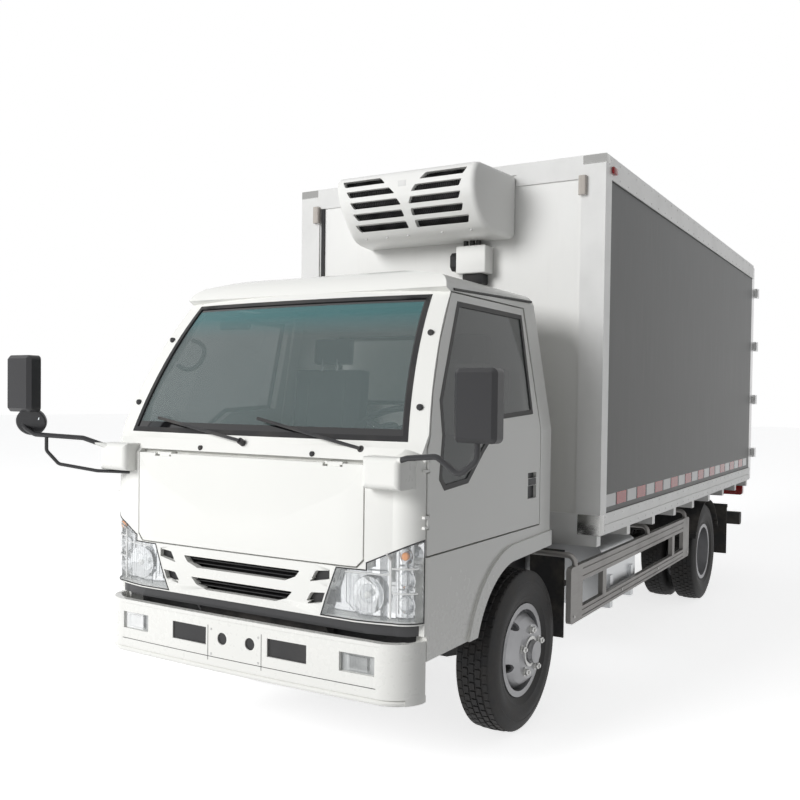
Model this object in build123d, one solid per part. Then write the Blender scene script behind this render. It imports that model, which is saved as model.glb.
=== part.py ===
from build123d import *
import os
from math import cos, pi, radians, sin, sqrt

# Refrigerated box truck with a tilting cab. Millimetres, +Z up, the front faces -Y,
# the driver sits on the +X side. The origin is on the ground, below the middle of the truck.

# Overall
OVERALL_LENGTH = 5995.0
FRONT_OVERHANG = 1085.0
REAR_OVERHANG_SHARE = 0.46131
WHEELBASE = (OVERALL_LENGTH - FRONT_OVERHANG) / (1 + REAR_OVERHANG_SHARE)
MIRROR_REACH = 205.0
REAR_END_Y = (OVERALL_LENGTH + MIRROR_REACH) / 2
FRONT_END_Y = REAR_END_Y - OVERALL_LENGTH
FRONT_AXLE_Y = FRONT_END_Y + FRONT_OVERHANG
REAR_AXLE_Y = FRONT_AXLE_Y + WHEELBASE
SWING_GAP = 7.0
PIN_GAP = 0.3
OVERRUN = 20.0

# Wheels and tyres
TYRE_RADIUS = 387.5
TYRE_WIDTH = 200.0
TYRE_SHOULDER_DROP = 9.0
TYRE_TREAD_WIDTH = 158.0
BEAD_RADIUS = 203.0
BEAD_WIDTH = 142.0
RIM_FLANGE_HEIGHT = 19.0
RIM_FLANGE_WALL = 9.0
BARREL_WALL = 9.0
DISC_WALL = 11.0
DISC_OFFSET = 118.0
DISC_FACE_RADIUS = 128.0
DISC_SHOULDER_RADIUS = 158.0
HAND_HOLE_RADIUS = 23.5
HAND_HOLE_CIRCLE = 171.0
HAND_HOLES = 5
HUB_CAP_RADIUS = 52.0
HUB_CAP_LENGTH = 34.0
HUB_RADIUS = 66.0
FRONT_DRUM_RADIUS = 114.0
REAR_DRUM_RADIUS = 126.0
REAR_HUB_LENGTH = 68.0
DRUM_WALL = 14.0
DRUM_WIDTH = 86.0
DRUM_SETBACK = 6.0
FRONT_WHEEL_X = 752.0
REAR_OUTER_WHEEL_X = 830.0
REAR_INNER_WHEEL_X = REAR_OUTER_WHEEL_X - 2 * DISC_OFFSET
AXLE_HEIGHT = TYRE_RADIUS

# Front axle, knuckles and steering
KINGPIN_X = 600.0
KINGPIN_RADIUS = 16.0
KINGPIN_CAP_RADIUS = 26.0
BEAM_WIDTH = 64.0
BEAM_HEIGHT = 72.0
BEAM_DROP = 52.0
BEAM_SEAT_X = 430.0
EYE_RADIUS = 36.0
EYE_HEIGHT = 84.0
KNUCKLE_GAP = 0.3
KNUCKLE_FORK_HEIGHT = 30.0
STUB_RADIUS = 30.0
STUB_FLANGE_RADIUS = 62.0
STUB_FLANGE_WALL = 12.0
ARM_REACH = 210.0
ARM_WALL = 20.0
ARM_DROP = 14.0
ARM_WIDTH = 36.0
TIE_ROD_RADIUS = 12.0
TIE_EYE_HALF = 14.0
TIE_EYE_RADIUS = 24.0
TIE_PIN_RADIUS = 10.0

# Rear axle
AXLE_TUBE_RADIUS = 62.0
DIFF_RADIUS = 165.0
DIFF_WIDTH = 150.0
DIFF_NOSE_RADIUS = 70.0
DIFF_NOSE_LENGTH = 300.0
SPINDLE_RADIUS = 42.0

# Leaf springs
SPRING_WIDTH = 70.0
LEAF_WALL = 11.0
LEAF_SHARES = (1.0, 0.74, 0.5)
FRONT_SPRING_X = 325.0
FRONT_SPRING_SPAN = 1080.0
FRONT_SPRING_CAMBER = 46.0
REAR_SPRING_X = 400.0
REAR_SPRING_SPAN = 1200.0
REAR_SPRING_CAMBER = 40.0
HANGER_WALL = 50.0
HANGER_WIDTH = 60.0

# Frame
RAIL_OUTER_X = 350.0
RAIL_HEIGHT = 180.0
RAIL_FLANGE = 58.0
RAIL_WALL = 8.0
RAIL_TOP_Z = 705.0
RAIL_FRONT_SETBACK = 150.0
RAIL_REAR_SETBACK = 260.0
CROSS_DEPTH = 70.0
CROSS_HEIGHT = 110.0
CROSS_SHARES = (0.0, 0.32, 0.47, 0.61, 0.75, 0.88, 1.0)
SUBFRAME_HEIGHT = 113.0
SUBFRAME_WIDTH = 56.0

# Engine, gearbox and drive shaft
ENGINE_WIDTH = 500.0
ENGINE_LENGTH = 740.0
ENGINE_BOTTOM_Z = 480.0
ENGINE_TOP_Z = 1080.0
ENGINE_FRONT = -600.0
GEARBOX_WIDTH = 320.0
GEARBOX_LENGTH = 600.0
GEARBOX_BOTTOM_Z = 430.0
GEARBOX_TOP_Z = 690.0
SHAFT_RADIUS = 42.0
SHAFT_START_Z = 505.0

# Box body
BOX_HALF_WIDTH = 1000.0
BOX_FRONT = 580.0
BOX_BOTTOM_Z = 878.0
BOX_FLOOR_TOP_Z = 985.0
DECK_WALL = 15.0
BOX_TOP_Z = 2890.0
WALL = 65.0
ROOF_WALL = 75.0
RAIL_PROUD = 10.0
BOTTOM_RAIL_HEIGHT = 112.0
TOP_RAIL_HEIGHT = 112.0
RAIL_RETURN = 86.0
POST_WIDTH = 138.0
RAIL_GROOVE = 6.0
BEARER_WIDTH = 60.0
BEARER_COUNT = 9
REAR_POST_WIDTH = 62.0
REAR_HEADER_HEIGHT = 96.0
REAR_SILL_HEIGHT = 108.0
REAR_FRAME_DEPTH = 110.0
DOOR_DEPTH = 72.0
DOOR_MEETING_GAP = 12.0
DOOR_PIN_OUT = 30.0
DOOR_PIN_BACK = 18.0
REAR_FRAME_SETBACK = 6.0
HINGE_PIN_RADIUS = 8.0
HINGE_KNUCKLE_RADIUS = 12.0
HINGE_STRAP_LENGTH = 260.0
HINGE_STRAP_HEIGHT = 64.0
HINGE_STRAP_WALL = 9.0
HINGE_SHARES = (0.08, 0.36, 0.64, 0.92)
LOCK_BAR_RADIUS = 11.0
LOCK_BAR_INSETS = (170.0, 640.0)
LOCK_BAR_GAP = 3.0
LOCK_KEEPER_HEIGHT = 46.0
LOCK_HANDLE_LENGTH = 330.0
LOCK_HANDLE_Z = 1500.0
CONDUIT_INSET = 157.0
CONDUIT_X = BOX_HALF_WIDTH - CONDUIT_INSET
CONDUIT_WIDTH = 22.0
CONDUIT_DEPTH = 12.0
MARKER_INSET = 115.0
MARKER_DROP = 150.0
MARKER_X = BOX_HALF_WIDTH - MARKER_INSET
MARKER_Z = BOX_TOP_Z - MARKER_DROP
MARKER_WIDTH = 44.0
MARKER_HEIGHT = 100.0
MARKER_DEPTH = 26.0

# Refrigeration unit on the front wall, and its evaporator inside
UNIT_HALF_WIDTH = 490.0
UNIT_FRONT = 165.0
UNIT_BOTTOM_SHARE = 0.328
UNIT_TOP_SHARE = 0.928
UNIT_ROUND = 60.0
UNIT_WALL = 22.0
UNIT_CHAMFER = 13.0
SLOT_ROWS = 5
SLOT_HEIGHT_SHARE = 0.0627
SLOT_TOP_SHARE = 0.9085
SLOT_BOTTOM_SHARE = 0.277
SLOT_OUTER_X = 435.0
SLOT_INNER_X = 150.0
SLOT_INNER_LOW_X = 46.0
COIL_DEPTH = 40.0
COIL_SETBACK = 12.0
DUCT_X = 231.0
DUCT_WIDTH = 218.0
DUCT_HEIGHT = 102.0
DUCT_DEPTH = 90.0
EVAP_HALF_WIDTH = 560.0
EVAP_LENGTH = 420.0
EVAP_HEIGHT = 210.0
EVAP_NOSE_SHARE = 0.45
EVAP_FOOT_SHARE = 0.7

# Cab shell: places along Y are measured from the front axle
CAB_HALF_WIDTH = 848.0
CAB_WALL = 48.0
CAB_BACK = 270.0
CAB_FACE = -1070.0
CAB_FACE_END = -1052.0
CAB_FACE_MID_Z = 1000.0
CAB_FACE_BOTTOM_Z = 672.0
CAB_FACE_TOP_Z = 1330.0
COWL_Y = -1034.0
COWL_Z = 1352.0
SCREEN_FOOT_Y = -1014.0
SCREEN_FOOT_Z = 1400.0
SCREEN_HEAD_Y = -640.0
SCREEN_HEAD_Z = 2068.0
SCREEN_BULGE = 38.0
SCREEN_BOW = 40.0
SCREEN_BOW_X = 765.0
MIDDLE_SHARE = 0.5
BROW_Y = -590.0
BROW_Z = 2128.0
ROOF_FRONT_Y = -480.0
ROOF_FRONT_Z = 2172.0
ROOF_MID_Y = -150.0
CAB_TOP_Z = 2198.0
CAB_TOP_BACK_Z = 2180.0
BELT_Z = 1450.0
DRIP_Z = 2072.0
DRIP_X = 742.0
SHOULDER_X = 660.0
SHOULDER_Z = 2134.0
SHOULDER_MID_X = 722.0
SHOULDER_MID_Z = 2108.0
FLAT_X = 520.0
FLAT_Y = -1062.0
BEND_X = 740.0
BEND_Y = -1026.0
BEND_MID_X = 650.0
BEND_MID_Y = -1047.0
CORNER_MID_X = 815.0
CORNER_MID_Y = -994.0
CORNER_Y = -940.0
ROOF_SPLIT_Z = 2058.0
GLASS_WALL = 6.0
GLASS_SETBACK = 4.0
SCREEN_BOTTOM_X = 765.0
SCREEN_BOTTOM_Z = 1424.0
SCREEN_TOP_X = 668.0
SCREEN_TOP_Z = 2036.0
REAR_WINDOW_X = 480.0
REAR_WINDOW_BOTTOM_Z = 1560.0
REAR_WINDOW_TOP_Z = 1940.0
SKIRT_SETBACK = 22.0
SKIRT_TOP_Z = 718.0

# Wheel arch and the lower cab side
SIDE_FOOT_Z = 573.0
ARCH_FOOT = -530.0
ARCH_MID = -412.0
ARCH_MID_Z = 745.0
ARCH_TOP = -189.0
ARCH_TOP_Z = 848.0
ARCH_BACK_Z = 862.0
FLARE_BAND = 76.0
FLARE_PROUD = 12.0

# Cab floor, its tilt hinge and its rest
CAB_FLOOR_Z = 915.0
CAB_FLOOR_WALL = 60.0
HUMP_HALF_WIDTH = 330.0
HUMP_FRONT = -640.0
HUMP_TOP_Z = 1180.0
HUMP_WALL = 30.0
TILT_Y = -972.0
TILT_Z = 708.0
TILT_PIN_RADIUS = 17.0
TILT_SLEEVE_RADIUS = 27.0
TILT_SLEEVE_X = 270.0
TILT_SLEEVE_WIDTH = 60.0
TILT_LEG_DEPTH = 36.0
TILT_LUG_WALL = 14.0
TILT_LUG_REACH = 26.0
REST_Y = 190.0
REST_HALF_WIDTH = 420.0
REST_WIDTH = 60.0
REST_BAR_HEIGHT = 60.0
REST_PAD_X = 380.0
REST_PAD_RADIUS = 28.0
REST_PAD_HEIGHT = 40.0

# Cab doors: places along Y are measured from the front axle
DOOR_FRONT = -946.0
FRONT_SPLIT_Y = DOOR_FRONT - SWING_GAP
DOOR_AXIS_SETBACK = 3.0
DOOR_HINGE_LUG = 10.0
DOOR_NOTCH = 5.0
DOOR_BACK = 135.0
DOOR_TOP_BACK = 121.0
DOOR_FOOT_Z = 985.0
DOOR_TOP_Z = 2046.0
DOOR_TOP_FRONT = -600.0
DOOR_PILLAR_FOOT_Z = 1400.0
DOOR_PILLAR_PLACES = ((-912.0, 1500.0), (-865.0, 1620.0), (-755.0, 1827.0))
DOOR_GLASS_WALL = 5.0
DOOR_HINGE_INSET = 3.0
DOOR_HINGE_RADIUS = 6.0
DOOR_HINGE_PIN_RADIUS = 3.0
DOOR_HINGE_HEIGHT = 30.0
DOOR_HINGE_SHARES = (0.25, 0.72)
DOOR_HANDLE_Y = 42.0
DOOR_HANDLE_WIDTH = 100.0
DOOR_HANDLE_Z = 1182.0
DOOR_HANDLE_HEIGHT = 125.0
DOOR_HANDLE_DEPTH = 18.0
WINDOW_PLACES = (
    (-863.0, 1274.0),
    (-820.0, 1228.0),
    (-619.0, 1243.0),
    (-476.0, 1367.0),
    (-283.0, 1507.0),
    (70.0, 1527.0),
    (96.0, 2012.0),
    (-560.0, 2012.0),
    (-825.0, 1589.0),
)

# Cab front: lid, grille, headlamps
LID_HALF_WIDTH = 620.0
LID_BOTTOM_Z = 936.0
LID_TOP_Z = 1334.0
LID_CORNER = 30.0
LID_WALL = 22.0
LID_GAP = 6.0
LID_TOP_GAP = 16.0
LID_AXIS_SETBACK = 14.0
LID_HINGE_X = 470.0
LID_HINGE_WIDTH = 60.0
LID_HINGE_LUG = 12.0
LID_LUG_REACH = 42.0
LID_HINGE_RADIUS = 6.0
LID_PIN_RADIUS = 3.0
GRILLE_HALF_WIDTH = 492.0
GRILLE_BOTTOM_HALF_WIDTH = 410.0
GRILLE_BOTTOM_Z = 720.0
GRILLE_TOP_Z = 930.0
GRILLE_WALL = 30.0
GRILLE_SLOT_PLACES = (
    # z of the middle, height, half width above, half width below
    (872.0, 42.0, 318.0, 256.0),
    (779.0, 46.0, 280.0, 210.0),
)
GRILLE_WINDOW_PLACES = (
    # inner x, outer x, z at the inner end, z at the outer top, z at the outer foot
    (376.0, 470.0, 862.0, 912.0, 874.0),
    (362.0, 462.0, 770.0, 820.0, 782.0),
)
GRILLE_WINDOW_FOOT = 6.0
LAMP_INNER_X = 500.0
LAMP_BOTTOM_Z = 724.0
LAMP_INNER_TOP_Z = 928.0
LAMP_STEP_X = 634.0
LAMP_STEP_TOP_Z = 956.0
LAMP_OUTER_X = 860.0
LAMP_OUTER_TOP_Z = 1058.0
LAMP_WALL = 44.0

# Bumper: a thin rolled shell
BUMPER_BOTTOM_Z = 412.0
BUMPER_TOP_Z = 655.0
BUMPER_WALL = 16.0
BUMPER_CORNER_X = 847.0
BUMPER_CORNER_Y = -945.0
BUMPER_BEND_X = 690.0
BUMPER_BEND_Y = -1072.0
BUMPER_LIP_Z = 440.0
BUMPER_LIP_SETBACK = 12.0
BUMPER_SLOT_Z = 562.0
BUMPER_SLOT_HEIGHT = 76.0
BUMPER_SLOT_INNER_X = 170.0
BUMPER_SLOT_OUTER_X = 372.0
BUMPER_FLANGE_WALL = 8.0
BUMPER_FLANGE_DEPTH = 30.0
TOW_HOLE_X = 77.0
TOW_HOLE_RADIUS = 26.0
FOG_X = 612.0
FOG_HALF_WIDTH = 82.0
FOG_LAMP_WIDTH = 96.0
FOG_LAMP_HEIGHT = 54.0
FOG_LAMP_DEPTH = 42.0
BUMPER_BRACKET_Z = 470.0
BRACKET_START_SHARE = 0.75
BUMPER_BRACKET_TOP_Z = 610.0

# Wipers and mirrors
WIPER_PIVOTS_X = (-30.0, 580.0)
WIPER_REACH = 540.0
WIPER_RADIUS = 7.0
WIPER_PIVOT_SHARE = -0.01
WIPER_TIP_SHARE = 0.12
WIPER_PIVOT_HEIGHT = 26.0
MIRROR_BASE_X = 733.0
MIRROR_BASE_WIDTH = 172.0
MIRROR_BASE_Z = 1310.0
MIRROR_BASE_HEIGHT = 124.0
MIRROR_BASE_Y = -1112.0
MIRROR_TUBE_RADIUS = 11.0
MIRROR_SPAN = 1245.0
MIRROR_WIDTH = 168.0
MIRROR_HEIGHT = 262.0
MIRROR_DEPTH = 64.0
MIRROR_BEND = 45.0
MIRROR_LEFT_Y = -1110.0
MIRROR_LEFT_Z = 1440.0
MIRROR_LEFT_PLACES = (
    # x, y from the front axle, z
    (850.0, -1105.0, 1372.0),
    (985.0, -1120.0, 1385.0),
    (1085.0, -1132.0, 1322.0),
    (1161.0, -1142.0, 1380.0),
    (1161.0, -1142.0, 1460.0),
)
MIRROR_RIGHT_Y = -1226.0
MIRROR_RIGHT_Z = 1508.0
MIRROR_RIGHT_PLACES = (
    (-880.0, -1150.0, 1392.0),
    (-1100.0, -1240.0, 1404.0),
    (-1161.0, -1258.0, 1440.0),
    (-1161.0, -1258.0, 1530.0),
)
MIRROR_STAY_RADIUS = 8.0
MIRROR_STAY_BEND = 26.0
MIRROR_STAY_PLACES = (
    # from the far side's arm down and back to the cab's corner
    (-1047.0, -1218.0, 1400.0),
    (-1047.0, -1218.0, 1330.0),
    (-1008.0, -1182.0, 1268.0),
    (-836.0, -1108.0, 1240.0),
    (-706.0, -1030.0, 1236.0),
)
SPOT_MIRROR_X = -1131.0
SPOT_MIRROR_Y = -1236.0
SPOT_MIRROR_Z = 1462.0
SPOT_MIRROR_RADIUS = 66.0
SPOT_MIRROR_WALL = 22.0
SPOT_MIRROR_TURN = 40.0
SPOT_MIRROR_LEAN = 20.0

# Cab inside
SEAT_X = 430.0
SEAT_WIDTH = 480.0
SEAT_LENGTH = 460.0
SEAT_FRONT = -420.0
SEAT_WALL = 110.0
SEAT_BACK_WALL = 110.0
SEAT_BACK_TOP_Z = 1760.0
SEAT_BACK_LEAN = 60.0
SEAT_RISER_HEIGHT = 215.0
HEADREST_WIDTH = 250.0
HEADREST_HEIGHT = 150.0
HEADREST_WALL = 80.0
HEADREST_GAP = 30.0
DASH_HALF_WIDTH = 760.0
DASH_FRONT = -1034.0
DASH_BACK = -700.0
DASH_CORNER_PLACES = (
    # x, y from the front axle
    (540.0, -1034.0),
    (700.0, -1000.0),
    (760.0, -950.0),
    (760.0, -700.0),
)
DASH_TOP_Z = 1400.0
DASH_BOTTOM_Z = 1150.0
DASH_LIP = 40.0
DASH_HOOD_WIDTH = 360.0
DASH_HOOD_LENGTH = 150.0
DASH_HOOD_HEIGHT = 50.0
DASH_HOOD_ROUND = 36.0
STEER_X = 400.0
STEER_Y = -560.0
STEER_Z = 1440.0
STEER_RADIUS = 205.0
STEER_GRIP_RADIUS = 15.0
STEER_TILT = 35.0
STEER_HUB_RADIUS = 60.0
STEER_COLUMN_RADIUS = 32.0
STEER_COLUMN_LENGTH = 190.0
STEER_SPOKES = 3
STEER_SPOKE_START = 30.0

# Side guards: places along Y are measured from the front axle
GUARD_X = 935.0
GUARD_WALL = 28.0
GUARD_FRONT = 360.0
GUARD_REAR_GAP = 570.0
GUARD_BACK = WHEELBASE - GUARD_REAR_GAP
GUARD_POST_LENGTH = 170.0
GUARD_BOTTOM_Z = 440.0
GUARD_LOW_TOP_Z = 508.0
GUARD_HIGH_Z = 643.0
GUARD_TOP_Z = 735.0
GUARD_UPRIGHT_SHARES = (0.214, 0.819)
GUARD_UPRIGHT_WIDTH = 60.0
GUARD_GROOVE = 5.0
GUARD_GROOVE_HEIGHT = 8.0
GUARD_HANGER_RADIUS = 15.0
GUARD_HANGER_Z = 785.0
GUARD_HANGER_BEND = 40.0
GUARD_ROUND = 26.0
GUARD_GROOVE_SHARES = (0.28, 0.72)
GUARD_HANGER_SHARES = (0.035, 0.572, 0.965)

# The clear stretch between the front flaps and the rear tyres, measured from the front axle
FRONT_FLAP_Y = 500.0
FLAP_ARM_WIDTH = 30.0
CLEAR_FRONT = FRONT_FLAP_Y + 2 * FLAP_ARM_WIDTH
CLEAR_LENGTH = WHEELBASE - TYRE_RADIUS - CLEAR_FRONT

# Fuel tank and battery box: places along Y are measured from the front axle
TANK_LENGTH = 620.0
TANK_SHARE = 0.2455
TANK_FRONT = CLEAR_FRONT + TANK_SHARE * (CLEAR_LENGTH - TANK_LENGTH)
TANK_INNER_X = 400.0
TANK_OUTER_X = 880.0
TANK_BOTTOM_Z = 395.0
TANK_TOP_Z = 745.0
TANK_ROUND = 60.0
TANK_CAP_RADIUS = 40.0
TANK_CAP_LENGTH = 22.0
BATTERY_LENGTH = 480.0
BATTERY_SHARE = 0.308
BATTERY_INNER_X = 400.0
BATTERY_OUTER_X = 740.0
BATTERY_BOTTOM_Z = 440.0
BATTERY_TOP_Z = 720.0
BATTERY_LID_HEIGHT = 60.0
BATTERY_LID_PROUD = 8.0
CRADLE_WIDTH = 50.0
CRADLE_WALL = 18.0
CRADLE_TOP_Z = 690.0
CRADLE_SHARES = (0.18, 0.82)

# Exhaust: places along Y are measured from the front axle
MUFFLER_RADIUS = 110.0
MUFFLER_LENGTH = 500.0
TAIL_RUN = 330.0
TAIL_TURN_SHARE = 0.515
PIPE_ROOM_SHARE = 0.4263
PIPE_TURN_SHARE = 0.15
PIPE_CROSS_SHARE = 0.68
SLACK_LENGTH = CLEAR_LENGTH - BATTERY_LENGTH - MUFFLER_LENGTH - TAIL_RUN
BATTERY_FRONT = CLEAR_FRONT + BATTERY_SHARE * SLACK_LENGTH
BATTERY_BACK = BATTERY_FRONT + BATTERY_LENGTH
PIPE_ROOM = PIPE_ROOM_SHARE * SLACK_LENGTH
PIPE_TURN = BATTERY_BACK + PIPE_TURN_SHARE * PIPE_ROOM
PIPE_CROSS = BATTERY_BACK + PIPE_CROSS_SHARE * PIPE_ROOM
MUFFLER_Y = BATTERY_BACK + PIPE_ROOM
TAIL_PIPE_TURN = MUFFLER_Y + MUFFLER_LENGTH + TAIL_TURN_SHARE * TAIL_RUN
TAIL_PIPE_END = MUFFLER_Y + MUFFLER_LENGTH + TAIL_RUN
MUFFLER_X = -600.0
MUFFLER_Z = 480.0
MUFFLER_ROUND = 30.0
MUFFLER_STRAP_SHARES = (0.25, 0.75)
PIPE_RADIUS = 30.0
PIPE_BEND = 70.0
PIPE_X = -210.0
PIPE_WALL = 3.0
GEARBOX_START = 150.0
PIPE_LOW_Z = 470.0
TAIL_PIPE_END_X = -870.0
MUFFLER_STRAP_WIDTH = 40.0
MUFFLER_STRAP_Z = 575.0
MUFFLER_STRAP_WALL = 26.0

# Mudguards: places along Y are measured from the front axle
FLAP_WALL = 8.0
FRONT_FLAP_BOTTOM_Z = 330.0
FRONT_FLAP_INNER_X = 640.0
FRONT_FLAP_OUTER_X = 840.0
FRONT_FLAP_TOP_Z = 800.0
FRONT_FLAP_ARM_Z = 620.0
REAR_FLAP_SETBACK = 740.0
REAR_FLAP_Y = WHEELBASE + REAR_FLAP_SETBACK
REAR_FLAP_BOTTOM_Z = 262.0
REAR_FLAP_ARM_Z = 700.0
REAR_GUARD_RADIUS = 415.0
REAR_GUARD_INNER_X = 510.0
REAR_GUARD_OUTER_X = 945.0
REAR_GUARD_WALL = 7.0
REAR_GUARD_ANGLE = 68.0
REAR_GUARD_STAY = 26.0
REAR_GUARD_STAY_ANGLE = 62.0

# Underrun bar, tail lamps and spare wheel: places along Y are measured from the front axle
UNDERRUN_SETBACK = 250.0
UNDERRUN_FRONT = OVERALL_LENGTH - FRONT_OVERHANG - UNDERRUN_SETBACK
UNDERRUN_DEPTH = 80.0
UNDERRUN_BOTTOM_Z = 454.0
UNDERRUN_HEIGHT = 115.0
UNDERRUN_HALF_WIDTH = 950.0
UNDERRUN_LEG_LENGTH = 200.0
UNDERRUN_LEG_WALL = 16.0
PLATE_BOLT_SPACING = 360.0
PLATE_BOLT_RADIUS = 5.0
TAIL_LAMP_INSET = 210.0
TAIL_LAMP_X = BOX_HALF_WIDTH - TAIL_LAMP_INSET
TAIL_LAMP_WIDTH = 300.0
TAIL_LAMP_HEIGHT = 110.0
TAIL_LAMP_Z = 775.0
TAIL_LAMP_DEPTH = 60.0
TAIL_BRACKET_WALL = 8.0
SPARE_SHARE = 0.6357
SPARE_Y = WHEELBASE + SPARE_SHARE * (OVERALL_LENGTH - FRONT_OVERHANG - WHEELBASE - RAIL_REAR_SETBACK)
SPARE_Z = 350.0
SPARE_BAR_WIDTH = 80.0
SPARE_BAR_HEIGHT = 22.0
SPARE_PLATE_RADIUS = 92.0
SPARE_SCREW_RADIUS = 18.0

# Faces worked out from the sizes above
BOX_FRONT_Y = FRONT_AXLE_Y + BOX_FRONT
BOX_BACK_Y = REAR_END_Y - DOOR_PIN_BACK - HINGE_KNUCKLE_RADIUS
FRAME_BACK_Y = BOX_BACK_Y - REAR_FRAME_SETBACK
WALL_BACK_Y = FRAME_BACK_Y - REAR_FRAME_DEPTH
DOOR_OPENING_X = BOX_HALF_WIDTH - REAR_POST_WIDTH
WALL_FOOT_Z = BOX_FLOOR_TOP_Z - DECK_WALL
UNIT_BOTTOM_Z = CAB_TOP_Z + UNIT_BOTTOM_SHARE * (BOX_TOP_Z - CAB_TOP_Z)
UNIT_TOP_Z = CAB_TOP_Z + UNIT_TOP_SHARE * (BOX_TOP_Z - CAB_TOP_Z)
UNIT_HEIGHT = UNIT_TOP_Z - UNIT_BOTTOM_Z
SLOT_HEIGHT = SLOT_HEIGHT_SHARE * UNIT_HEIGHT
SLOT_TOP_Z = UNIT_BOTTOM_Z + SLOT_TOP_SHARE * UNIT_HEIGHT
SLOT_BOTTOM_Z = UNIT_BOTTOM_Z + SLOT_BOTTOM_SHARE * UNIT_HEIGHT
DOOR_OPENING_BOTTOM_Z = BOX_BOTTOM_Z + REAR_SILL_HEIGHT
DOOR_OPENING_TOP_Z = BOX_TOP_Z - REAR_HEADER_HEIGHT
FRONT_SPRING_SEAT_Z = AXLE_HEIGHT - BEAM_DROP + BEAM_HEIGHT / 2 + LEAF_WALL
REAR_SPRING_SEAT_Z = AXLE_HEIGHT + AXLE_TUBE_RADIUS + LEAF_WALL


def block(x, y, z):
    """A box from three (low, high) pairs."""
    size = [pair[1] - pair[0] for pair in (x, y, z)]
    middle = [(pair[0] + pair[1]) / 2 for pair in (x, y, z)]
    return Pos(*middle) * Box(*size)


def side_prism(outline, x_low, x_high):
    """A (y, z) outline carried from x_low to x_high."""
    face = make_face(Polyline(*[(x_low, y, z) for y, z in outline], close=True))
    return extrude(face, amount=x_high - x_low, dir=(1, 0, 0))


def front_prism(outline, y_low, y_high):
    """An (x, z) outline carried from y_low to y_high."""
    face = make_face(Polyline(*[(x, y_low, z) for x, z in outline], close=True))
    return extrude(face, amount=y_high - y_low, dir=(0, 1, 0))


def rod(start, end, radius):
    """A round bar between two points."""
    reach = Vector(*end) - Vector(*start)
    bar = Cylinder(radius, reach.length, align=(Align.CENTER, Align.CENTER, Align.MIN))
    return Plane(origin=start, z_dir=reach) * bar


def bent_rod(points, bend, radius):
    """A round bar along straight runs joined by arcs."""
    path = FilletPolyline(*points, radius=bend)
    return sweep(Plane(origin=path @ 0, z_dir=path % 0) * Circle(radius), path=path)


def mirrored(shape):
    """The same shape on the other side of the truck."""
    return shape.mirror(Plane.YZ)


def group(*shapes):
    """Several solids kept side by side in one piece."""
    return Compound([solid for shape in shapes for solid in shape.solids()])


def both_sides(shape):
    """A shape and its mirror image."""
    return group(shape, mirrored(shape))


def along(place):
    """A place measured from the front axle, along Y."""
    return FRONT_AXLE_Y + place


def places(outline):
    """(y, z) points with y measured from the front axle, moved to the truck's own frame."""
    return [(along(y), z) for y, z in outline]


# Wheels


def tyre():
    """One tyre about the X axis, its sides bulging beyond the bead and the tread."""
    half = TYRE_WIDTH / 2
    bead = BEAD_WIDTH / 2
    tread = TYRE_TREAD_WIDTH / 2
    shoulder = TYRE_RADIUS - TYRE_SHOULDER_DROP
    middle = (BEAD_RADIUS + shoulder) / 2
    outer = Line((bead, 0, BEAD_RADIUS), (-bead, 0, BEAD_RADIUS))
    left = ThreePointArc((-bead, 0, BEAD_RADIUS), (-half, 0, middle), (-tread, 0, shoulder))
    crown = ThreePointArc((-tread, 0, shoulder), (0, 0, TYRE_RADIUS), (tread, 0, shoulder))
    right = ThreePointArc((tread, 0, shoulder), (half, 0, middle), (bead, 0, BEAD_RADIUS))
    shape = revolve(make_face([outer, left, crown, right]), Axis.X, 360)
    tip = BEAD_RADIUS + RIM_FLANGE_HEIGHT
    for side in (-1, 1):
        shape -= rod((side * bead, 0, 0), (side * (half + OVERRUN), 0, 0), tip)
    return shape


def rim():
    """One rim about the X axis, its disc dished out towards +X."""
    bead = BEAD_WIDTH / 2
    edge = bead + RIM_FLANGE_WALL
    tip = BEAD_RADIUS + RIM_FLANGE_HEIGHT
    inner = BEAD_RADIUS - BARREL_WALL
    face = DISC_OFFSET
    cone = DISC_OFFSET - (DISC_SHOULDER_RADIUS - DISC_FACE_RADIUS)
    foot = bead / 2
    section = [
        (edge, tip),
        (edge, inner),
        (foot, inner),
        (cone, DISC_SHOULDER_RADIUS),
        (face, DISC_FACE_RADIUS),
        (face, HUB_RADIUS),
        (face - DISC_WALL, HUB_RADIUS),
        (face - DISC_WALL, DISC_FACE_RADIUS - DISC_WALL / 2),
        (cone - DISC_WALL, DISC_SHOULDER_RADIUS - DISC_WALL / 2),
        (foot - DISC_WALL, inner),
        (-edge, inner),
        (-edge, tip),
        (-bead, tip),
        (-bead, BEAD_RADIUS),
        (bead, BEAD_RADIUS),
        (bead, tip),
    ]
    face_outline = make_face(Polyline(*[(x, 0, r) for x, r in section], close=True))
    wheel = revolve(face_outline, Axis.X, 360)
    hole = rod((0, 0, HAND_HOLE_CIRCLE), (DISC_OFFSET, 0, HAND_HOLE_CIRCLE), HAND_HOLE_RADIUS)
    for index in range(HAND_HOLES):
        wheel -= Rot(360 * (index + MIDDLE_SHARE) / HAND_HOLES, 0, 0) * hole
    return wheel


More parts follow.
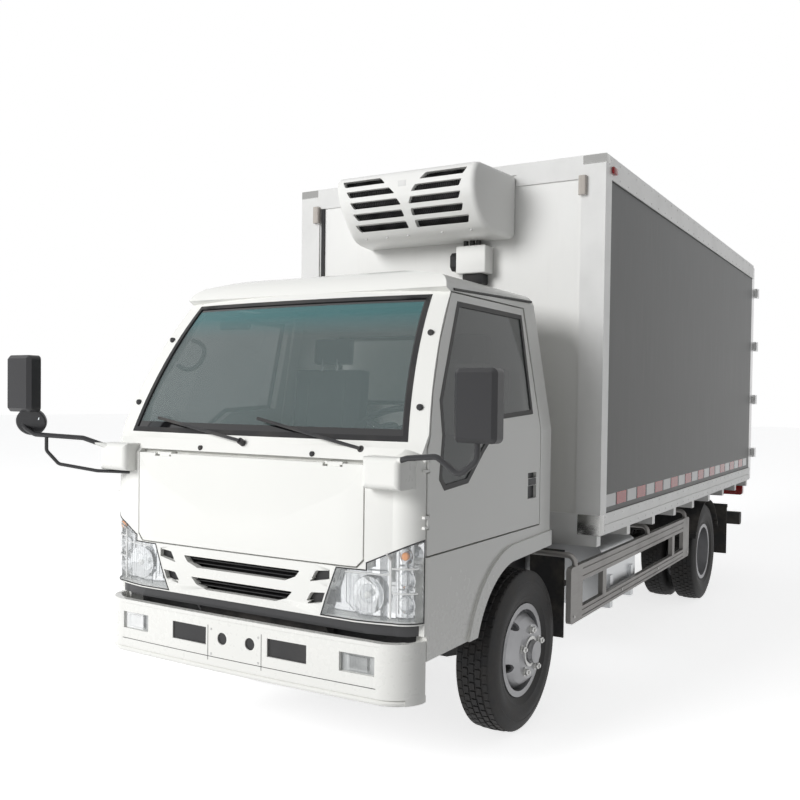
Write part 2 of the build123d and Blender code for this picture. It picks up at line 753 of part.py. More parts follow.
def front_hub():
    """Hub, cap and brake drum of a front wheel, bored for its stub axle."""
    face = DISC_OFFSET
    hub = rod((face - DRUM_SETBACK - DRUM_WIDTH, 0, 0), (face, 0, 0), HUB_RADIUS)
    cap = rod((face, 0, 0), (face + HUB_CAP_LENGTH, 0, 0), HUB_CAP_RADIUS)
    drum_face = face - DISC_WALL
    drum = rod((drum_face - DRUM_WIDTH, 0, 0), (drum_face, 0, 0), FRONT_DRUM_RADIUS)
    hollow = rod((drum_face - DRUM_WIDTH, 0, 0), (drum_face - DRUM_WALL, 0, 0),
                 FRONT_DRUM_RADIUS - DRUM_WALL)
    bore = rod((face - DRUM_SETBACK - DRUM_WIDTH, 0, 0), (face, 0, 0), STUB_RADIUS + PIN_GAP)
    return (drum - hollow + hub + cap) - bore


def place_wheel(shape, x, axle_y, outward=1):
    """A wheel piece at its axle; outward is -1 where its dish faces the other way."""
    turned = shape if outward > 0 else mirrored(shape)
    return Pos(x, axle_y, AXLE_HEIGHT) * turned


def front_wheel(side):
    """Tyre and rim with its hub on one side; side is +1 on the driver's side."""
    x = side * FRONT_WHEEL_X
    hub_and_rim = rim() + front_hub()
    return place_wheel(tyre(), x, FRONT_AXLE_Y), place_wheel(hub_and_rim, x, FRONT_AXLE_Y, side)


def rear_hub(side):
    """Hub and drum between the twin rims, bored for the axle spindle."""
    face = REAR_OUTER_WHEEL_X - DISC_OFFSET
    back = face - DRUM_WIDTH - DISC_WALL
    drum = rod((back, 0, 0), (face - DISC_WALL, 0, 0), REAR_DRUM_RADIUS)
    hollow = rod((back, 0, 0), (face - DISC_WALL - DRUM_WALL, 0, 0), REAR_DRUM_RADIUS - DRUM_WALL)
    hub = rod((back, 0, 0), (face + REAR_HUB_LENGTH, 0, 0), HUB_RADIUS)
    bore = rod((back, 0, 0), (face + HUB_CAP_LENGTH, 0, 0), SPINDLE_RADIUS + PIN_GAP)
    shape = Pos(0, REAR_AXLE_Y, AXLE_HEIGHT) * ((drum - hollow + hub) - bore)
    return shape if side > 0 else mirrored(shape)


def rear_wheel(side):
    """Twin tyres, and twin rims bolted back to back on their hub."""
    outer = side * REAR_OUTER_WHEEL_X
    inner = side * REAR_INNER_WHEEL_X
    tyres = group(place_wheel(tyre(), outer, REAR_AXLE_Y), place_wheel(tyre(), inner, REAR_AXLE_Y))
    rims = place_wheel(rim(), outer, REAR_AXLE_Y, -side) + place_wheel(rim(), inner, REAR_AXLE_Y, side)
    return tyres, rims + rear_hub(side)


# Front axle, knuckles and steering


def front_axle():
    """A dropped beam with an eye for the kingpin at each end, and its spring seats."""
    low = AXLE_HEIGHT - BEAM_DROP - BEAM_HEIGHT / 2
    high = AXLE_HEIGHT - BEAM_DROP + BEAM_HEIGHT / 2
    lift = BEAM_DROP
    outline = [
        (-KINGPIN_X, low + lift),
        (-BEAM_SEAT_X, low),
        (BEAM_SEAT_X, low),
        (KINGPIN_X, low + lift),
        (KINGPIN_X, high + lift),
        (BEAM_SEAT_X, high),
        (-BEAM_SEAT_X, high),
        (-KINGPIN_X, high + lift),
    ]
    beam = front_prism(outline, FRONT_AXLE_Y - BEAM_WIDTH / 2, FRONT_AXLE_Y + BEAM_WIDTH / 2)
    for side in (-1, 1):
        x = side * KINGPIN_X
        bottom = AXLE_HEIGHT - EYE_HEIGHT / 2
        beam -= rod((x, FRONT_AXLE_Y, 0), (x, FRONT_AXLE_Y, RAIL_TOP_Z), EYE_RADIUS - KNUCKLE_GAP)
        eye = rod((x, FRONT_AXLE_Y, bottom), (x, FRONT_AXLE_Y, bottom + EYE_HEIGHT), EYE_RADIUS)
        beam += eye
        beam -= rod((x, FRONT_AXLE_Y, 0), (x, FRONT_AXLE_Y, RAIL_TOP_Z), KINGPIN_RADIUS + PIN_GAP)
        seat_x = side * FRONT_SPRING_X
        half = SPRING_WIDTH / 2
        seat_top = FRONT_SPRING_SEAT_Z
        pad = (seat_x - half, seat_x + half)
        beam += block(pad, (FRONT_AXLE_Y - BEAM_WIDTH, FRONT_AXLE_Y + BEAM_WIDTH), (high, seat_top))
    return beam


def knuckle(side):
    """Fork round the beam's eye with its kingpin, stub axle and steering arm."""
    eye_top = AXLE_HEIGHT + EYE_HEIGHT / 2 + KNUCKLE_GAP
    eye_bottom = AXLE_HEIGHT - EYE_HEIGHT / 2 - KNUCKLE_GAP
    cheek = KNUCKLE_FORK_HEIGHT
    pin = rod((KINGPIN_X, 0, eye_bottom - cheek), (KINGPIN_X, 0, eye_top + cheek), KINGPIN_RADIUS)
    stem = KINGPIN_X + EYE_RADIUS + SWING_GAP
    flange_x = FRONT_WHEEL_X + DISC_OFFSET - DRUM_SETBACK - DRUM_WIDTH - SWING_GAP - STUB_FLANGE_WALL
    ears = []
    for low, high in ((eye_top, eye_top + cheek), (eye_bottom - cheek, eye_bottom)):
        ear = rod((KINGPIN_X, 0, low), (KINGPIN_X, 0, high), KINGPIN_CAP_RADIUS)
        ear += block((KINGPIN_X, flange_x), (-KINGPIN_CAP_RADIUS, KINGPIN_CAP_RADIUS), (low, high))
        ears.append(ear)
    web = block((stem, flange_x), (-KINGPIN_CAP_RADIUS, KINGPIN_CAP_RADIUS),
                (eye_bottom - cheek, eye_top + cheek))
    flange = rod((flange_x, 0, AXLE_HEIGHT), (flange_x + STUB_FLANGE_WALL, 0, AXLE_HEIGHT),
                 STUB_FLANGE_RADIUS)
    stub_end = FRONT_WHEEL_X + DISC_OFFSET
    stub = rod((flange_x, 0, AXLE_HEIGHT), (stub_end - PIN_GAP, 0, AXLE_HEIGHT), STUB_RADIUS)
    arm_top = eye_bottom - ARM_DROP
    arm_bottom = arm_top - ARM_WALL
    tip = (KINGPIN_X, ARM_REACH)
    half = ARM_WIDTH / 2
    arm_outline = [
        (KINGPIN_X - half, 0),
        (tip[0] - half, tip[1]),
        (tip[0] + half, tip[1]),
        (KINGPIN_X + half, 0),
    ]
    arm = extrude(make_face(Polyline(*[(x, y, arm_bottom) for x, y in arm_outline], close=True)),
                  amount=ARM_WALL, dir=(0, 0, 1))
    arm += rod((tip[0], tip[1], arm_bottom), (tip[0], tip[1], arm_top), half)
    tie_pin = rod((tip[0], tip[1], arm_bottom - 2 * TIE_EYE_HALF - 2 * PIN_GAP),
                  (tip[0], tip[1], arm_top), TIE_PIN_RADIUS)
    shape = pin + ears[0] + ears[1] + web + flange + stub + arm + tie_pin
    shape = Pos(0, FRONT_AXLE_Y, 0) * shape
    return shape if side > 0 else mirrored(shape)


def tie_rod():
    """Cross rod between the two steering arms, with an eye on each arm's pin."""
    x = KINGPIN_X
    y = FRONT_AXLE_Y + ARM_REACH
    top = AXLE_HEIGHT - EYE_HEIGHT / 2 - KNUCKLE_GAP - ARM_DROP - ARM_WALL - PIN_GAP
    z = top - TIE_EYE_HALF
    bar = rod((-x, y, z), (x, y, z), TIE_ROD_RADIUS)
    for side in (-1, 1):
        bar += rod((side * x, y, top - 2 * TIE_EYE_HALF), (side * x, y, top), TIE_EYE_RADIUS)
    for side in (-1, 1):
        bar -= rod((side * x, y, z - OVERRUN * 2), (side * x, y, z + OVERRUN * 2),
                   TIE_PIN_RADIUS + PIN_GAP)
    return bar


# Rear axle and springs


def rear_axle():
    """Axle tubes with the round differential housing and its nose, and the wheel spindles."""
    spindle_end = REAR_OUTER_WHEEL_X - DISC_OFFSET + HUB_CAP_LENGTH - PIN_GAP
    drum_back = REAR_OUTER_WHEEL_X - DISC_OFFSET - DRUM_WIDTH - DISC_WALL
    tube_end = drum_back - SWING_GAP
    tubes = rod((-tube_end, 0, 0), (tube_end, 0, 0), AXLE_TUBE_RADIUS)
    spindles = rod((-spindle_end, 0, 0), (spindle_end, 0, 0), SPINDLE_RADIUS)
    housing = rod((-DIFF_WIDTH / 2, 0, 0), (DIFF_WIDTH / 2, 0, 0), DIFF_RADIUS)
    nose = rod((0, 0, 0), (0, -DIFF_NOSE_LENGTH, 0), DIFF_NOSE_RADIUS)
    shape = tubes + spindles + housing + nose
    seat_half = SPRING_WIDTH / 2
    for side in (-1, 1):
        x = side * REAR_SPRING_X
        shape += block((x - seat_half, x + seat_half), (-AXLE_TUBE_RADIUS, AXLE_TUBE_RADIUS),
                       (0, AXLE_TUBE_RADIUS + LEAF_WALL))
    return Pos(0, REAR_AXLE_Y, AXLE_HEIGHT) * shape


def leaf_pack(x, axle_y, seat_z, span, camber):
    """A pack of curved leaves that sits on the axle and rises to its two ends."""
    rise = camber
    bend = (span * span / 4 + rise * rise) / (2 * rise)
    pack = None
    for index, share in enumerate(reversed(LEAF_SHARES)):
        half = span * share / 2
        low = seat_z + index * LEAF_WALL
        centre_z = low + bend
        angle = half / bend
        points_low = [(axle_y - bend * sin(angle), centre_z - bend * cos(angle)), (axle_y, low),
                      (axle_y + bend * sin(angle), centre_z - bend * cos(angle))]
        inner = bend - LEAF_WALL
        points_high = [(axle_y - inner * sin(angle), centre_z - inner * cos(angle)),
                       (axle_y, low + LEAF_WALL),
                       (axle_y + inner * sin(angle), centre_z - inner * cos(angle))]
        left = x - SPRING_WIDTH / 2
        low_arc = ThreePointArc(*[(left, y, z) for y, z in points_low])
        high_arc = ThreePointArc(*[(left, y, z) for y, z in points_high])
        ends = [Line(low_arc @ 0, high_arc @ 0), Line(low_arc @ 1, high_arc @ 1)]
        leaf = extrude(make_face([low_arc, high_arc] + ends), amount=SPRING_WIDTH, dir=(1, 0, 0))
        pack = leaf if pack is None else pack + leaf
    return pack


def spring_end(axle_y, seat_z, span, camber):
    """The two ends of the top leaf, as ((y, z), (y, z)), at its upper face."""
    bend = (span * span / 4 + camber * camber) / (2 * camber)
    low = seat_z + (len(LEAF_SHARES) - 1) * LEAF_WALL
    angle = span / 2 / bend
    inner = bend - LEAF_WALL
    z = low + bend - inner * cos(angle)
    reach = inner * sin(angle)
    return (axle_y - reach, z), (axle_y + reach, z)


def leaf_springs():
    """The four leaf packs."""
    front = leaf_pack(FRONT_SPRING_X, FRONT_AXLE_Y, FRONT_SPRING_SEAT_Z, FRONT_SPRING_SPAN,
                      FRONT_SPRING_CAMBER)
    rear = leaf_pack(REAR_SPRING_X, REAR_AXLE_Y, REAR_SPRING_SEAT_Z, REAR_SPRING_SPAN,
                     REAR_SPRING_CAMBER)
    return group(front, mirrored(front), rear, mirrored(rear))


# Frame


def frame():
    """Two C rails, their cross-members, spring hangers, cab lugs and the cab rest."""
    front = FRONT_END_Y + RAIL_FRONT_SETBACK
    back = REAR_END_Y - RAIL_REAR_SETBACK
    bottom = RAIL_TOP_Z - RAIL_HEIGHT
    rail = block((RAIL_OUTER_X - RAIL_FLANGE, RAIL_OUTER_X), (front, back), (bottom, RAIL_TOP_Z))
    rail -= block((RAIL_OUTER_X - RAIL_FLANGE, RAIL_OUTER_X - RAIL_WALL), (front, back),
                  (bottom + RAIL_WALL, RAIL_TOP_Z - RAIL_WALL))
    shape = rail + mirrored(rail)
    web = RAIL_OUTER_X - RAIL_WALL / 2
    for share in CROSS_SHARES:
        start = front + share * (back - front - CROSS_DEPTH)
        low = (bottom + RAIL_TOP_Z - CROSS_HEIGHT) / 2
        member = block((-web, web), (start, start + CROSS_DEPTH), (low, low + CROSS_HEIGHT))
        member -= block((-web, web), (start + RAIL_WALL, start + CROSS_DEPTH),
                        (low + RAIL_WALL, low + CROSS_HEIGHT - RAIL_WALL))
        shape += member
    springs = (
        (FRONT_SPRING_X, FRONT_AXLE_Y, FRONT_SPRING_SEAT_Z, FRONT_SPRING_SPAN, FRONT_SPRING_CAMBER),
        (REAR_SPRING_X, REAR_AXLE_Y, REAR_SPRING_SEAT_Z, REAR_SPRING_SPAN, REAR_SPRING_CAMBER),
    )
    for x, axle_y, seat_z, span, camber in springs:
        for y, z in spring_end(axle_y, seat_z, span, camber):
            inward = 1 if y < axle_y else -1
            inner = RAIL_OUTER_X - RAIL_FLANGE
            outer = max(RAIL_OUTER_X, x + SPRING_WIDTH / 2)
            ys = sorted((y - inward * HANGER_WALL / 2, y + inward * HANGER_WIDTH / 2))
            hanger = block((inner, outer), ys, (z, max(bottom, z) + RAIL_WALL * 3))
            shape += hanger + mirrored(hanger)
    for side in (-1, 1):
        lug_outline = [
            (along(TILT_Y), TILT_Z + TILT_LUG_REACH),
            (front + CROSS_DEPTH, RAIL_TOP_Z),
            (front + CROSS_DEPTH, bottom),
            (along(TILT_Y), TILT_Z - TILT_LUG_REACH),
        ]
        x = side * (RAIL_OUTER_X + TILT_LUG_WALL / 2)
        lug = side_prism(lug_outline, x - TILT_LUG_WALL / 2, x + TILT_LUG_WALL / 2)
        lug += rod((x - TILT_LUG_WALL / 2, along(TILT_Y), TILT_Z),
                   (x + TILT_LUG_WALL / 2, along(TILT_Y), TILT_Z), TILT_LUG_REACH)
        shape += lug
    reach = RAIL_OUTER_X + TILT_LUG_WALL
    shape += rod((-reach, along(TILT_Y), TILT_Z), (reach, along(TILT_Y), TILT_Z), TILT_PIN_RADIUS)
    pad_bottom = CAB_FLOOR_Z - PIN_GAP - REST_PAD_HEIGHT
    hoop = block((-REST_HALF_WIDTH, REST_HALF_WIDTH), (along(REST_Y), along(REST_Y) + REST_WIDTH),
                 (RAIL_TOP_Z, pad_bottom))
    hoop -= block((REST_BAR_HEIGHT - RAIL_OUTER_X, RAIL_OUTER_X - REST_BAR_HEIGHT),
                  (along(REST_Y), along(REST_Y) + REST_WIDTH),
                  (RAIL_TOP_Z, pad_bottom - REST_BAR_HEIGHT))
    shape += hoop
    for side in (-1, 1):
        x = side * REST_PAD_X
        y = along(REST_Y) + REST_WIDTH / 2
        shape += rod((x, y, pad_bottom), (x, y, CAB_FLOOR_Z - PIN_GAP), REST_PAD_RADIUS - PIN_GAP)
    sub_front = along(BOX_FRONT)
    sub_back = WALL_BACK_Y
    sub = block((RAIL_OUTER_X - SUBFRAME_WIDTH, RAIL_OUTER_X), (sub_front, sub_back),
                (RAIL_TOP_Z, RAIL_TOP_Z + SUBFRAME_HEIGHT))
    return shape + sub + mirrored(sub)


def engine():
    """The engine as one plain block."""
    front = along(ENGINE_FRONT)
    half = ENGINE_WIDTH / 2
    return block((-half, half), (front, front + ENGINE_LENGTH), (ENGINE_BOTTOM_Z, ENGINE_TOP_Z))


def driveline():
    """Gearbox behind the engine, and the drive shaft down to the axle's nose."""
    front = along(ENGINE_FRONT) + ENGINE_LENGTH
    half = GEARBOX_WIDTH / 2
    back = front + GEARBOX_LENGTH
    gearbox = block((-half, half), (front, back), (GEARBOX_BOTTOM_Z, GEARBOX_TOP_Z))
    gearbox = chamfer(gearbox.edges().filter_by(Axis.Y), GEARBOX_WIDTH / 5)
    nose = REAR_AXLE_Y - DIFF_NOSE_LENGTH
    shaft = rod((0, back - OVERRUN, SHAFT_START_Z), (0, nose, AXLE_HEIGHT), SHAFT_RADIUS)
    return gearbox + shaft


# Box body


def box_floor():
    """Insulated floor on its cross bearers, its deck raised between the walls."""
    shape = block((-BOX_HALF_WIDTH, BOX_HALF_WIDTH), (BOX_FRONT_Y, WALL_BACK_Y),
                  (BOX_BOTTOM_Z, WALL_FOOT_Z))
    inner = BOX_HALF_WIDTH - WALL
    shape += block((-inner, inner), (BOX_FRONT_Y + WALL, WALL_BACK_Y), (WALL_FOOT_Z, BOX_FLOOR_TOP_Z))
    foot = RAIL_TOP_Z + SUBFRAME_HEIGHT
    reach = BOX_HALF_WIDTH - RAIL_PROUD
    pitch = (WALL_BACK_Y - BOX_FRONT_Y - BEARER_WIDTH) / (BEARER_COUNT - 1)
    for index in range(BEARER_COUNT):
        front = BOX_FRONT_Y + index * pitch
        shape += block((-reach, reach), (front, front + BEARER_WIDTH), (foot, BOX_BOTTOM_Z))
    return shape


def box_walls():
    """The two long side walls."""
    z = (WALL_FOOT_Z, BOX_TOP_Z - ROOF_WALL)
    return both_sides(block((BOX_HALF_WIDTH - WALL, BOX_HALF_WIDTH), (BOX_FRONT_Y, WALL_BACK_Y), z))


def box_front_wall():
    """The wall behind the cab, between the side walls."""
    inner = BOX_HALF_WIDTH - WALL
    return block((-inner, inner), (BOX_FRONT_Y, BOX_FRONT_Y + WALL),
                 (WALL_FOOT_Z, BOX_TOP_Z - ROOF_WALL))


def box_roof():
    """The roof panel."""
    return block((-BOX_HALF_WIDTH, BOX_HALF_WIDTH), (BOX_FRONT_Y, WALL_BACK_Y),
                 (BOX_TOP_Z - ROOF_WALL, BOX_TOP_Z))


def hinge_heights():
    """Heights of the rear door hinges."""
    height = DOOR_OPENING_TOP_Z - DOOR_OPENING_BOTTOM_Z
    return [DOOR_OPENING_BOTTOM_Z + share * height for share in HINGE_SHARES]


def box_rear_frame():
    """The frame round the rear doors, with the lugs and pins that carry them."""
    y = (WALL_BACK_Y, FRAME_BACK_Y)
    shape = block((-BOX_HALF_WIDTH, BOX_HALF_WIDTH), y, (BOX_BOTTOM_Z, BOX_TOP_Z))
    shape -= block((-DOOR_OPENING_X, DOOR_OPENING_X), y, (DOOR_OPENING_BOTTOM_Z, DOOR_OPENING_TOP_Z))
    pin_x = BOX_HALF_WIDTH + DOOR_PIN_OUT
    pin_y = BOX_BACK_Y + DOOR_PIN_BACK
    lug_height = HINGE_KNUCKLE_RADIUS
    for side in (-1, 1):
        for z in hinge_heights():
            half = HINGE_STRAP_HEIGHT / 2 + PIN_GAP
            for low, high in ((z - half - lug_height, z - half), (z + half, z + half + lug_height)):
                ends = sorted((side * (BOX_HALF_WIDTH - RAIL_PROUD), side * pin_x))
                lug = block(ends, (FRAME_BACK_Y - OVERRUN, FRAME_BACK_Y), (low, high))
                arm = [
                    (side * BOX_HALF_WIDTH, FRAME_BACK_Y - OVERRUN),
                    (side * pin_x, FRAME_BACK_Y - OVERRUN),
                    (side * (pin_x + HINGE_KNUCKLE_RADIUS), pin_y),
                    (side * (pin_x - HINGE_KNUCKLE_RADIUS), pin_y),
                ]
                face = make_face(Polyline(*[(x, y, low) for x, y in arm], close=True))
                lug += extrude(face, amount=high - low, dir=(0, 0, 1))
                lug += rod((side * pin_x, pin_y, low), (side * pin_x, pin_y, high),
                           HINGE_KNUCKLE_RADIUS)
                shape += lug
            pin = rod((side * pin_x, pin_y, z - half), (side * pin_x, pin_y, z + half),
                      HINGE_PIN_RADIUS)
            shape += pin
    return shape


def rear_door():
    """The driver's side rear door, with straps, locking bars and handle."""
    outer_x = DOOR_OPENING_X - SWING_GAP
    inner_x = DOOR_MEETING_GAP / 2
    bottom = DOOR_OPENING_BOTTOM_Z + SWING_GAP
    top = DOOR_OPENING_TOP_Z - SWING_GAP
    door = block((inner_x, outer_x), (BOX_BACK_Y - DOOR_DEPTH, BOX_BACK_Y), (bottom, top))
    pin_x = BOX_HALF_WIDTH + DOOR_PIN_OUT
    pin_y = BOX_BACK_Y + DOOR_PIN_BACK
    for z in hinge_heights():
        low = z - HINGE_STRAP_HEIGHT / 2
        high = z + HINGE_STRAP_HEIGHT / 2
        strap = block((outer_x - HINGE_STRAP_LENGTH, pin_x),
                      (BOX_BACK_Y, BOX_BACK_Y + HINGE_STRAP_WALL), (low, high))
        strap += rod((pin_x, pin_y, low), (pin_x, pin_y, high), HINGE_KNUCKLE_RADIUS)
        strap -= rod((pin_x, pin_y, low), (pin_x, pin_y, high), HINGE_PIN_RADIUS + PIN_GAP)
        door += strap
    bar_y = BOX_BACK_Y + LOCK_BAR_RADIUS + LOCK_BAR_GAP
    for inset in LOCK_BAR_INSETS:
        x = outer_x - inset
        reach = LOCK_KEEPER_HEIGHT
        door += rod((x, bar_y, bottom - reach), (x, bar_y, top + reach), LOCK_BAR_RADIUS)
        for share in HINGE_SHARES:
            z = bottom + share * (top - bottom) + LOCK_KEEPER_HEIGHT * 2
            guide = (bar_y - LOCK_BAR_RADIUS, BOX_BACK_Y + LOCK_BAR_RADIUS * 2)
            half = LOCK_KEEPER_HEIGHT / 2
            door += block((x - half, x + half), (BOX_BACK_Y, guide[1]), (z - half / 2, z + half / 2))
    handle_x = outer_x - LOCK_BAR_INSETS[1]
    half = LOCK_BAR_RADIUS
    door += block((handle_x, handle_x + LOCK_HANDLE_LENGTH), (bar_y - half / 2, bar_y + half / 2),
                  (LOCK_HANDLE_Z - half * 2, LOCK_HANDLE_Z + half))
    return door


def box_rails():
    """Edge rails on the walls: bottom and top rails with their grooves, and the front corner posts."""
    outer = BOX_HALF_WIDTH + RAIL_PROUD
    top = BOX_TOP_Z + RAIL_PROUD
    front = BOX_FRONT_Y - RAIL_PROUD
    low_top = BOX_BOTTOM_Z + BOTTOM_RAIL_HEIGHT
    high_bottom = BOX_TOP_Z - TOP_RAIL_HEIGHT
    outer_ring = block((-outer, outer), (front, WALL_BACK_Y), (BOX_BOTTOM_Z, low_top))
    inner_cut = block((-BOX_HALF_WIDTH, BOX_HALF_WIDTH), (BOX_FRONT_Y, WALL_BACK_Y),
                      (BOX_BOTTOM_Z, low_top))
    bottom_ring = outer_ring - inner_cut
    middle = (BOX_BOTTOM_Z + low_top) / 2
    groove = block((outer - RAIL_GROOVE, outer), (front, WALL_BACK_Y),
                   (middle - RAIL_GROOVE, middle + RAIL_GROOVE))
    bottom_ring -= groove
    bottom_ring -= mirrored(groove)
    cap = block((-outer, outer), (front, WALL_BACK_Y), (high_bottom, top))
    inside = block((-BOX_HALF_WIDTH, BOX_HALF_WIDTH), (BOX_FRONT_Y, WALL_BACK_Y),
                   (high_bottom, BOX_TOP_Z))
    reach = BOX_HALF_WIDTH - RAIL_RETURN
    open_roof = block((-reach, reach), (BOX_FRONT_Y + RAIL_RETURN, WALL_BACK_Y), (BOX_TOP_Z, top))
    top_ring = cap - inside - open_roof
    unit = block((-UNIT_HALF_WIDTH, UNIT_HALF_WIDTH), (front, BOX_FRONT_Y), (high_bottom, UNIT_TOP_Z))
    top_ring -= unit
    posts = None
    for side in (-1, 1):
        ends = sorted((side * (outer - POST_WIDTH), side * outer))
        post = block(ends, (front, BOX_FRONT_Y + RAIL_RETURN), (low_top, high_bottom))
        core = sorted((side * (outer - POST_WIDTH - OVERRUN), side * BOX_HALF_WIDTH))
        post -= block(core, (BOX_FRONT_Y, BOX_FRONT_Y + RAIL_RETURN * 2), (low_top, high_bottom))
        posts = post if posts is None else posts + post
    return bottom_ring + top_ring + posts


def marker_lamps():
    """Corner marker lamps high on the front posts."""
    front = BOX_FRONT_Y - RAIL_PROUD
    half = MARKER_WIDTH / 2
    z = (MARKER_Z - MARKER_HEIGHT / 2, MARKER_Z + MARKER_HEIGHT / 2)
    lamp = block((MARKER_X - half, MARKER_X + half), (front - MARKER_DEPTH, front), z)
    lamp = fillet(lamp.edges().filter_by(Axis.Z).group_by(Axis.Y)[0], MARKER_WIDTH / 4)
    return both_sides(lamp)


# Refrigeration unit


def slot_row(index):
    """Heights and inner ends of one row of slots, the plate between them narrowing downwards."""
    share = index / (SLOT_ROWS - 1)
    z = SLOT_TOP_Z - SLOT_HEIGHT + share * (SLOT_BOTTOM_Z + SLOT_HEIGHT - SLOT_TOP_Z)
    inner = SLOT_INNER_X + share * (SLOT_INNER_LOW_X - SLOT_INNER_X)
    return z, inner


def unit_housing():
    """The hollow housing with rounded corners and two columns of slots."""
    front = along(UNIT_FRONT)
    shape = block((-UNIT_HALF_WIDTH, UNIT_HALF_WIDTH), (front, BOX_FRONT_Y),
                  (UNIT_BOTTOM_Z, UNIT_TOP_Z))
    shape = fillet(shape.edges().filter_by(Axis.Z).group_by(Axis.Y)[0], UNIT_ROUND)
    shape = chamfer(shape.edges().filter_by(Axis.X).group_by(Axis.Y)[0], UNIT_CHAMFER)
    inner = UNIT_HALF_WIDTH - UNIT_WALL
    shape -= block((-inner, inner), (front + UNIT_WALL, BOX_FRONT_Y),
                   (UNIT_BOTTOM_Z + UNIT_WALL, UNIT_TOP_Z - UNIT_WALL))
    for index in range(SLOT_ROWS):
        z, start = slot_row(index)
        for side in (-1, 1):
            ends = sorted((side * start, side * SLOT_OUTER_X))
            shape -= block(ends, (front - OVERRUN, front + UNIT_WALL),
                           (z - SLOT_HEIGHT / 2, z + SLOT_HEIGHT / 2))
    return shape


def unit_coil():
    """The finned coil close behind the slots, held by the housing's sides."""
    front = along(UNIT_FRONT) + UNIT_WALL + COIL_SETBACK
    inner = UNIT_HALF_WIDTH - UNIT_WALL
    return block((-inner, inner), (front, front + COIL_DEPTH),
                 (UNIT_BOTTOM_Z + UNIT_WALL, UNIT_TOP_Z - UNIT_WALL))


def unit_duct():
    """The channel cover that leads down from the housing, and a thin conduit at the wall's edge."""
    half = DUCT_WIDTH / 2
    duct = block((DUCT_X - half, DUCT_X + half), (BOX_FRONT_Y - DUCT_DEPTH, BOX_FRONT_Y),
                 (UNIT_BOTTOM_Z - DUCT_HEIGHT, UNIT_BOTTOM_Z))
    duct = chamfer(duct.edges().filter_by(Axis.X).group_by(Axis.Y)[0], UNIT_WALL)
    low = BOX_BOTTOM_Z + BOTTOM_RAIL_HEIGHT
    high = BOX_TOP_Z - TOP_RAIL_HEIGHT
    strip = block((-CONDUIT_X - CONDUIT_WIDTH / 2, -CONDUIT_X + CONDUIT_WIDTH / 2),
                  (BOX_FRONT_Y - CONDUIT_DEPTH, BOX_FRONT_Y),
                  (low, high))
    return group(duct, strip)


def evaporator():
    """The cooler under the roof inside, its lower front edge cut back for the fans."""
    back = BOX_FRONT_Y + WALL
    top = BOX_TOP_Z - ROOF_WALL
    outline = [
        (back, top),
        (back + EVAP_LENGTH, top),
        (back + EVAP_LENGTH, top - EVAP_HEIGHT * EVAP_NOSE_SHARE),
        (back + EVAP_LENGTH * EVAP_FOOT_SHARE, top - EVAP_HEIGHT),
        (back, top - EVAP_HEIGHT),
    ]
    return side_prism(outline, -EVAP_HALF_WIDTH, EVAP_HALF_WIDTH)


# Cab shell


def cab_side_face():
    """The cab's outline seen from the side, its screen and roof as arcs."""
    mid_y, mid_z = screen_chord_point(MIDDLE_SHARE, SCREEN_BULGE)
    points = places([
        (CAB_BACK, CAB_TOP_BACK_Z),
        (CAB_BACK, SIDE_FOOT_Z),
        (CAB_FACE_END, SIDE_FOOT_Z),
        (CAB_FACE_END, CAB_FACE_BOTTOM_Z),
        (CAB_FACE, CAB_FACE_MID_Z),
        (CAB_FACE_END, CAB_FACE_TOP_Z),
        (COWL_Y, COWL_Z),
        (SCREEN_FOOT_Y, SCREEN_FOOT_Z),
        (mid_y, mid_z),
        (SCREEN_HEAD_Y, SCREEN_HEAD_Z),
        (BROW_Y, BROW_Z),
        (ROOF_FRONT_Y, ROOF_FRONT_Z),
        (ROOF_MID_Y, CAB_TOP_Z),
    ])
    p = [(0, y, z) for y, z in points]
    edges = [
        Line(p[0], p[1]),
        Line(p[1], p[2]),
        Line(p[2], p[3]),
        ThreePointArc(p[3], p[4], p[5]),
        Line(p[5], p[6]),
        Line(p[6], p[7]),
        ThreePointArc(p[7], p[8], p[9]),
        ThreePointArc(p[9], p[10], p[11]),
        ThreePointArc(p[11], p[12], p[0]),
    ]
    return make_face(edges)


def screen_chord_point(share, out):
    """A (y, z) place on the screen's chord from foot to head, moved outwards."""
    dy = SCREEN_HEAD_Y - SCREEN_FOOT_Y
    dz = SCREEN_HEAD_Z - SCREEN_FOOT_Z
    length = sqrt(dy * dy + dz * dz)
    y = SCREEN_FOOT_Y + share * dy - out * dz / length
    z = SCREEN_FOOT_Z + share * dz + out * dy / length
    return y, z


def cab_front_face():
    """The cab's outline seen from the front, leaning in above the belt."""
    crown_left = (-SHOULDER_X, 0, SHOULDER_Z)
    crown_right = (SHOULDER_X, 0, SHOULDER_Z)
    drip_left = (-DRIP_X, 0, DRIP_Z)
    drip_right = (DRIP_X, 0, DRIP_Z)
    belt_left = (-CAB_HALF_WIDTH, 0, BELT_Z)
    belt_right = (CAB_HALF_WIDTH, 0, BELT_Z)
    foot_left = (-CAB_HALF_WIDTH, 0, SIDE_FOOT_Z)
    foot_right = (CAB_HALF_WIDTH, 0, SIDE_FOOT_Z)
    edges = [
        Line(foot_left, foot_right),
        Line(foot_right, belt_right),
        Line(belt_right, drip_right),
        ThreePointArc(drip_right, (SHOULDER_MID_X, 0, SHOULDER_MID_Z), crown_right),
        ThreePointArc(crown_right, (0, 0, CAB_TOP_Z), crown_left),
        ThreePointArc(crown_left, (-SHOULDER_MID_X, 0, SHOULDER_MID_Z), drip_left),
        Line(drip_left, belt_left),
        Line(belt_left, foot_left),
    ]
    return make_face(edges)


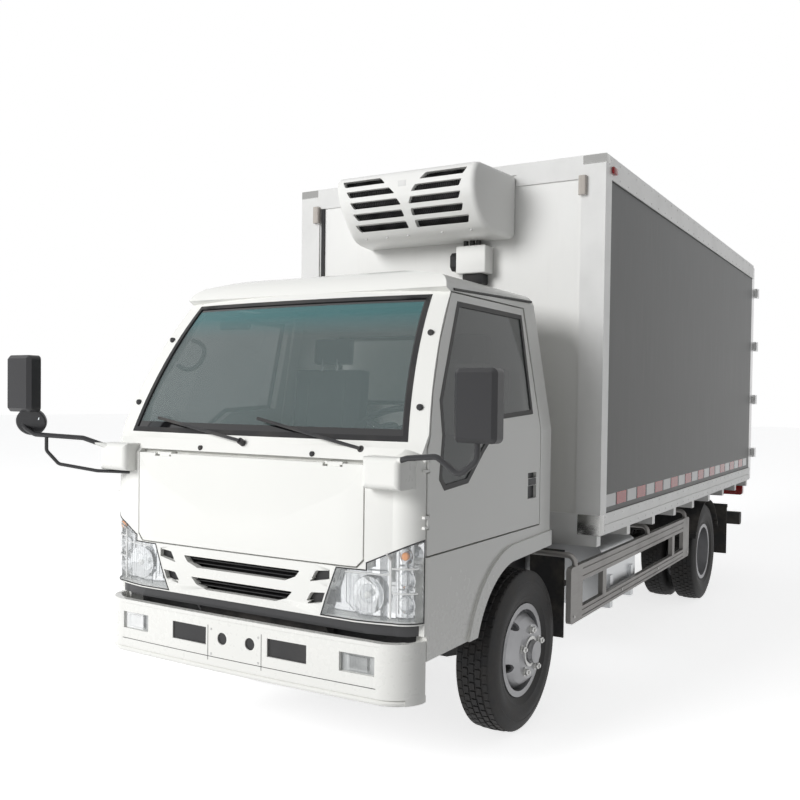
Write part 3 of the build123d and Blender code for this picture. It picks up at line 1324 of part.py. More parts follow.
def cab_plan_face():
    """The cab's outline seen from above, its front corners in arcs."""
    right = [(FLAT_X, FLAT_Y), (BEND_MID_X, BEND_MID_Y), (BEND_X, BEND_Y),
             (CORNER_MID_X, CORNER_MID_Y), (CAB_HALF_WIDTH, CORNER_Y)]
    r = [(x, along(y), 0) for x, y in right]
    q = [(-x, along(y), 0) for x, y in right]
    back_right = (CAB_HALF_WIDTH, along(CAB_BACK), 0)
    back_left = (-CAB_HALF_WIDTH, along(CAB_BACK), 0)
    edges = [
        ThreePointArc(q[0], (0, along(CAB_FACE), 0), r[0]),
        ThreePointArc(r[0], r[1], r[2]),
        ThreePointArc(r[2], r[3], r[4]),
        Line(r[4], back_right),
        Line(back_right, back_left),
        Line(back_left, q[4]),
        ThreePointArc(q[4], q[3], q[2]),
        ThreePointArc(q[2], q[1], q[0]),
    ]
    return make_face(edges)


def inset_face(face, inset):
    """A flat face shrunk by inset, or as it is for no inset."""
    if inset == 0:
        return face
    return offset(face, amount=-inset, kind=Kind.ARC)


def screen_barrel(inset):
    """A barrel whose side is the screen, curved both ways, and flares below the screen's foot."""
    bow_radius = SCREEN_BOW_X * SCREEN_BOW_X / (2 * SCREEN_BOW)
    foot = screen_chord_point(0, -inset)
    head = screen_chord_point(1, -inset)
    middle = screen_chord_point(MIDDLE_SHARE, SCREEN_BULGE - inset)
    flare = screen_chord_point(0, CAB_HALF_WIDTH)
    flare_low = screen_chord_point(-1, CAB_HALF_WIDTH)
    flare_high = screen_chord_point(1, CAB_HALF_WIDTH)
    flare_top = screen_chord_point(2, CAB_HALF_WIDTH)
    axis_top = screen_chord_point(2, -bow_radius)
    axis_low = screen_chord_point(-1, -bow_radius)
    p = {name: (0, along(y), z) for name, (y, z) in {
        "foot": foot, "head": head, "middle": middle, "flare": flare, "flare_low": flare_low,
        "flare_high": flare_high, "flare_top": flare_top, "axis_top": axis_top, "axis_low": axis_low}.items()}
    edges = [
        Line(p["axis_low"], p["flare_low"]),
        Line(p["flare_low"], p["flare"]),
        Line(p["flare"], p["foot"]),
        ThreePointArc(p["foot"], p["middle"], p["head"]),
        Line(p["head"], p["flare_high"]),
        Line(p["flare_high"], p["flare_top"]),
        Line(p["flare_top"], p["axis_top"]),
        Line(p["axis_top"], p["axis_low"]),
    ]
    axis = Axis(p["axis_low"], Vector(*p["axis_top"]) - Vector(*p["axis_low"]))
    return revolve(make_face(edges), axis, 360)


def cab_body(inset):
    """The whole cab as one solid, every face moved in by inset."""
    side = extrude(Pos(-CAB_HALF_WIDTH, 0, 0) * inset_face(cab_side_face(), inset),
                   amount=2 * CAB_HALF_WIDTH, dir=(1, 0, 0))
    low_y = along(CAB_FACE) - OVERRUN
    length = along(CAB_BACK) + OVERRUN - low_y
    front = extrude(Pos(0, low_y, 0) * inset_face(cab_front_face(), inset), amount=length,
                    dir=(0, 1, 0))
    height = CAB_TOP_Z - SIDE_FOOT_Z
    plan = extrude(Pos(0, 0, SIDE_FOOT_Z) * inset_face(cab_plan_face(), inset), amount=height,
                   dir=(0, 0, 1))
    return side & front & plan & screen_barrel(inset)


class CabShapes:
    """The nested cab solids that the panels are cut from, made once."""

    def __init__(self):
        self.outer = cab_body(0)
        self.inner = cab_body(CAB_WALL)
        self.lid_back = cab_body(LID_WALL)
        self.lid_pocket = cab_body(LID_WALL + LID_GAP)
        self.grille_back = cab_body(GRILLE_WALL)
        self.lamp_back = cab_body(LAMP_WALL)
        low_y = along(CAB_FACE) - OVERRUN
        length = along(CAB_BACK) + OVERRUN * 2 - low_y
        self.door_core = extrude(Pos(0, low_y, 0) * inset_face(cab_front_face(), CAB_WALL),
                                 amount=length, dir=(0, 1, 0))
        pocket = inset_face(cab_front_face(), CAB_WALL + SWING_GAP)
        self.pocket_core = extrude(Pos(0, low_y, 0) * pocket, amount=length, dir=(0, 1, 0))
        glass = inset_face(cab_front_face(), GLASS_SETBACK)
        self.door_glass_front = extrude(Pos(0, low_y, 0) * glass, amount=length, dir=(0, 1, 0))
        glass = inset_face(cab_front_face(), GLASS_SETBACK + DOOR_GLASS_WALL)
        self.door_glass_back = extrude(Pos(0, low_y, 0) * glass, amount=length, dir=(0, 1, 0))


def door_outline():
    """The cab door's (y, z) outline."""
    front = [(DOOR_FRONT, DOOR_FOOT_Z), (DOOR_FRONT, DOOR_PILLAR_FOOT_Z)]
    top = [(DOOR_TOP_FRONT, DOOR_TOP_Z), (DOOR_TOP_BACK, DOOR_TOP_Z)]
    back = [(DOOR_BACK, BELT_Z), (DOOR_BACK, DOOR_FOOT_Z)]
    return places(front + list(DOOR_PILLAR_PLACES) + top + back)


def opening_outline():
    """The cab side's opening: the door's outline with a gap round it, upright at the back."""
    gap = SWING_GAP
    front = [(DOOR_FRONT - gap, DOOR_FOOT_Z - gap), (DOOR_FRONT - gap, DOOR_PILLAR_FOOT_Z + gap)]
    pillar = [(y - gap, z + gap / 2) for y, z in DOOR_PILLAR_PLACES]
    top = [(DOOR_TOP_FRONT - gap / 2, DOOR_TOP_Z + gap), (DOOR_BACK + gap, DOOR_TOP_Z + gap)]
    back = [(DOOR_BACK + gap, DOOR_FOOT_Z - gap)]
    return places(front + pillar + top + back)


def trapezoid(z, height, half_above, half_below):
    """A slot's (x, z) outline, wider above than below."""
    return [
        (-half_above, z + height / 2),
        (half_above, z + height / 2),
        (half_below, z - height / 2),
        (-half_below, z - height / 2),
    ]


def face_prism(outline):
    """An (x, z) outline carried through the cab's front wall."""
    return front_prism(outline, along(CAB_FACE) - OVERRUN * 2, along(FRONT_SPLIT_Y))


def lid_outline(grow_side, grow_top):
    """The front lid's (x, z) outline, grown for its pocket."""
    half = LID_HALF_WIDTH + grow_side
    bottom = LID_BOTTOM_Z - grow_side
    top = LID_TOP_Z + grow_top
    cut = LID_CORNER
    return [
        (-half, bottom + cut),
        (-half + cut, bottom),
        (half - cut, bottom),
        (half, bottom + cut),
        (half, top),
        (-half, top),
    ]


def grille_outline():
    """The grille's (x, z) outline, narrower below."""
    z = (GRILLE_BOTTOM_Z + GRILLE_TOP_Z) / 2
    return trapezoid(z, GRILLE_TOP_Z - GRILLE_BOTTOM_Z, GRILLE_HALF_WIDTH, GRILLE_BOTTOM_HALF_WIDTH)


def lamp_outline():
    """The driver's side headlamp's (x, z) outline, rising to the cab's corner."""
    slope = (GRILLE_HALF_WIDTH - GRILLE_BOTTOM_HALF_WIDTH) / (GRILLE_TOP_Z - GRILLE_BOTTOM_Z)
    foot_x = LAMP_INNER_X - slope * (LAMP_INNER_TOP_Z - LAMP_BOTTOM_Z)
    return [
        (foot_x, LAMP_BOTTOM_Z),
        (LAMP_OUTER_X, LAMP_BOTTOM_Z),
        (LAMP_OUTER_X, LAMP_OUTER_TOP_Z),
        (LAMP_STEP_X, LAMP_STEP_TOP_Z),
        (LAMP_STEP_X, LAMP_INNER_TOP_Z),
        (LAMP_INNER_X, LAMP_INNER_TOP_Z),
    ]


def screen_outline():
    """The windscreen's (x, z) outline."""
    return [
        (-SCREEN_BOTTOM_X, SCREEN_BOTTOM_Z),
        (SCREEN_BOTTOM_X, SCREEN_BOTTOM_Z),
        (SCREEN_TOP_X, SCREEN_TOP_Z),
        (-SCREEN_TOP_X, SCREEN_TOP_Z),
    ]


def arch_face(grow):
    """The wheel arch's outline in the side plane, grown for its flare."""
    foot = (0, along(ARCH_FOOT) - grow, SIDE_FOOT_Z)
    middle = (0, along(ARCH_MID) - grow * cos(pi / 4), ARCH_MID_Z + grow * sin(pi / 4))
    top = (0, along(ARCH_TOP), ARCH_TOP_Z + grow)
    back = (0, along(CAB_BACK), ARCH_BACK_Z + grow)
    low_back = (0, along(CAB_BACK), SIDE_FOOT_Z)
    edges = [ThreePointArc(foot, middle, top), Line(top, back), Line(back, low_back),
             Line(low_back, foot)]
    return make_face(edges)


def cab_shell(cab):
    """The cab's shell with its arch, windows and door openings cut, still in one piece."""
    shell = cab.outer - cab.inner
    wide = CAB_HALF_WIDTH + FLARE_PROUD
    skin = CAB_HALF_WIDTH - CAB_WALL
    low_y = along(CAB_FACE) - OVERRUN
    shell -= block((-skin, skin), (low_y, along(CAB_BACK) + OVERRUN),
                   (SIDE_FOOT_Z - OVERRUN, CAB_FACE_BOTTOM_Z))
    shell -= block((-wide, wide), (low_y, along(CORNER_Y)), (SIDE_FOOT_Z - OVERRUN, CAB_FACE_BOTTOM_Z))
    shell -= block((-skin, skin), (along(FRONT_SPLIT_Y), along(CAB_BACK) + OVERRUN),
                   (SIDE_FOOT_Z - OVERRUN, CAB_FLOOR_Z))
    shell -= extrude(Pos(-wide, 0, 0) * arch_face(0), amount=2 * wide, dir=(1, 0, 0))
    band = arch_face(FLARE_BAND) - arch_face(0)
    flare = extrude(Pos(skin, 0, 0) * band, amount=CAB_WALL + FLARE_PROUD, dir=(1, 0, 0))
    shell += flare
    shell += mirrored(flare)
    shell -= front_prism(screen_outline(), low_y, along(DOOR_TOP_FRONT))
    window = block((-REAR_WINDOW_X, REAR_WINDOW_X), (along(CAB_BACK) - CAB_WALL, along(CAB_BACK)),
                   (REAR_WINDOW_BOTTOM_Z, REAR_WINDOW_TOP_Z))
    shell -= window
    opening = side_prism(opening_outline(), -wide, wide)
    return shell - (opening - cab.pocket_core)


def cab_panels(cab):
    """Front panel, side frames, rear wall and roof, split where the real panels meet."""
    shell = cab_shell(cab)
    wide = CAB_HALF_WIDTH + FLARE_PROUD * 2
    low_y = along(CAB_FACE) - OVERRUN
    high_y = along(CAB_BACK) + OVERRUN
    split_y = along(FRONT_SPLIT_Y)
    back_y = along(CAB_BACK) - CAB_WALL
    foot = SIDE_FOOT_Z - OVERRUN
    roof = shell & block((-wide, wide), (low_y, high_y), (ROOF_SPLIT_Z, CAB_TOP_Z + OVERRUN))
    body = shell & block((-wide, wide), (low_y, high_y), (foot, ROOF_SPLIT_Z))
    front = body & block((-wide, wide), (low_y, split_y), (foot, SCREEN_BOTTOM_Z))
    skin = CAB_HALF_WIDTH - CAB_WALL
    back = body & block((-skin, skin), (back_y, high_y), (CAB_FLOOR_Z, ROOF_SPLIT_Z))
    sides = body - block((-wide, wide), (low_y, split_y), (foot, SCREEN_BOTTOM_Z))
    sides -= block((-skin, skin), (back_y, high_y), (CAB_FLOOR_Z, ROOF_SPLIT_Z))
    return finish_front(front, cab), sides, back, roof


def finish_front(front, cab):
    """The front panel with its skirt set back, lid pocket, grille and lamp openings, and lid lugs."""
    skirt = block((-CAB_HALF_WIDTH, CAB_HALF_WIDTH), (along(CAB_FACE) - OVERRUN, along(FRONT_SPLIT_Y)),
                  (CAB_FACE_BOTTOM_Z - OVERRUN, SKIRT_TOP_Z))
    front -= skirt - cab_body(SKIRT_SETBACK)
    front -= face_prism(lid_outline(LID_GAP, LID_TOP_GAP)) - cab.lid_pocket
    front -= face_prism(grille_outline())
    front -= face_prism(lamp_outline())
    front -= face_prism([(-x, z) for x, z in lamp_outline()])
    axis_y, axis_z = lid_axis()
    for side in (-1, 1):
        middle = side * LID_HINGE_X
        half = LID_HINGE_WIDTH / 2
        for end in (middle - half - LID_HINGE_LUG, middle + half):
            lug = block((end, end + LID_HINGE_LUG), (axis_y - LID_HINGE_RADIUS, axis_y + LID_LUG_REACH),
                        (axis_z - LID_HINGE_RADIUS, axis_z + LID_HINGE_RADIUS))
            front += lug
        front += rod((middle - half, axis_y, axis_z), (middle + half, axis_y, axis_z), LID_PIN_RADIUS)
    front = front.solids().sort_by(SortBy.VOLUME)[-1]
    x, y = door_axis()
    r = DOOR_HINGE_RADIUS
    for low, high in door_hinge_spans():
        hinge = rod((x, y, low - DOOR_HINGE_LUG), (x, y, high + DOOR_HINGE_LUG), DOOR_HINGE_PIN_RADIUS)
        for lug_low, lug_high in ((low - DOOR_HINGE_LUG, low), (high, high + DOOR_HINGE_LUG)):
            hinge += rod((x, y, lug_low), (x, y, lug_high), r)
            hinge += block((x - r, x + r), (along(FRONT_SPLIT_Y) - OVERRUN, y), (lug_low, lug_high))
        front += hinge
        front += mirrored(hinge)
    return front


def lid_axis():
    """The lid's hinge line, as (y, z)."""
    return along(CAB_FACE_END) + LID_AXIS_SETBACK, LID_TOP_Z


def front_lid(cab):
    """The lid below the windscreen with its two hinge sleeves."""
    lid = (cab.outer - cab.lid_back) & face_prism(lid_outline(0, 0))
    axis_y, axis_z = lid_axis()
    half = LID_HINGE_WIDTH / 2
    for side in (-1, 1):
        middle = side * LID_HINGE_X
        room = half + LID_HINGE_LUG + SWING_GAP
        lid -= block((middle - room, middle + room),
                     (axis_y - LID_AXIS_SETBACK * 2, axis_y + LID_WALL * 2),
                     (axis_z - LID_HINGE_RADIUS - SWING_GAP, axis_z + OVERRUN))
        reach = half - PIN_GAP
        sleeve = rod((middle - reach, axis_y, axis_z), (middle + reach, axis_y, axis_z),
                     LID_HINGE_RADIUS)
        sleeve += block((middle - reach, middle + reach),
                        (axis_y - LID_HINGE_RADIUS, axis_y + LID_HINGE_RADIUS),
                        (axis_z - LID_HINGE_RADIUS - SWING_GAP - LID_WALL, axis_z))
        sleeve -= rod((middle - half, axis_y, axis_z), (middle + half, axis_y, axis_z),
                      LID_PIN_RADIUS + PIN_GAP)
        lid += sleeve
    return lid


def grille(cab):
    """The grille panel with two wide slots and the slanted windows at its ends."""
    panel = (cab.outer - cab.grille_back) & face_prism(grille_outline())
    for z, height, above, below in GRILLE_SLOT_PLACES:
        panel -= face_prism(trapezoid(z, height, above, below))
    for inner_x, outer_x, inner_z, outer_top_z, outer_foot_z in GRILLE_WINDOW_PLACES:
        outline = [(inner_x, inner_z), (outer_x, outer_top_z), (outer_x, outer_foot_z),
                   (inner_x, inner_z - GRILLE_WINDOW_FOOT)]
        panel -= face_prism(outline)
        panel -= face_prism([(-x, z) for x, z in outline])
    return panel


def headlamps(cab):
    """The two wrap-round headlamps."""
    lamp = (cab.outer - cab.lamp_back) & face_prism(lamp_outline())
    return both_sides(lamp)


def cab_glass(cab):
    """The windscreen, set into its opening, and the rear window."""
    front_y = along(CAB_FACE) - OVERRUN
    prism = front_prism(screen_outline(), front_y, along(DOOR_TOP_FRONT))
    set_in = Pos(0, GLASS_SETBACK, 0) * cab.outer
    behind = Pos(0, GLASS_SETBACK + GLASS_WALL, 0) * cab.outer
    screen = (prism & set_in) - behind
    back = along(CAB_BACK) - GLASS_SETBACK
    window = block((-REAR_WINDOW_X, REAR_WINDOW_X), (back - GLASS_WALL, back),
                   (REAR_WINDOW_BOTTOM_Z, REAR_WINDOW_TOP_Z))
    return group(screen, window)


def cab_floor(cab):
    """The floor with the engine hump, and the legs and sleeves of the tilt hinge."""
    back = along(CAB_BACK) - CAB_WALL
    skin = CAB_HALF_WIDTH - CAB_WALL
    front = along(CAB_FACE)
    top = CAB_FLOOR_Z + CAB_FLOOR_WALL
    shape = block((-skin, skin), (front, back), (CAB_FLOOR_Z, top)) & cab.inner
    inner = HUMP_HALF_WIDTH - HUMP_WALL
    hump_front = along(HUMP_FRONT)
    shape -= block((-inner, inner), (hump_front + HUMP_WALL, back), (CAB_FLOOR_Z, top))
    hump = block((-HUMP_HALF_WIDTH, HUMP_HALF_WIDTH), (hump_front, back), (top, HUMP_TOP_Z))
    hump -= block((-inner, inner), (hump_front + HUMP_WALL, back), (top, HUMP_TOP_Z - HUMP_WALL))
    shape += hump
    half = TILT_SLEEVE_WIDTH / 2
    y = along(TILT_Y)
    depth = TILT_LEG_DEPTH / 2
    for side in (-1, 1):
        x = side * TILT_SLEEVE_X
        leg = block((x - half, x + half), (y - depth, y + depth), (TILT_Z, CAB_FLOOR_Z))
        leg += rod((x - half, y, TILT_Z), (x + half, y, TILT_Z), TILT_SLEEVE_RADIUS)
        shape += leg - rod((x - half, y, TILT_Z), (x + half, y, TILT_Z), TILT_PIN_RADIUS + PIN_GAP)
    return shape


# Cab doors


def door_hinge_spans():
    """Bottom and top of each door hinge barrel."""
    height = BELT_Z - DOOR_FOOT_Z
    lows = [DOOR_FOOT_Z + share * height for share in DOOR_HINGE_SHARES]
    return [(low, low + DOOR_HINGE_HEIGHT) for low in lows]


def door_axis():
    """The driver's door hinge line, as (x, y)."""
    return CAB_HALF_WIDTH - DOOR_HINGE_INSET, along(DOOR_FRONT) + DOOR_AXIS_SETBACK


def cab_door(cab):
    """The driver's door with its window cut, a recess for the handle and the handle in it."""
    outer = CAB_HALF_WIDTH + OVERRUN
    slab = side_prism(door_outline(), 0, outer) & cab.outer
    door = slab - cab.door_core
    door -= side_prism(places(WINDOW_PLACES), 0, outer)
    y = along(DOOR_HANDLE_Y)
    half = DOOR_HANDLE_WIDTH / 2
    low = DOOR_HANDLE_Z - DOOR_HANDLE_HEIGHT / 2
    high = low + DOOR_HANDLE_HEIGHT
    depth = DOOR_HANDLE_DEPTH
    door -= block((CAB_HALF_WIDTH - depth, outer), (y - half, y + half), (low, high))
    grip = block((CAB_HALF_WIDTH - depth / 2, CAB_HALF_WIDTH), (y - half, y + half),
                 (DOOR_HANDLE_Z, DOOR_HANDLE_Z + depth * 2))
    door += grip
    x, y = door_axis()
    r = DOOR_HINGE_RADIUS
    for low, high in door_hinge_spans():
        reach = DOOR_HINGE_LUG + DOOR_NOTCH
        door -= block((x - r - DOOR_NOTCH, outer), (y - OVERRUN, y + r + DOOR_NOTCH),
                      (low - reach, high + reach))
        z = (low + PIN_GAP, high - PIN_GAP)
        sleeve = rod((x, y, z[0]), (x, y, z[1]), r)
        sleeve += block((x - r - DOOR_NOTCH * 2, CAB_HALF_WIDTH), (y, y + r + DOOR_NOTCH * 2), z)
        door += sleeve - rod((x, y, low), (x, y, high), DOOR_HINGE_PIN_RADIUS + PIN_GAP)
    return door


def door_glass(cab):
    """The driver's door glass, set into its opening."""
    outer = CAB_HALF_WIDTH + OVERRUN
    pane = side_prism(places(WINDOW_PLACES), 0, outer) & cab.door_glass_front
    return (pane - cab.door_glass_back) & cab.outer


# Bumper and lamps


def bumper_outline(inset):
    """The bumper's plan outline, open to the back, its skin moved in by inset."""
    right = [(BUMPER_BEND_X, BUMPER_BEND_Y), (CORNER_MID_X, CORNER_MID_Y - CAB_WALL / 2),
             (BUMPER_CORNER_X, BUMPER_CORNER_Y)]
    r = [(x, along(y), BUMPER_BOTTOM_Z) for x, y in right]
    q = [(-x, y, z) for x, y, z in r]
    edges = [
        ThreePointArc(q[0], (0, FRONT_END_Y, BUMPER_BOTTOM_Z), r[0]),
        ThreePointArc(r[0], r[1], r[2]),
        Line(r[2], q[2]),
        ThreePointArc(q[2], q[1], q[0]),
    ]
    face = make_face(edges)
    if inset == 0:
        return face
    inner = offset(face, amount=-inset, kind=Kind.ARC)
    wide = BUMPER_CORNER_X - inset
    low = along(BUMPER_CORNER_Y)
    strip = [(-wide, low - inset * 2), (wide, low - inset * 2), (wide, low), (-wide, low)]
    return inner + make_face(Polyline(*[(x, y, BUMPER_BOTTOM_Z) for x, y in strip], close=True))


def bumper_slot(x_low, x_high, height):
    """A cut through the bumper's front skin."""
    z = BUMPER_SLOT_Z
    return block((x_low, x_high), (FRONT_END_Y - OVERRUN, along(BUMPER_CORNER_Y)),
                 (z - height / 2, z + height / 2))


def front_bumper():
    """A thin shell with an inward flange on top, slots, lamp openings, tow holes and its brackets."""
    height = BUMPER_TOP_Z - BUMPER_BOTTOM_Z
    shell = extrude(bumper_outline(0), amount=height, dir=(0, 0, 1))
    core = extrude(bumper_outline(BUMPER_WALL), amount=height - BUMPER_FLANGE_WALL, dir=(0, 0, 1))
    shell -= core
    shell -= extrude(bumper_outline(BUMPER_FLANGE_DEPTH), amount=height, dir=(0, 0, 1))
    lip = extrude(bumper_outline(0) - bumper_outline(BUMPER_LIP_SETBACK),
                  amount=BUMPER_LIP_Z - BUMPER_BOTTOM_Z, dir=(0, 0, 1))
    shell -= lip
    for side in (-1, 1):
        ends = sorted((side * BUMPER_SLOT_INNER_X, side * BUMPER_SLOT_OUTER_X))
        shell -= bumper_slot(ends[0], ends[1], BUMPER_SLOT_HEIGHT)
        shell -= bumper_slot(side * FOG_X - FOG_HALF_WIDTH, side * FOG_X + FOG_HALF_WIDTH,
                             BUMPER_SLOT_HEIGHT)
        hole = rod((side * TOW_HOLE_X, FRONT_END_Y - OVERRUN, BUMPER_SLOT_Z),
                   (side * TOW_HOLE_X, FRONT_END_Y + BUMPER_FLANGE_DEPTH,
                    BUMPER_SLOT_Z), TOW_HOLE_RADIUS)
        shell -= hole
    frame_front = FRONT_END_Y + RAIL_FRONT_SETBACK
    low_z = max(BUMPER_BRACKET_Z, RAIL_TOP_Z - RAIL_HEIGHT)
    for side in (-1, 1):
        ends = sorted((side * (RAIL_OUTER_X - RAIL_FLANGE), side * RAIL_OUTER_X))
        start = FRONT_END_Y + BUMPER_WALL * BRACKET_START_SHARE
        shell += block(ends, (start, frame_front), (low_z, BUMPER_BRACKET_TOP_Z))
    return shell


def fog_lamps():
    """Two lamps on plates behind their openings in the bumper."""
    height = BUMPER_SLOT_HEIGHT + OVERRUN
    near = extrude(bumper_outline(BUMPER_WALL),
                   amount=BUMPER_TOP_Z - BUMPER_BOTTOM_Z - BUMPER_FLANGE_WALL, dir=(0, 0, 1))
    far = extrude(bumper_outline(BUMPER_WALL + GLASS_WALL), amount=BUMPER_TOP_Z - BUMPER_BOTTOM_Z,
                  dir=(0, 0, 1))
    half = FOG_HALF_WIDTH + OVERRUN / 2
    plate = (near - far) & bumper_slot(FOG_X - half, FOG_X + half, height)
    plate = plate.solids().sort_by(Axis.Y)[0]
    lamp_half = FOG_LAMP_WIDTH / 2
    plate_y = plate.bounding_box().max.Y
    lamp = block((FOG_X - lamp_half, FOG_X + lamp_half),
                 (plate_y - FOG_LAMP_DEPTH / 2, plate_y + FOG_LAMP_DEPTH),
                 (BUMPER_SLOT_Z - FOG_LAMP_HEIGHT / 2, BUMPER_SLOT_Z + FOG_LAMP_HEIGHT / 2))
    return both_sides(plate + lamp)


# Wipers and mirrors


def screen_place(x, share, out):
    """A point above the screen at x, at a share of the way from its foot to its head."""
    dy = SCREEN_HEAD_Y - SCREEN_FOOT_Y
    dz = SCREEN_HEAD_Z - SCREEN_FOOT_Z
    length = sqrt(dy * dy + dz * dz)
    arc = (length * length / 4 + SCREEN_BULGE * SCREEN_BULGE) / (2 * SCREEN_BULGE)
    reach = (share - 1 / 2) * length
    bulge = sqrt(arc * arc - reach * reach) - (arc - SCREEN_BULGE)
    bow = SCREEN_BOW_X * SCREEN_BOW_X / (2 * SCREEN_BOW)
    sag = bow - sqrt(bow * bow - x * x)
    y, z = screen_chord_point(share, bulge - sag + out)
    return x, along(y), z


def wipers(cab):
    """Two wiper arms parked along the foot of the screen, each with its blade."""
    pieces = []
    for pivot_x in WIPER_PIVOTS_X:
        start = screen_place(pivot_x, WIPER_PIVOT_SHARE, 0)
        head = screen_place(pivot_x, WIPER_PIVOT_SHARE, WIPER_PIVOT_HEIGHT)
        tip = screen_place(pivot_x - WIPER_REACH, WIPER_TIP_SHARE, WIPER_PIVOT_HEIGHT)
        foot = screen_place(pivot_x, WIPER_PIVOT_SHARE, WIPER_RADIUS * -2)
        piece = rod(foot, head, WIPER_RADIUS * 2) + rod(head, tip, WIPER_RADIUS)
        piece -= cab.outer
        pieces.append(piece.solids().sort_by(SortBy.VOLUME)[-1])
    return group(*pieces)


def mirror_head(x_low, x_high, y, z_low, z_high):
    """One mirror head, rounded in plan and tapering towards its front."""
    head = block((x_low, x_high), (y - MIRROR_DEPTH, y), (z_low, z_high))
    head = fillet(head.edges().filter_by(Axis.Y), MIRROR_DEPTH / 3)
    return chamfer(head.faces().sort_by(Axis.Y)[0].edges(), MIRROR_DEPTH / 4)


def spot_mirror():
    """The small round mirror below the far side's head, facing back and inwards."""
    place = Pos(SPOT_MIRROR_X, along(SPOT_MIRROR_Y), SPOT_MIRROR_Z)
    disc = Cylinder(SPOT_MIRROR_RADIUS, SPOT_MIRROR_WALL)
    disc = chamfer(disc.edges().sort_by(Axis.Z)[-1], SPOT_MIRROR_WALL / 4)
    return place * Rot(0, 0, SPOT_MIRROR_TURN) * Rot(90 + SPOT_MIRROR_LEAN, 0, 0) * disc


def mirror_stay(cab):
    """The thin stay that braces the far side's arm on the cab's corner."""
    run = [(x, along(y), z) for x, y, z in MIRROR_STAY_PLACES]
    stay = bent_rod(run, MIRROR_STAY_BEND, MIRROR_STAY_RADIUS) - cab.outer
    return stay.solids().sort_by(SortBy.VOLUME)[-1]


def mirrors(cab):
    """Mirror arms on their caps at the cab's front corners, each with its own bends and head."""
    base_half = MIRROR_BASE_WIDTH / 2
    z = (MIRROR_BASE_Z - MIRROR_BASE_HEIGHT / 2, MIRROR_BASE_Z + MIRROR_BASE_HEIGHT / 2)
    cap = block((MIRROR_BASE_X - base_half, MIRROR_BASE_X + base_half),
                (along(MIRROR_BASE_Y), along(DOOR_FRONT) - SWING_GAP), z)
    cap = fillet(cap.edges().group_by(Axis.Y)[0], MIRROR_BASE_HEIGHT / 5)
    cap -= cab.outer
    cap = cap.solids().sort_by(Axis.Y)[0]
    r = MIRROR_TUBE_RADIUS
    span = MIRROR_SPAN
    left_arm = bent_rod([(MIRROR_BASE_X, along(MIRROR_BASE_Y) + r * 3,
                          MIRROR_BASE_Z + base_half / 3)] + [
        (x, along(y), z) for x, y, z in MIRROR_LEFT_PLACES], MIRROR_BEND, r)
    left_x = (span - MIRROR_WIDTH, span)
    left_head = mirror_head(left_x[0], left_x[1], along(MIRROR_LEFT_Y), MIRROR_LEFT_Z,
                            MIRROR_LEFT_Z + MIRROR_HEIGHT)
    right_arm = bent_rod([(-MIRROR_BASE_X, along(MIRROR_BASE_Y) + r * 3,
                           MIRROR_BASE_Z + base_half / 3)] + [
        (x, along(y), z) for x, y, z in MIRROR_RIGHT_PLACES], MIRROR_BEND, r)
    right_y = along(MIRROR_RIGHT_Y)
    right_head = mirror_head(-span, MIRROR_WIDTH - span, right_y, MIRROR_RIGHT_Z,
                             MIRROR_RIGHT_Z + MIRROR_HEIGHT)
    right = mirrored(cap) + right_arm + right_head + mirror_stay(cab) + spot_mirror()
    return group(cap + left_arm + left_head, right)


# Cab inside


def seats():
    """Two seats on risers beside the engine hump, each with its back and headrest."""
    floor = CAB_FLOOR_Z + CAB_FLOOR_WALL
    front = along(SEAT_FRONT)
    back = front + SEAT_LENGTH
    top = floor + SEAT_RISER_HEIGHT
    outer = SEAT_X + SEAT_WIDTH / 2
    riser = block((HUMP_HALF_WIDTH, outer), (front, back), (floor, top))
    inner = outer - SEAT_WIDTH
    cushion = block((inner, outer), (front, back), (top, top + SEAT_WALL))
    cushion = fillet(cushion.edges().group_by(Axis.Z)[-1], SEAT_WALL / 4)
    foot_z = top + SEAT_WALL / 2
    lean = SEAT_BACK_LEAN
    wall = SEAT_BACK_WALL
    outline = [(back, foot_z), (back + wall, foot_z), (back + wall + lean, SEAT_BACK_TOP_Z),
               (back + lean + wall / 3, SEAT_BACK_TOP_Z)]
    rest = side_prism(outline, inner, outer)
    half = HEADREST_WIDTH / 2
    head_y = (back + lean + wall / 3, back + lean + wall / 3 + HEADREST_WALL)
    post = block((SEAT_X - half / 3, SEAT_X + half / 3), (head_y[0] + wall / 6, head_y[1] - wall / 6),
                 (SEAT_BACK_TOP_Z - OVERRUN, SEAT_BACK_TOP_Z + HEADREST_GAP))
    headrest = block((SEAT_X - half, SEAT_X + half), head_y,
                     (SEAT_BACK_TOP_Z + HEADREST_GAP, SEAT_BACK_TOP_Z + HEADREST_GAP + HEADREST_HEIGHT))
    headrest = fillet(headrest.edges().filter_by(Axis.Y), HEADREST_HEIGHT / 5)
    return both_sides(riser + cushion + rest + post + headrest)


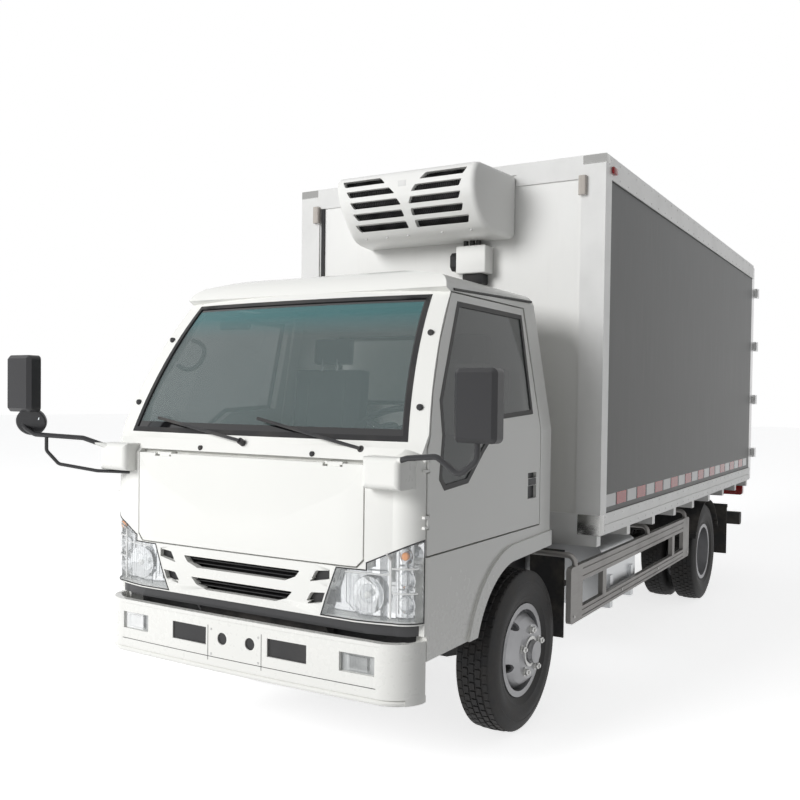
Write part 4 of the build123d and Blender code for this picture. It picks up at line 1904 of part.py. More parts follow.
def dashboard(front_panel, side_panel):
    """The dashboard across the cab, fitted to the inside of the front panel, with its instrument hood."""
    back = along(DASH_BACK)
    front = along(DASH_FRONT)
    outline = [
        (front, DASH_TOP_Z - DASH_LIP),
        (back - DASH_LIP, DASH_TOP_Z),
        (back, DASH_TOP_Z - DASH_LIP),
        (back - DASH_LIP, DASH_BOTTOM_Z),
        (front, DASH_BOTTOM_Z),
    ]
    board = side_prism(outline, -DASH_HALF_WIDTH, DASH_HALF_WIDTH)
    plan = [(x, along(y)) for x, y in DASH_CORNER_PLACES]
    plan = plan + [(-x, y) for x, y in reversed(plan)]
    face = make_face(Polyline(*[(x, y, DASH_BOTTOM_Z - OVERRUN) for x, y in plan], close=True))
    board &= extrude(face, amount=DASH_TOP_Z - DASH_BOTTOM_Z + OVERRUN * 2, dir=(0, 0, 1))
    half = DASH_HOOD_WIDTH / 2
    hood = block((STEER_X - half, STEER_X + half), (back - DASH_HOOD_LENGTH, back - DASH_LIP),
                 (DASH_TOP_Z - DASH_LIP, DASH_TOP_Z + DASH_HOOD_HEIGHT))
    hood = fillet(hood.edges().filter_by(Axis.Y).group_by(Axis.Z)[-1], DASH_HOOD_ROUND)
    board = (board + hood) - front_panel - side_panel
    return board.solids().sort_by(SortBy.VOLUME)[-1]


def steering_wheel(board):
    """The wheel with its hub and spokes on the column that comes out of the dashboard."""
    centre = Pos(STEER_X, along(STEER_Y), STEER_Z) * Rot(STEER_TILT, 0, 0)
    ring = Torus(STEER_RADIUS - STEER_GRIP_RADIUS, STEER_GRIP_RADIUS)
    hub = Cylinder(STEER_HUB_RADIUS, STEER_GRIP_RADIUS * 2)
    wheel = ring + hub
    reach = STEER_RADIUS - STEER_GRIP_RADIUS
    half = STEER_GRIP_RADIUS
    for index in range(STEER_SPOKES):
        angle = STEER_SPOKE_START + index * 360 / STEER_SPOKES
        spoke = block((0, reach), (-half, half), (-half / 2, half / 2))
        wheel += Rot(0, 0, angle) * spoke
    column = rod((0, 0, -STEER_COLUMN_LENGTH), (0, 0, 0), STEER_COLUMN_RADIUS)
    shape = centre * (wheel + column) - board
    return shape.solids().sort_by(SortBy.VOLUME)[-1]


# Side guards, tank, battery box


def side_guard():
    """The driver's side guard: two rails between broad end posts, uprights, and hangers to the subframe."""
    inner = GUARD_X - GUARD_WALL
    front = along(GUARD_FRONT)
    back = along(GUARD_BACK)
    x = (inner, GUARD_X)
    shape = block(x, (front, back), (GUARD_BOTTOM_Z, GUARD_TOP_Z))
    shape -= block(x, (front + GUARD_POST_LENGTH, back - GUARD_POST_LENGTH),
                   (GUARD_LOW_TOP_Z, GUARD_HIGH_Z))
    round_edges = shape.edges().filter_by(Axis.X).group_by(Axis.Y)
    shape = fillet(round_edges[0] + round_edges[-1], GUARD_ROUND)
    for low, high in ((GUARD_BOTTOM_Z, GUARD_LOW_TOP_Z), (GUARD_HIGH_Z, GUARD_TOP_Z)):
        for share in GUARD_GROOVE_SHARES:
            z = low + share * (high - low)
            half = GUARD_GROOVE_HEIGHT / 2
            span = (front + GUARD_POST_LENGTH, back - GUARD_POST_LENGTH)
            shape -= block((GUARD_X - GUARD_GROOVE, GUARD_X), span, (z - half, z + half))
    middle = (inner + GUARD_X) / 2
    for share in GUARD_UPRIGHT_SHARES:
        half = GUARD_UPRIGHT_WIDTH / 2
        y = front + share * (back - front)
        shape += block(x, (y - half, y + half), (GUARD_LOW_TOP_Z, GUARD_HIGH_Z))
    for share in GUARD_HANGER_SHARES:
        y = front + share * (back - front)
        run = [(middle, y, GUARD_TOP_Z - OVERRUN), (middle, y, GUARD_HANGER_Z),
               (RAIL_OUTER_X, y, GUARD_HANGER_Z)]
        shape += bent_rod(run, GUARD_HANGER_BEND, GUARD_HANGER_RADIUS)
    return shape


def cradle(front, length, inner_x, outer_x, bottom, top):
    """Two J straps from the rail's web, under a box and up its outer side."""
    straps = []
    wall = CRADLE_WALL
    for share in CRADLE_SHARES:
        y = along(front) + share * length
        span = (y - CRADLE_WIDTH / 2, y + CRADLE_WIDTH / 2)
        strap = block((RAIL_OUTER_X, inner_x), span, (bottom - wall, CRADLE_TOP_Z))
        strap += block((RAIL_OUTER_X, outer_x + wall), span, (bottom - wall, bottom))
        strap += block((outer_x, outer_x + wall), span, (bottom - wall, top))
        straps.append(strap)
    return straps


def fuel_tank():
    """The tank on the driver's side, on its cradle, with the filler cap."""
    y = (along(TANK_FRONT), along(TANK_FRONT) + TANK_LENGTH)
    tank = block((TANK_INNER_X, TANK_OUTER_X), y, (TANK_BOTTOM_Z, TANK_TOP_Z))
    tank = fillet(tank.edges().filter_by(Axis.Y), TANK_ROUND)
    middle = (TANK_BOTTOM_Z + TANK_TOP_Z) / 2
    for strap in cradle(TANK_FRONT, TANK_LENGTH, TANK_INNER_X, TANK_OUTER_X, TANK_BOTTOM_Z, middle):
        tank += strap
    cap_x = TANK_OUTER_X - TANK_ROUND - TANK_CAP_RADIUS
    cap_y = y[0] + TANK_CAP_RADIUS * 3
    return tank + rod((cap_x, cap_y, TANK_TOP_Z - OVERRUN),
                      (cap_x, cap_y, TANK_TOP_Z + TANK_CAP_LENGTH), TANK_CAP_RADIUS)


def battery_box():
    """The battery box on the far side, its lid proud of the case, on its cradle."""
    y = (along(BATTERY_FRONT), along(BATTERY_FRONT) + BATTERY_LENGTH)
    lid_z = BATTERY_TOP_Z - BATTERY_LID_HEIGHT
    proud = BATTERY_LID_PROUD
    box = block((BATTERY_INNER_X, BATTERY_OUTER_X), y, (BATTERY_BOTTOM_Z, lid_z))
    lid = block((BATTERY_INNER_X, BATTERY_OUTER_X + proud), (y[0] - proud, y[1] + proud),
                (lid_z, BATTERY_TOP_Z))
    box += chamfer(lid.edges().group_by(Axis.Z)[-1], proud)
    for strap in cradle(BATTERY_FRONT, BATTERY_LENGTH, BATTERY_INNER_X, BATTERY_OUTER_X,
                        BATTERY_BOTTOM_Z, lid_z):
        box += strap
    return mirrored(box)


# Exhaust


def exhaust():
    """Pipe from beside the gearbox to the muffler, its tail pipe, and the strap that hangs it from the rail."""
    start = along(GEARBOX_START)
    muffler_end = along(MUFFLER_Y) + MUFFLER_LENGTH
    muffler = rod((MUFFLER_X, along(MUFFLER_Y), MUFFLER_Z), (MUFFLER_X, muffler_end, MUFFLER_Z),
                  MUFFLER_RADIUS)
    muffler = fillet(muffler.edges(), MUFFLER_ROUND)
    run = [
        (PIPE_X, start, PIPE_LOW_Z),
        (PIPE_X, along(PIPE_TURN), PIPE_LOW_Z),
        (MUFFLER_X, along(PIPE_CROSS), PIPE_LOW_Z),
        (MUFFLER_X, along(MUFFLER_Y) + OVERRUN, PIPE_LOW_Z),
    ]
    shape = muffler + bent_rod(run, PIPE_BEND, PIPE_RADIUS)
    tail = [
        (MUFFLER_X, muffler_end - OVERRUN, MUFFLER_Z),
        (MUFFLER_X, along(TAIL_PIPE_TURN), MUFFLER_Z),
        (TAIL_PIPE_END_X, along(TAIL_PIPE_END), MUFFLER_Z),
    ]
    shape += bent_rod(tail, PIPE_BEND, PIPE_RADIUS)
    end = Vector(*tail[2]) + (Vector(*tail[1]) - Vector(*tail[2])).normalized() * MUFFLER_STRAP_WIDTH
    shape -= rod(tuple(end), tail[2], PIPE_RADIUS - PIPE_WALL)
    for share in MUFFLER_STRAP_SHARES:
        y = along(MUFFLER_Y) + share * MUFFLER_LENGTH
        half = MUFFLER_STRAP_WIDTH / 2
        band = rod((MUFFLER_X, y - half, MUFFLER_Z), (MUFFLER_X, y + half, MUFFLER_Z),
                   MUFFLER_RADIUS + TAIL_BRACKET_WALL)
        arm = block((MUFFLER_X, -RAIL_OUTER_X), (y - half, y + half),
                    (MUFFLER_STRAP_Z, MUFFLER_STRAP_Z + MUFFLER_STRAP_WALL))
        shape += band + arm
    return shape


# Mudguards


def mudguards():
    """Flaps behind the front wheels, arched guards over the twin wheels, and flaps behind them."""
    y = along(FRONT_FLAP_Y)
    shape = block((FRONT_FLAP_INNER_X, FRONT_FLAP_OUTER_X), (y, y + FLAP_WALL),
                  (FRONT_FLAP_BOTTOM_Z, FRONT_FLAP_TOP_Z))
    half = FLAP_ARM_WIDTH / 2
    front_flap = shape + block((RAIL_OUTER_X, FRONT_FLAP_OUTER_X), (y, y + FLAP_ARM_WIDTH),
                               (FRONT_FLAP_ARM_Z - half, FRONT_FLAP_ARM_Z + half))
    y = along(REAR_FLAP_Y)
    rear_flap = block((REAR_GUARD_INNER_X, REAR_GUARD_OUTER_X), (y, y + FLAP_WALL),
                      (REAR_FLAP_BOTTOM_Z, REAR_FLAP_ARM_Z))
    arm_z = (REAR_FLAP_ARM_Z - FLAP_ARM_WIDTH, REAR_FLAP_ARM_Z)
    rear_flap += block((RAIL_OUTER_X, REAR_GUARD_OUTER_X), (y, y + FLAP_ARM_WIDTH), arm_z)
    x = (REAR_GUARD_INNER_X, REAR_GUARD_OUTER_X)
    arch = rod((x[0], 0, 0), (x[1], 0, 0), REAR_GUARD_RADIUS + REAR_GUARD_WALL)
    arch -= rod((x[0], 0, 0), (x[1], 0, 0), REAR_GUARD_RADIUS)
    reach = REAR_GUARD_RADIUS * 2
    foot = REAR_GUARD_RADIUS * cos(radians(REAR_GUARD_ANGLE))
    arch &= block(x, (-reach, reach), (foot, reach))
    stay_y = REAR_GUARD_RADIUS * sin(radians(REAR_GUARD_STAY_ANGLE))
    stay_z = REAR_GUARD_RADIUS * cos(radians(REAR_GUARD_STAY_ANGLE))
    for side in (-1, 1):
        arch += rod((RAIL_OUTER_X, side * stay_y, stay_z), (REAR_GUARD_OUTER_X, side * stay_y, stay_z),
                    REAR_GUARD_STAY / 2)
    arch = Pos(0, REAR_AXLE_Y, AXLE_HEIGHT) * arch
    return both_sides(group(front_flap, arch, rear_flap))


# Rear end


def underrun_bar():
    """The bar below the tail on two legs from the rails, bored for two number plate bolts."""
    y = (along(UNDERRUN_FRONT), along(UNDERRUN_FRONT) + UNDERRUN_DEPTH)
    z = (UNDERRUN_BOTTOM_Z, UNDERRUN_BOTTOM_Z + UNDERRUN_HEIGHT)
    bar = block((-UNDERRUN_HALF_WIDTH, UNDERRUN_HALF_WIDTH), y, z)
    bar = chamfer(bar.edges().filter_by(Axis.X).group_by(Axis.Y)[-1], UNDERRUN_LEG_WALL)
    wall = UNDERRUN_LEG_WALL
    leg = block((RAIL_OUTER_X, RAIL_OUTER_X + wall), (y[0] - UNDERRUN_LEG_LENGTH, y[1] - wall),
                (z[0] + wall, RAIL_TOP_Z))
    bar += leg
    bar += mirrored(leg)
    middle = (z[0] + z[1]) / 2
    for side in (-1, 1):
        x = side * PLATE_BOLT_SPACING / 2
        bar -= rod((x, y[0], middle), (x, y[1], middle), PLATE_BOLT_RADIUS)
    return bar


def tail_lamps():
    """The rear lamp clusters, each hung from the rear sill on a bent plate."""
    half = TAIL_LAMP_WIDTH / 2
    x = (TAIL_LAMP_X - half, TAIL_LAMP_X + half)
    z = (TAIL_LAMP_Z - TAIL_LAMP_HEIGHT / 2, TAIL_LAMP_Z + TAIL_LAMP_HEIGHT / 2)
    back = FRAME_BACK_Y
    lamp = block(x, (back - TAIL_LAMP_DEPTH, back), z)
    lamp = fillet(lamp.edges().filter_by(Axis.Y), TAIL_LAMP_HEIGHT / 5)
    plate = block((x[0] + half / 3, x[1] - half / 3),
                  (back - TAIL_LAMP_DEPTH - TAIL_BRACKET_WALL, back - TAIL_LAMP_DEPTH),
                  (z[0] + half / 5, BOX_BOTTOM_Z))
    return both_sides(lamp + plate)


def spare_place():
    """Where the spare wheel's middle sits, its axle upright."""
    return Pos(0, along(SPARE_Y), SPARE_Z) * Rot(0, -90, 0)


def spare_tyre():
    """The spare tyre, flat below the rails."""
    return spare_place() * tyre()


def spare_rim():
    """The spare rim with the plate and screw that lift it, and the bar across the rails."""
    shape = spare_place() * rim()
    y = along(SPARE_Y)
    face = SPARE_Z + DISC_OFFSET - DISC_WALL
    plate = rod((0, y, face - DISC_WALL), (0, y, face), SPARE_PLATE_RADIUS)
    bottom = RAIL_TOP_Z - RAIL_HEIGHT
    screw = rod((0, y, face - DISC_WALL), (0, y, bottom - SPARE_BAR_HEIGHT / 2), SPARE_SCREW_RADIUS)
    half = SPARE_BAR_WIDTH / 2
    bar = block((-RAIL_OUTER_X, RAIL_OUTER_X), (y - half, y + half),
                (bottom - SPARE_BAR_HEIGHT, bottom))
    return shape + plate + screw + bar


def build_nodes():
    """Every node's name and shape."""
    cab = CabShapes()
    front, sides, back, roof = cab_panels(cab)
    door = cab_door(cab)
    glass = door_glass(cab)
    board = dashboard(front, sides)
    door_back = rear_door()
    axle_back = rear_axle()
    nodes = {
        "frame": frame(),
        "engine": engine(),
        "driveline": driveline() - axle_back,
        "front_axle": front_axle(),
        "rear_axle": axle_back,
        "leaf_springs": leaf_springs(),
        "fuel_tank": fuel_tank(),
        "battery_box": battery_box(),
        "exhaust": exhaust(),
        "side_guards": both_sides(side_guard()),
        "underrun_bar": underrun_bar(),
        "mudguards": mudguards(),
        "tail_lamps": tail_lamps(),
        "fog_lamps": fog_lamps(),
        "spare_tyre": spare_tyre(),
        "spare_rim": spare_rim(),
        "front_bumper": front_bumper(),
        "box_floor": box_floor(),
        "box_walls": box_walls(),
        "box_front_wall": box_front_wall(),
        "box_roof": box_roof(),
        "box_rear_frame": box_rear_frame(),
        "box_rails": box_rails(),
        "marker_lamps": marker_lamps(),
        "unit_housing": unit_housing(),
        "unit_coil": unit_coil(),
        "unit_duct": unit_duct(),
        "evaporator": evaporator(),
        "cab_floor": cab_floor(cab),
        "cab_front": front,
        "cab_sides": sides,
        "cab_rear_wall": back,
        "cab_roof": roof,
        "cab_glass": cab_glass(cab),
        "grille": grille(cab),
        "headlamps": headlamps(cab),
        "wipers": wipers(cab),
        "mirrors": mirrors(cab),
        "seats": seats(),
        "dashboard": board,
        "steering_wheel": steering_wheel(board),
        "door_left": door,
        "door_glass_left": glass,
        "door_right": mirrored(door),
        "door_glass_right": mirrored(glass),
        "front_lid": front_lid(cab),
        "rear_door_left": door_back,
        "rear_door_right": mirrored(door_back),
        "knuckle_left": knuckle(1),
        "knuckle_right": knuckle(-1),
        "tie_rod": tie_rod(),
    }
    for name, side in (("left", 1), ("right", -1)):
        nodes["tyre_front_" + name], nodes["rim_front_" + name] = front_wheel(side)
        nodes["tyres_rear_" + name], nodes["rims_rear_" + name] = rear_wheel(side)
    return nodes


os.makedirs("parts", exist_ok=True)
for node, shape in build_nodes().items():
    solids = shape.solids()
    export_step(solids[0] if len(solids) == 1 else Compound(list(solids)), "parts/" + node + ".step")
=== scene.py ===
"""Looks of the refrigerated truck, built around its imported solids."""

import logging
import math
from dataclasses import dataclass
from enum import Enum
from typing import Any, Callable, ClassVar, Mapping, NamedTuple, Sequence

import bpy
from mathutils import Matrix, Vector


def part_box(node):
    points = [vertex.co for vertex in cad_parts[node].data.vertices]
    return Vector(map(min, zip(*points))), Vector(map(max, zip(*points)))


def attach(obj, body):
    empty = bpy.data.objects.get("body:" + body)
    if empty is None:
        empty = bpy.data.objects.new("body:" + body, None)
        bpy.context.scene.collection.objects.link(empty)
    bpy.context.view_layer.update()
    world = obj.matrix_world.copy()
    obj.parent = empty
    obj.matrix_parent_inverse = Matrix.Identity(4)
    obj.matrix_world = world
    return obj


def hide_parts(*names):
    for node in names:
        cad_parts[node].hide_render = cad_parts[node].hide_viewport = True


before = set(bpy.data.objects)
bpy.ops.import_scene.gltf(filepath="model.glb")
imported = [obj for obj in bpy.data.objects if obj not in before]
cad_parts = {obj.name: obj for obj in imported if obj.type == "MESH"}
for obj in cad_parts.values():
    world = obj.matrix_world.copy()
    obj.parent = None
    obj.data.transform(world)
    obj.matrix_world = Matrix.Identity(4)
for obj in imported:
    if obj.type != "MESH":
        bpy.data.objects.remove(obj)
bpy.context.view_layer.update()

LOG = logging.getLogger("truck")

Thing = bpy.types.Object
Pair = tuple[float, float]
Point = tuple[float, float, float]
Colour = tuple[float, float, float]
Test = Callable[[Vector, Vector], bool]

WELD = 0.0001
SMOOTH_ANGLE = 0.6
SIDES: tuple[tuple[str, int], ...] = (("left", 1), ("right", -1))
RAYS = ("Is Camera Ray", "Is Glossy Ray", "Is Transmission Ray")


# Shader maths


class Value:
    """A node socket that takes part in Python expressions."""

    def __init__(self, graph: "Graph", socket: bpy.types.NodeSocket) -> None:
        """Keeps the socket and the graph that it belongs to."""
        self.graph = graph
        self.socket = socket

    def _math(self, operation: str, *terms: Any) -> "Value":
        """The result of one Math node with these inputs."""
        return self.graph.node("ShaderNodeMath", {"operation": operation}, dict(enumerate(terms)))

    def __add__(self, other: Any) -> "Value":
        """Sum."""
        return self._math("ADD", self, other)

    def __radd__(self, other: Any) -> "Value":
        """Sum with the number first."""
        return self._math("ADD", other, self)

    def __sub__(self, other: Any) -> "Value":
        """Difference."""
        return self._math("SUBTRACT", self, other)

    def __rsub__(self, other: Any) -> "Value":
        """Difference with the number first."""
        return self._math("SUBTRACT", other, self)

    def __mul__(self, other: Any) -> "Value":
        """Product."""
        return self._math("MULTIPLY", self, other)

    def __rmul__(self, other: Any) -> "Value":
        """Product with the number first."""
        return self._math("MULTIPLY", other, self)

    def __abs__(self) -> "Value":
        """Size without its sign."""
        return self._math("ABSOLUTE", self)

    def above(self, limit: Any) -> "Value":
        """1 where the value is over the limit, and else 0."""
        return self._math("GREATER_THAN", self, limit)

    def below(self, limit: Any) -> "Value":
        """1 where the value is under the limit, and else 0."""
        return self._math("LESS_THAN", self, limit)

    def larger(self, other: Any) -> "Value":
        """The larger of two values."""
        return self._math("MAXIMUM", self, other)

    def wave(self, pitch: float) -> "Value":
        """A sine along the value, from 0 to 1, with this pitch."""
        return self._math("SINE", self * (math.tau / pitch)) * 0.5 + 0.5

    def ramp(self, low: float, high: float) -> "Value":
        """0 at low, 1 at high and straight between them."""
        inputs = {"Value": self, "From Min": low, "From Max": high}
        return self.graph.node("ShaderNodeMapRange", {"clamp": True}, inputs)


class Graph:
    """The nodes of a material or of the world."""

    def __init__(self, owner: Any, end: str = "ShaderNodeOutputMaterial") -> None:
        """Clears the owner's nodes and makes its output node.

        Args:
            owner: A material or a world.
            end: The type of its output node.
        """
        owner.use_nodes = True
        self.tree = owner.node_tree
        self.tree.nodes.clear()
        self.end = self.tree.nodes.new(end)

    def node(self, kind: str, settings: Mapping[str, Any], sockets: Mapping[Any, Any], out: Any = 0) -> Value:
        """Makes any node.

        Args:
            kind: The node's type.
            settings: Properties that are set first.
            sockets: Input names or numbers, with values or links.
            out: The output that is returned.

        Returns:
            The chosen output.
        """
        made = self.tree.nodes.new(kind)
        for key, setting in settings.items():
            setattr(made, key, setting)
        for key, term in sockets.items():
            if isinstance(term, Value):
                self.tree.links.new(term.socket, made.inputs[key])
            else:
                made.inputs[key].default_value = term
        return Value(self, made.outputs[out])

    @property
    def place(self) -> Value:
        """The Object coordinates."""
        return self.node("ShaderNodeTexCoord", {}, {}, "Object")

    def axis(self, letter: str) -> Value:
        """One of the Object coordinates, X, Y or Z."""
        return self.node("ShaderNodeSeparateXYZ", {}, {0: self.place}, letter)

    def noise(self, scale: float, detail: float = 3.0, stretch: Point = (1.0, 1.0, 1.0)) -> Value:
        """Cloudy variation from 0 to 1, so many clouds to the metre, denser along the stretched axes."""
        vector = self.node("ShaderNodeMapping", {"vector_type": "POINT"}, {"Vector": self.place, "Scale": stretch})
        return self.node("ShaderNodeTexNoise", {}, {"Vector": vector, "Scale": scale, "Detail": detail})

    def cells(self, scale: float) -> Value:
        """Distance to the nearest of scattered points, for grain."""
        return self.node("ShaderNodeTexVoronoi", {}, {"Vector": self.place, "Scale": scale})

    def blend(self, share: Any, first: Any, second: Any) -> Value:
        """A colour between two colours."""
        ends = [colour if isinstance(colour, Value) else (*colour, 1.0) for colour in (first, second)]
        return self.node("ShaderNodeMix", {"data_type": "RGBA"}, {"Factor": share, 6: ends[0], 7: ends[1]}, 2)

    def bump(self, height: Value, strength: float, depth: float) -> Value:
        """A bumped normal from a height."""
        return self.node("ShaderNodeBump", {}, {"Height": height, "Strength": strength, "Distance": depth})

    def seen(self) -> Value:
        """1 for rays from the camera, a mirror or glass, and else 0."""
        camera, glossy, through = (self.node("ShaderNodeLightPath", {}, {}, kind) for kind in RAYS)
        return camera.larger(glossy).larger(through)

    def close(self, shader: Value) -> None:
        """Links the last shader to the output."""
        self.tree.links.new(shader.socket, self.end.inputs["Surface"])

    def finish(self, **sockets: Any) -> None:
        """Ends a material with a Principled shader.

        Args:
            sockets: The shader's inputs, with _ for a space in their names.
        """
        named = {}
        for key, term in sockets.items():
            flat = isinstance(term, tuple) and len(term) == 3
            named[key.replace("_", " ")] = (*term, 1.0) if flat else term
        self.close(self.node("ShaderNodeBsdfPrincipled", {}, named))


# Finishes


@dataclass(frozen=True)
class Finish:
    """A named finish that makes its material once."""

    name: str
    slot: str
    _made: ClassVar[dict[str, bpy.types.Material]] = {}

    def material(self) -> bpy.types.Material:
        """The finish's material, made at its first use.

        Returns:
            The material, the same one at every call.
        """
        if self.name not in Finish._made:
            Finish._made[self.name] = bpy.data.materials.new(self.name)
            self.build(Graph(Finish._made[self.name]))
        return Finish._made[self.name]

    def build(self, graph: Graph) -> None:
        """Makes the material's nodes."""
        raise NotImplementedError


@dataclass(frozen=True)
class Paint(Finish):
    """Sprayed gloss paint with faint ripple and road dust low down."""

    colour: Colour
    dust: Colour = (0.42, 0.38, 0.33)
    roughness: float = 0.22
    dust_share: float = 0.07
    dust_low: float = 0.45
    dust_high: float = 1.15
    dark_below: float = 0.0
    dark_colour: Colour = (0.03, 0.03, 0.032)

    def build(self, graph: Graph) -> None:
        """Makes the paint's nodes.

        Args:
            graph: The material's graph.
        """
        clouds = graph.noise(2.3, 5.0)
        fine = graph.noise(38.0, 4.0)
        height = graph.axis("Z")
        dirt = (1.0 - height.ramp(self.dust_low, self.dust_high)) * (clouds * 0.7 + fine * 0.6) * self.dust_share
        tone = graph.blend(clouds.ramp(0.3, 0.75) * 0.25, self.colour, tuple(c * 0.94 for c in self.colour))
        colour = graph.blend(dirt, tone, self.dust)
        rough = dirt * 0.9 + self.roughness + fine * 0.05
        if self.dark_below:
            dark = height.below(self.dark_below)
            colour = graph.blend(dark, colour, self.dark_colour)
            rough = rough + dark * 0.3
        ripple = graph.bump(graph.noise(160.0, 2.0), 0.03, 0.001)
        graph.finish(Base_Color=colour, Roughness=rough, Normal=ripple, Coat_Weight=0.35, Coat_Roughness=0.08)


@dataclass(frozen=True)
class PanelSkin(Finish):
    """Smooth composite panel whose colour shifts from top to bottom as painted light and shade, with a pale liner
    inside.
    """

    colour: Colour
    painted_light_foot_colour: Colour
    roughness: float = 0.18
    coat: float = 0.2
    specular: float = 0.5
    outer_from: float = 0.0
    liner: Colour = (0.78, 0.78, 0.77)
    streak_colour: Colour = (0.5, 0.47, 0.43)

    def build(self, graph: Graph) -> None:
        """Makes the panel's nodes.

        Args:
            graph: The material's graph.
        """
        # Painted light and shade: the colour runs from the foot colour to the top colour with height.
        height = graph.axis("Z").ramp(0.95, 2.85)
        streaks = graph.noise(3.0, 5.0, (6.0, 6.0, 0.6))
        share = (height + graph.noise(0.8, 3.0) * 0.25 - 0.12).ramp(0.0, 1.0)
        tone = graph.blend(share, self.painted_light_foot_colour, self.colour)
        colour = graph.blend(streaks.ramp(0.55, 0.9) * 0.12, tone, self.streak_colour)
        if self.outer_from:
            colour = graph.blend(abs(graph.axis("X")).above(self.outer_from), self.liner, colour)
        wave = graph.bump(graph.noise(1.6, 2.0), 0.08, 0.02)
        graph.finish(Base_Color=colour, Roughness=streaks * 0.1 + self.roughness, Normal=wave,
                     Coat_Weight=self.coat, Specular_IOR_Level=self.specular)


@dataclass(frozen=True)
class Metal(Finish):
    """Metal with drawn streaks, tarnish and fine scratches."""

    colour: Colour
    roughness: float = 0.35
    tarnish: float = 0.3
    stretch: Point = (1.0, 12.0, 12.0)
    metallic: float = 1.0

    def build(self, graph: Graph) -> None:
        """Makes the metal's nodes.

        Args:
            graph: The material's graph.
        """
        streaks = graph.noise(9.0, 6.0, self.stretch)
        dull = graph.noise(5.0, 4.0).ramp(0.45, 0.8) * self.tarnish
        colour = graph.blend(dull, self.colour, tuple(c * 0.55 for c in self.colour))
        rough = streaks * 0.2 + self.roughness - 0.1 + dull * 0.35
        grain = graph.bump(streaks, 0.08, 0.002)
        graph.finish(Base_Color=colour, Metallic=self.metallic, Roughness=rough, Normal=grain)


@dataclass(frozen=True)
class Moulded(Finish):
    """Moulded plastic or painted iron with a fine grain."""

    colour: Colour
    roughness: float = 0.5
    grain: float = 900.0
    grain_depth: float = 0.0006
    dust_share: float = 0.18
    dust: Colour = (0.33, 0.30, 0.26)

    def build(self, graph: Graph) -> None:
        """Makes the plastic's nodes.

        Args:
            graph: The material's graph.
        """
        dirt = graph.noise(7.0, 5.0).ramp(0.45, 0.85) * self.dust_share
        colour = graph.blend(dirt, self.colour, self.dust)
        pits = graph.bump(graph.cells(self.grain), 0.25, self.grain_depth)
        rough = dirt * 0.5 + self.roughness + graph.noise(60.0) * 0.06
        graph.finish(Base_Color=colour, Roughness=rough, Normal=pits, Specular_IOR_Level=0.5)


@dataclass(frozen=True)
class TyreRubber(Finish):
    """Tyre rubber, browner with dust in patches."""

    colour: Colour = (0.018, 0.018, 0.019)
    dust: Colour = (0.10, 0.09, 0.08)

    def build(self, graph: Graph) -> None:
        """Makes the rubber's nodes.

        Args:
            graph: The material's graph.
        """
        dirt = graph.noise(14.0, 6.0).ramp(0.35, 0.8) * 0.35
        colour = graph.blend(dirt, self.colour, self.dust)
        grain = graph.bump(graph.noise(420.0, 3.0), 0.3, 0.0012)
        graph.finish(Base_Color=colour, Roughness=dirt * 0.3 + 0.58, Normal=grain, Specular_IOR_Level=0.35)


@dataclass(frozen=True)
class Pane(Finish):
    """Tinted glass, on the windscreen with a dark printed border and a shade band."""

    tint: Colour = (0.16, 0.21, 0.21)
    alpha: float = 0.30
    banded: bool = False
    half_low: float = 0.765
    half_high: float = 0.668
    low: float = 1.424
    high: float = 2.036
    border: float = 0.030
    band_colour: Colour = (0.03, 0.16, 0.17)
    print_colour: Colour = (0.006, 0.006, 0.007)

    def build(self, graph: Graph) -> None:
        """Makes the glass's nodes.

        Args:
            graph: The material's graph.
        """
        smear = graph.noise(3.0, 4.0)
        colour: Any = self.tint
        alpha = smear * 0.10 + self.alpha
        if self.banded:
            height = graph.axis("Z")
            slope = (self.half_low - self.half_high) / (self.high - self.low)
            edge = self.half_low - (height - self.low) * slope
            near_side = (abs(graph.axis("X")) - edge + self.border).above(0.0)
            near_end = height.below(self.low + self.border * 1.6).larger(height.above(self.high - self.border))
            front = graph.axis("Y").below(-2.2)
            black = near_side.larger(near_end) * front
            band = height.ramp(self.high - 0.17, self.high - 0.07) * front
            colour = graph.blend(black, graph.blend(band, self.tint, self.band_colour), self.print_colour)
            alpha = (alpha + band * 0.35).larger(black)
        graph.finish(Base_Color=colour, Roughness=smear * 0.04 + 0.02, Alpha=alpha, Specular_IOR_Level=0.8)


@dataclass(frozen=True)
class Lens(Finish):
    """Clear or coloured lamp plastic, ribbed inside."""

    colour: Colour
    alpha: float = 0.3
    rib: float = 0.0

    def build(self, graph: Graph) -> None:
        """Makes the lens's nodes.

        Args:
            graph: The material's graph.
        """
        haze = graph.noise(22.0, 3.0)
        height = graph.axis("X").wave(self.rib) if self.rib else haze
        ribs = graph.bump(height, 0.35 if self.rib else 0.05, 0.002)
        alpha = haze * 0.08 + self.alpha
        graph.finish(Base_Color=self.colour, Roughness=haze * 0.08 + 0.05, Alpha=alpha, Normal=ribs)


@dataclass(frozen=True)
class Mirrored(Finish):
    """Silvered surface with a trace of smear."""

    colour: Colour
    roughness: float = 0.04

    def build(self, graph: Graph) -> None:
        """Makes the mirror's nodes.

        Args:
            graph: The material's graph.
        """
        rough = graph.noise(12.0, 4.0).ramp(0.5, 0.9) * 0.12 + self.roughness
        graph.finish(Base_Color=self.colour, Metallic=1.0, Roughness=rough)


@dataclass(frozen=True)
class Cloth(Finish):
    """Woven seat cloth with a fine two-way weave."""

    colour: Colour
    pitch: float = 0.006

    def build(self, graph: Graph) -> None:
        """Makes the cloth's nodes.

        Args:
            graph: The material's graph.
        """
        across, along, up = (graph.axis(letter).wave(self.pitch) for letter in "XYZ")
        weave = across * up + along * 0.5
        worn = graph.noise(9.0, 4.0)
        colour = graph.blend(weave * 0.35 + worn * 0.2, self.colour, tuple(c * 2.2 + 0.03 for c in self.colour))
        graph.finish(Base_Color=colour, Roughness=worn * 0.1 + 0.85, Normal=graph.bump(weave, 0.4, 0.001))


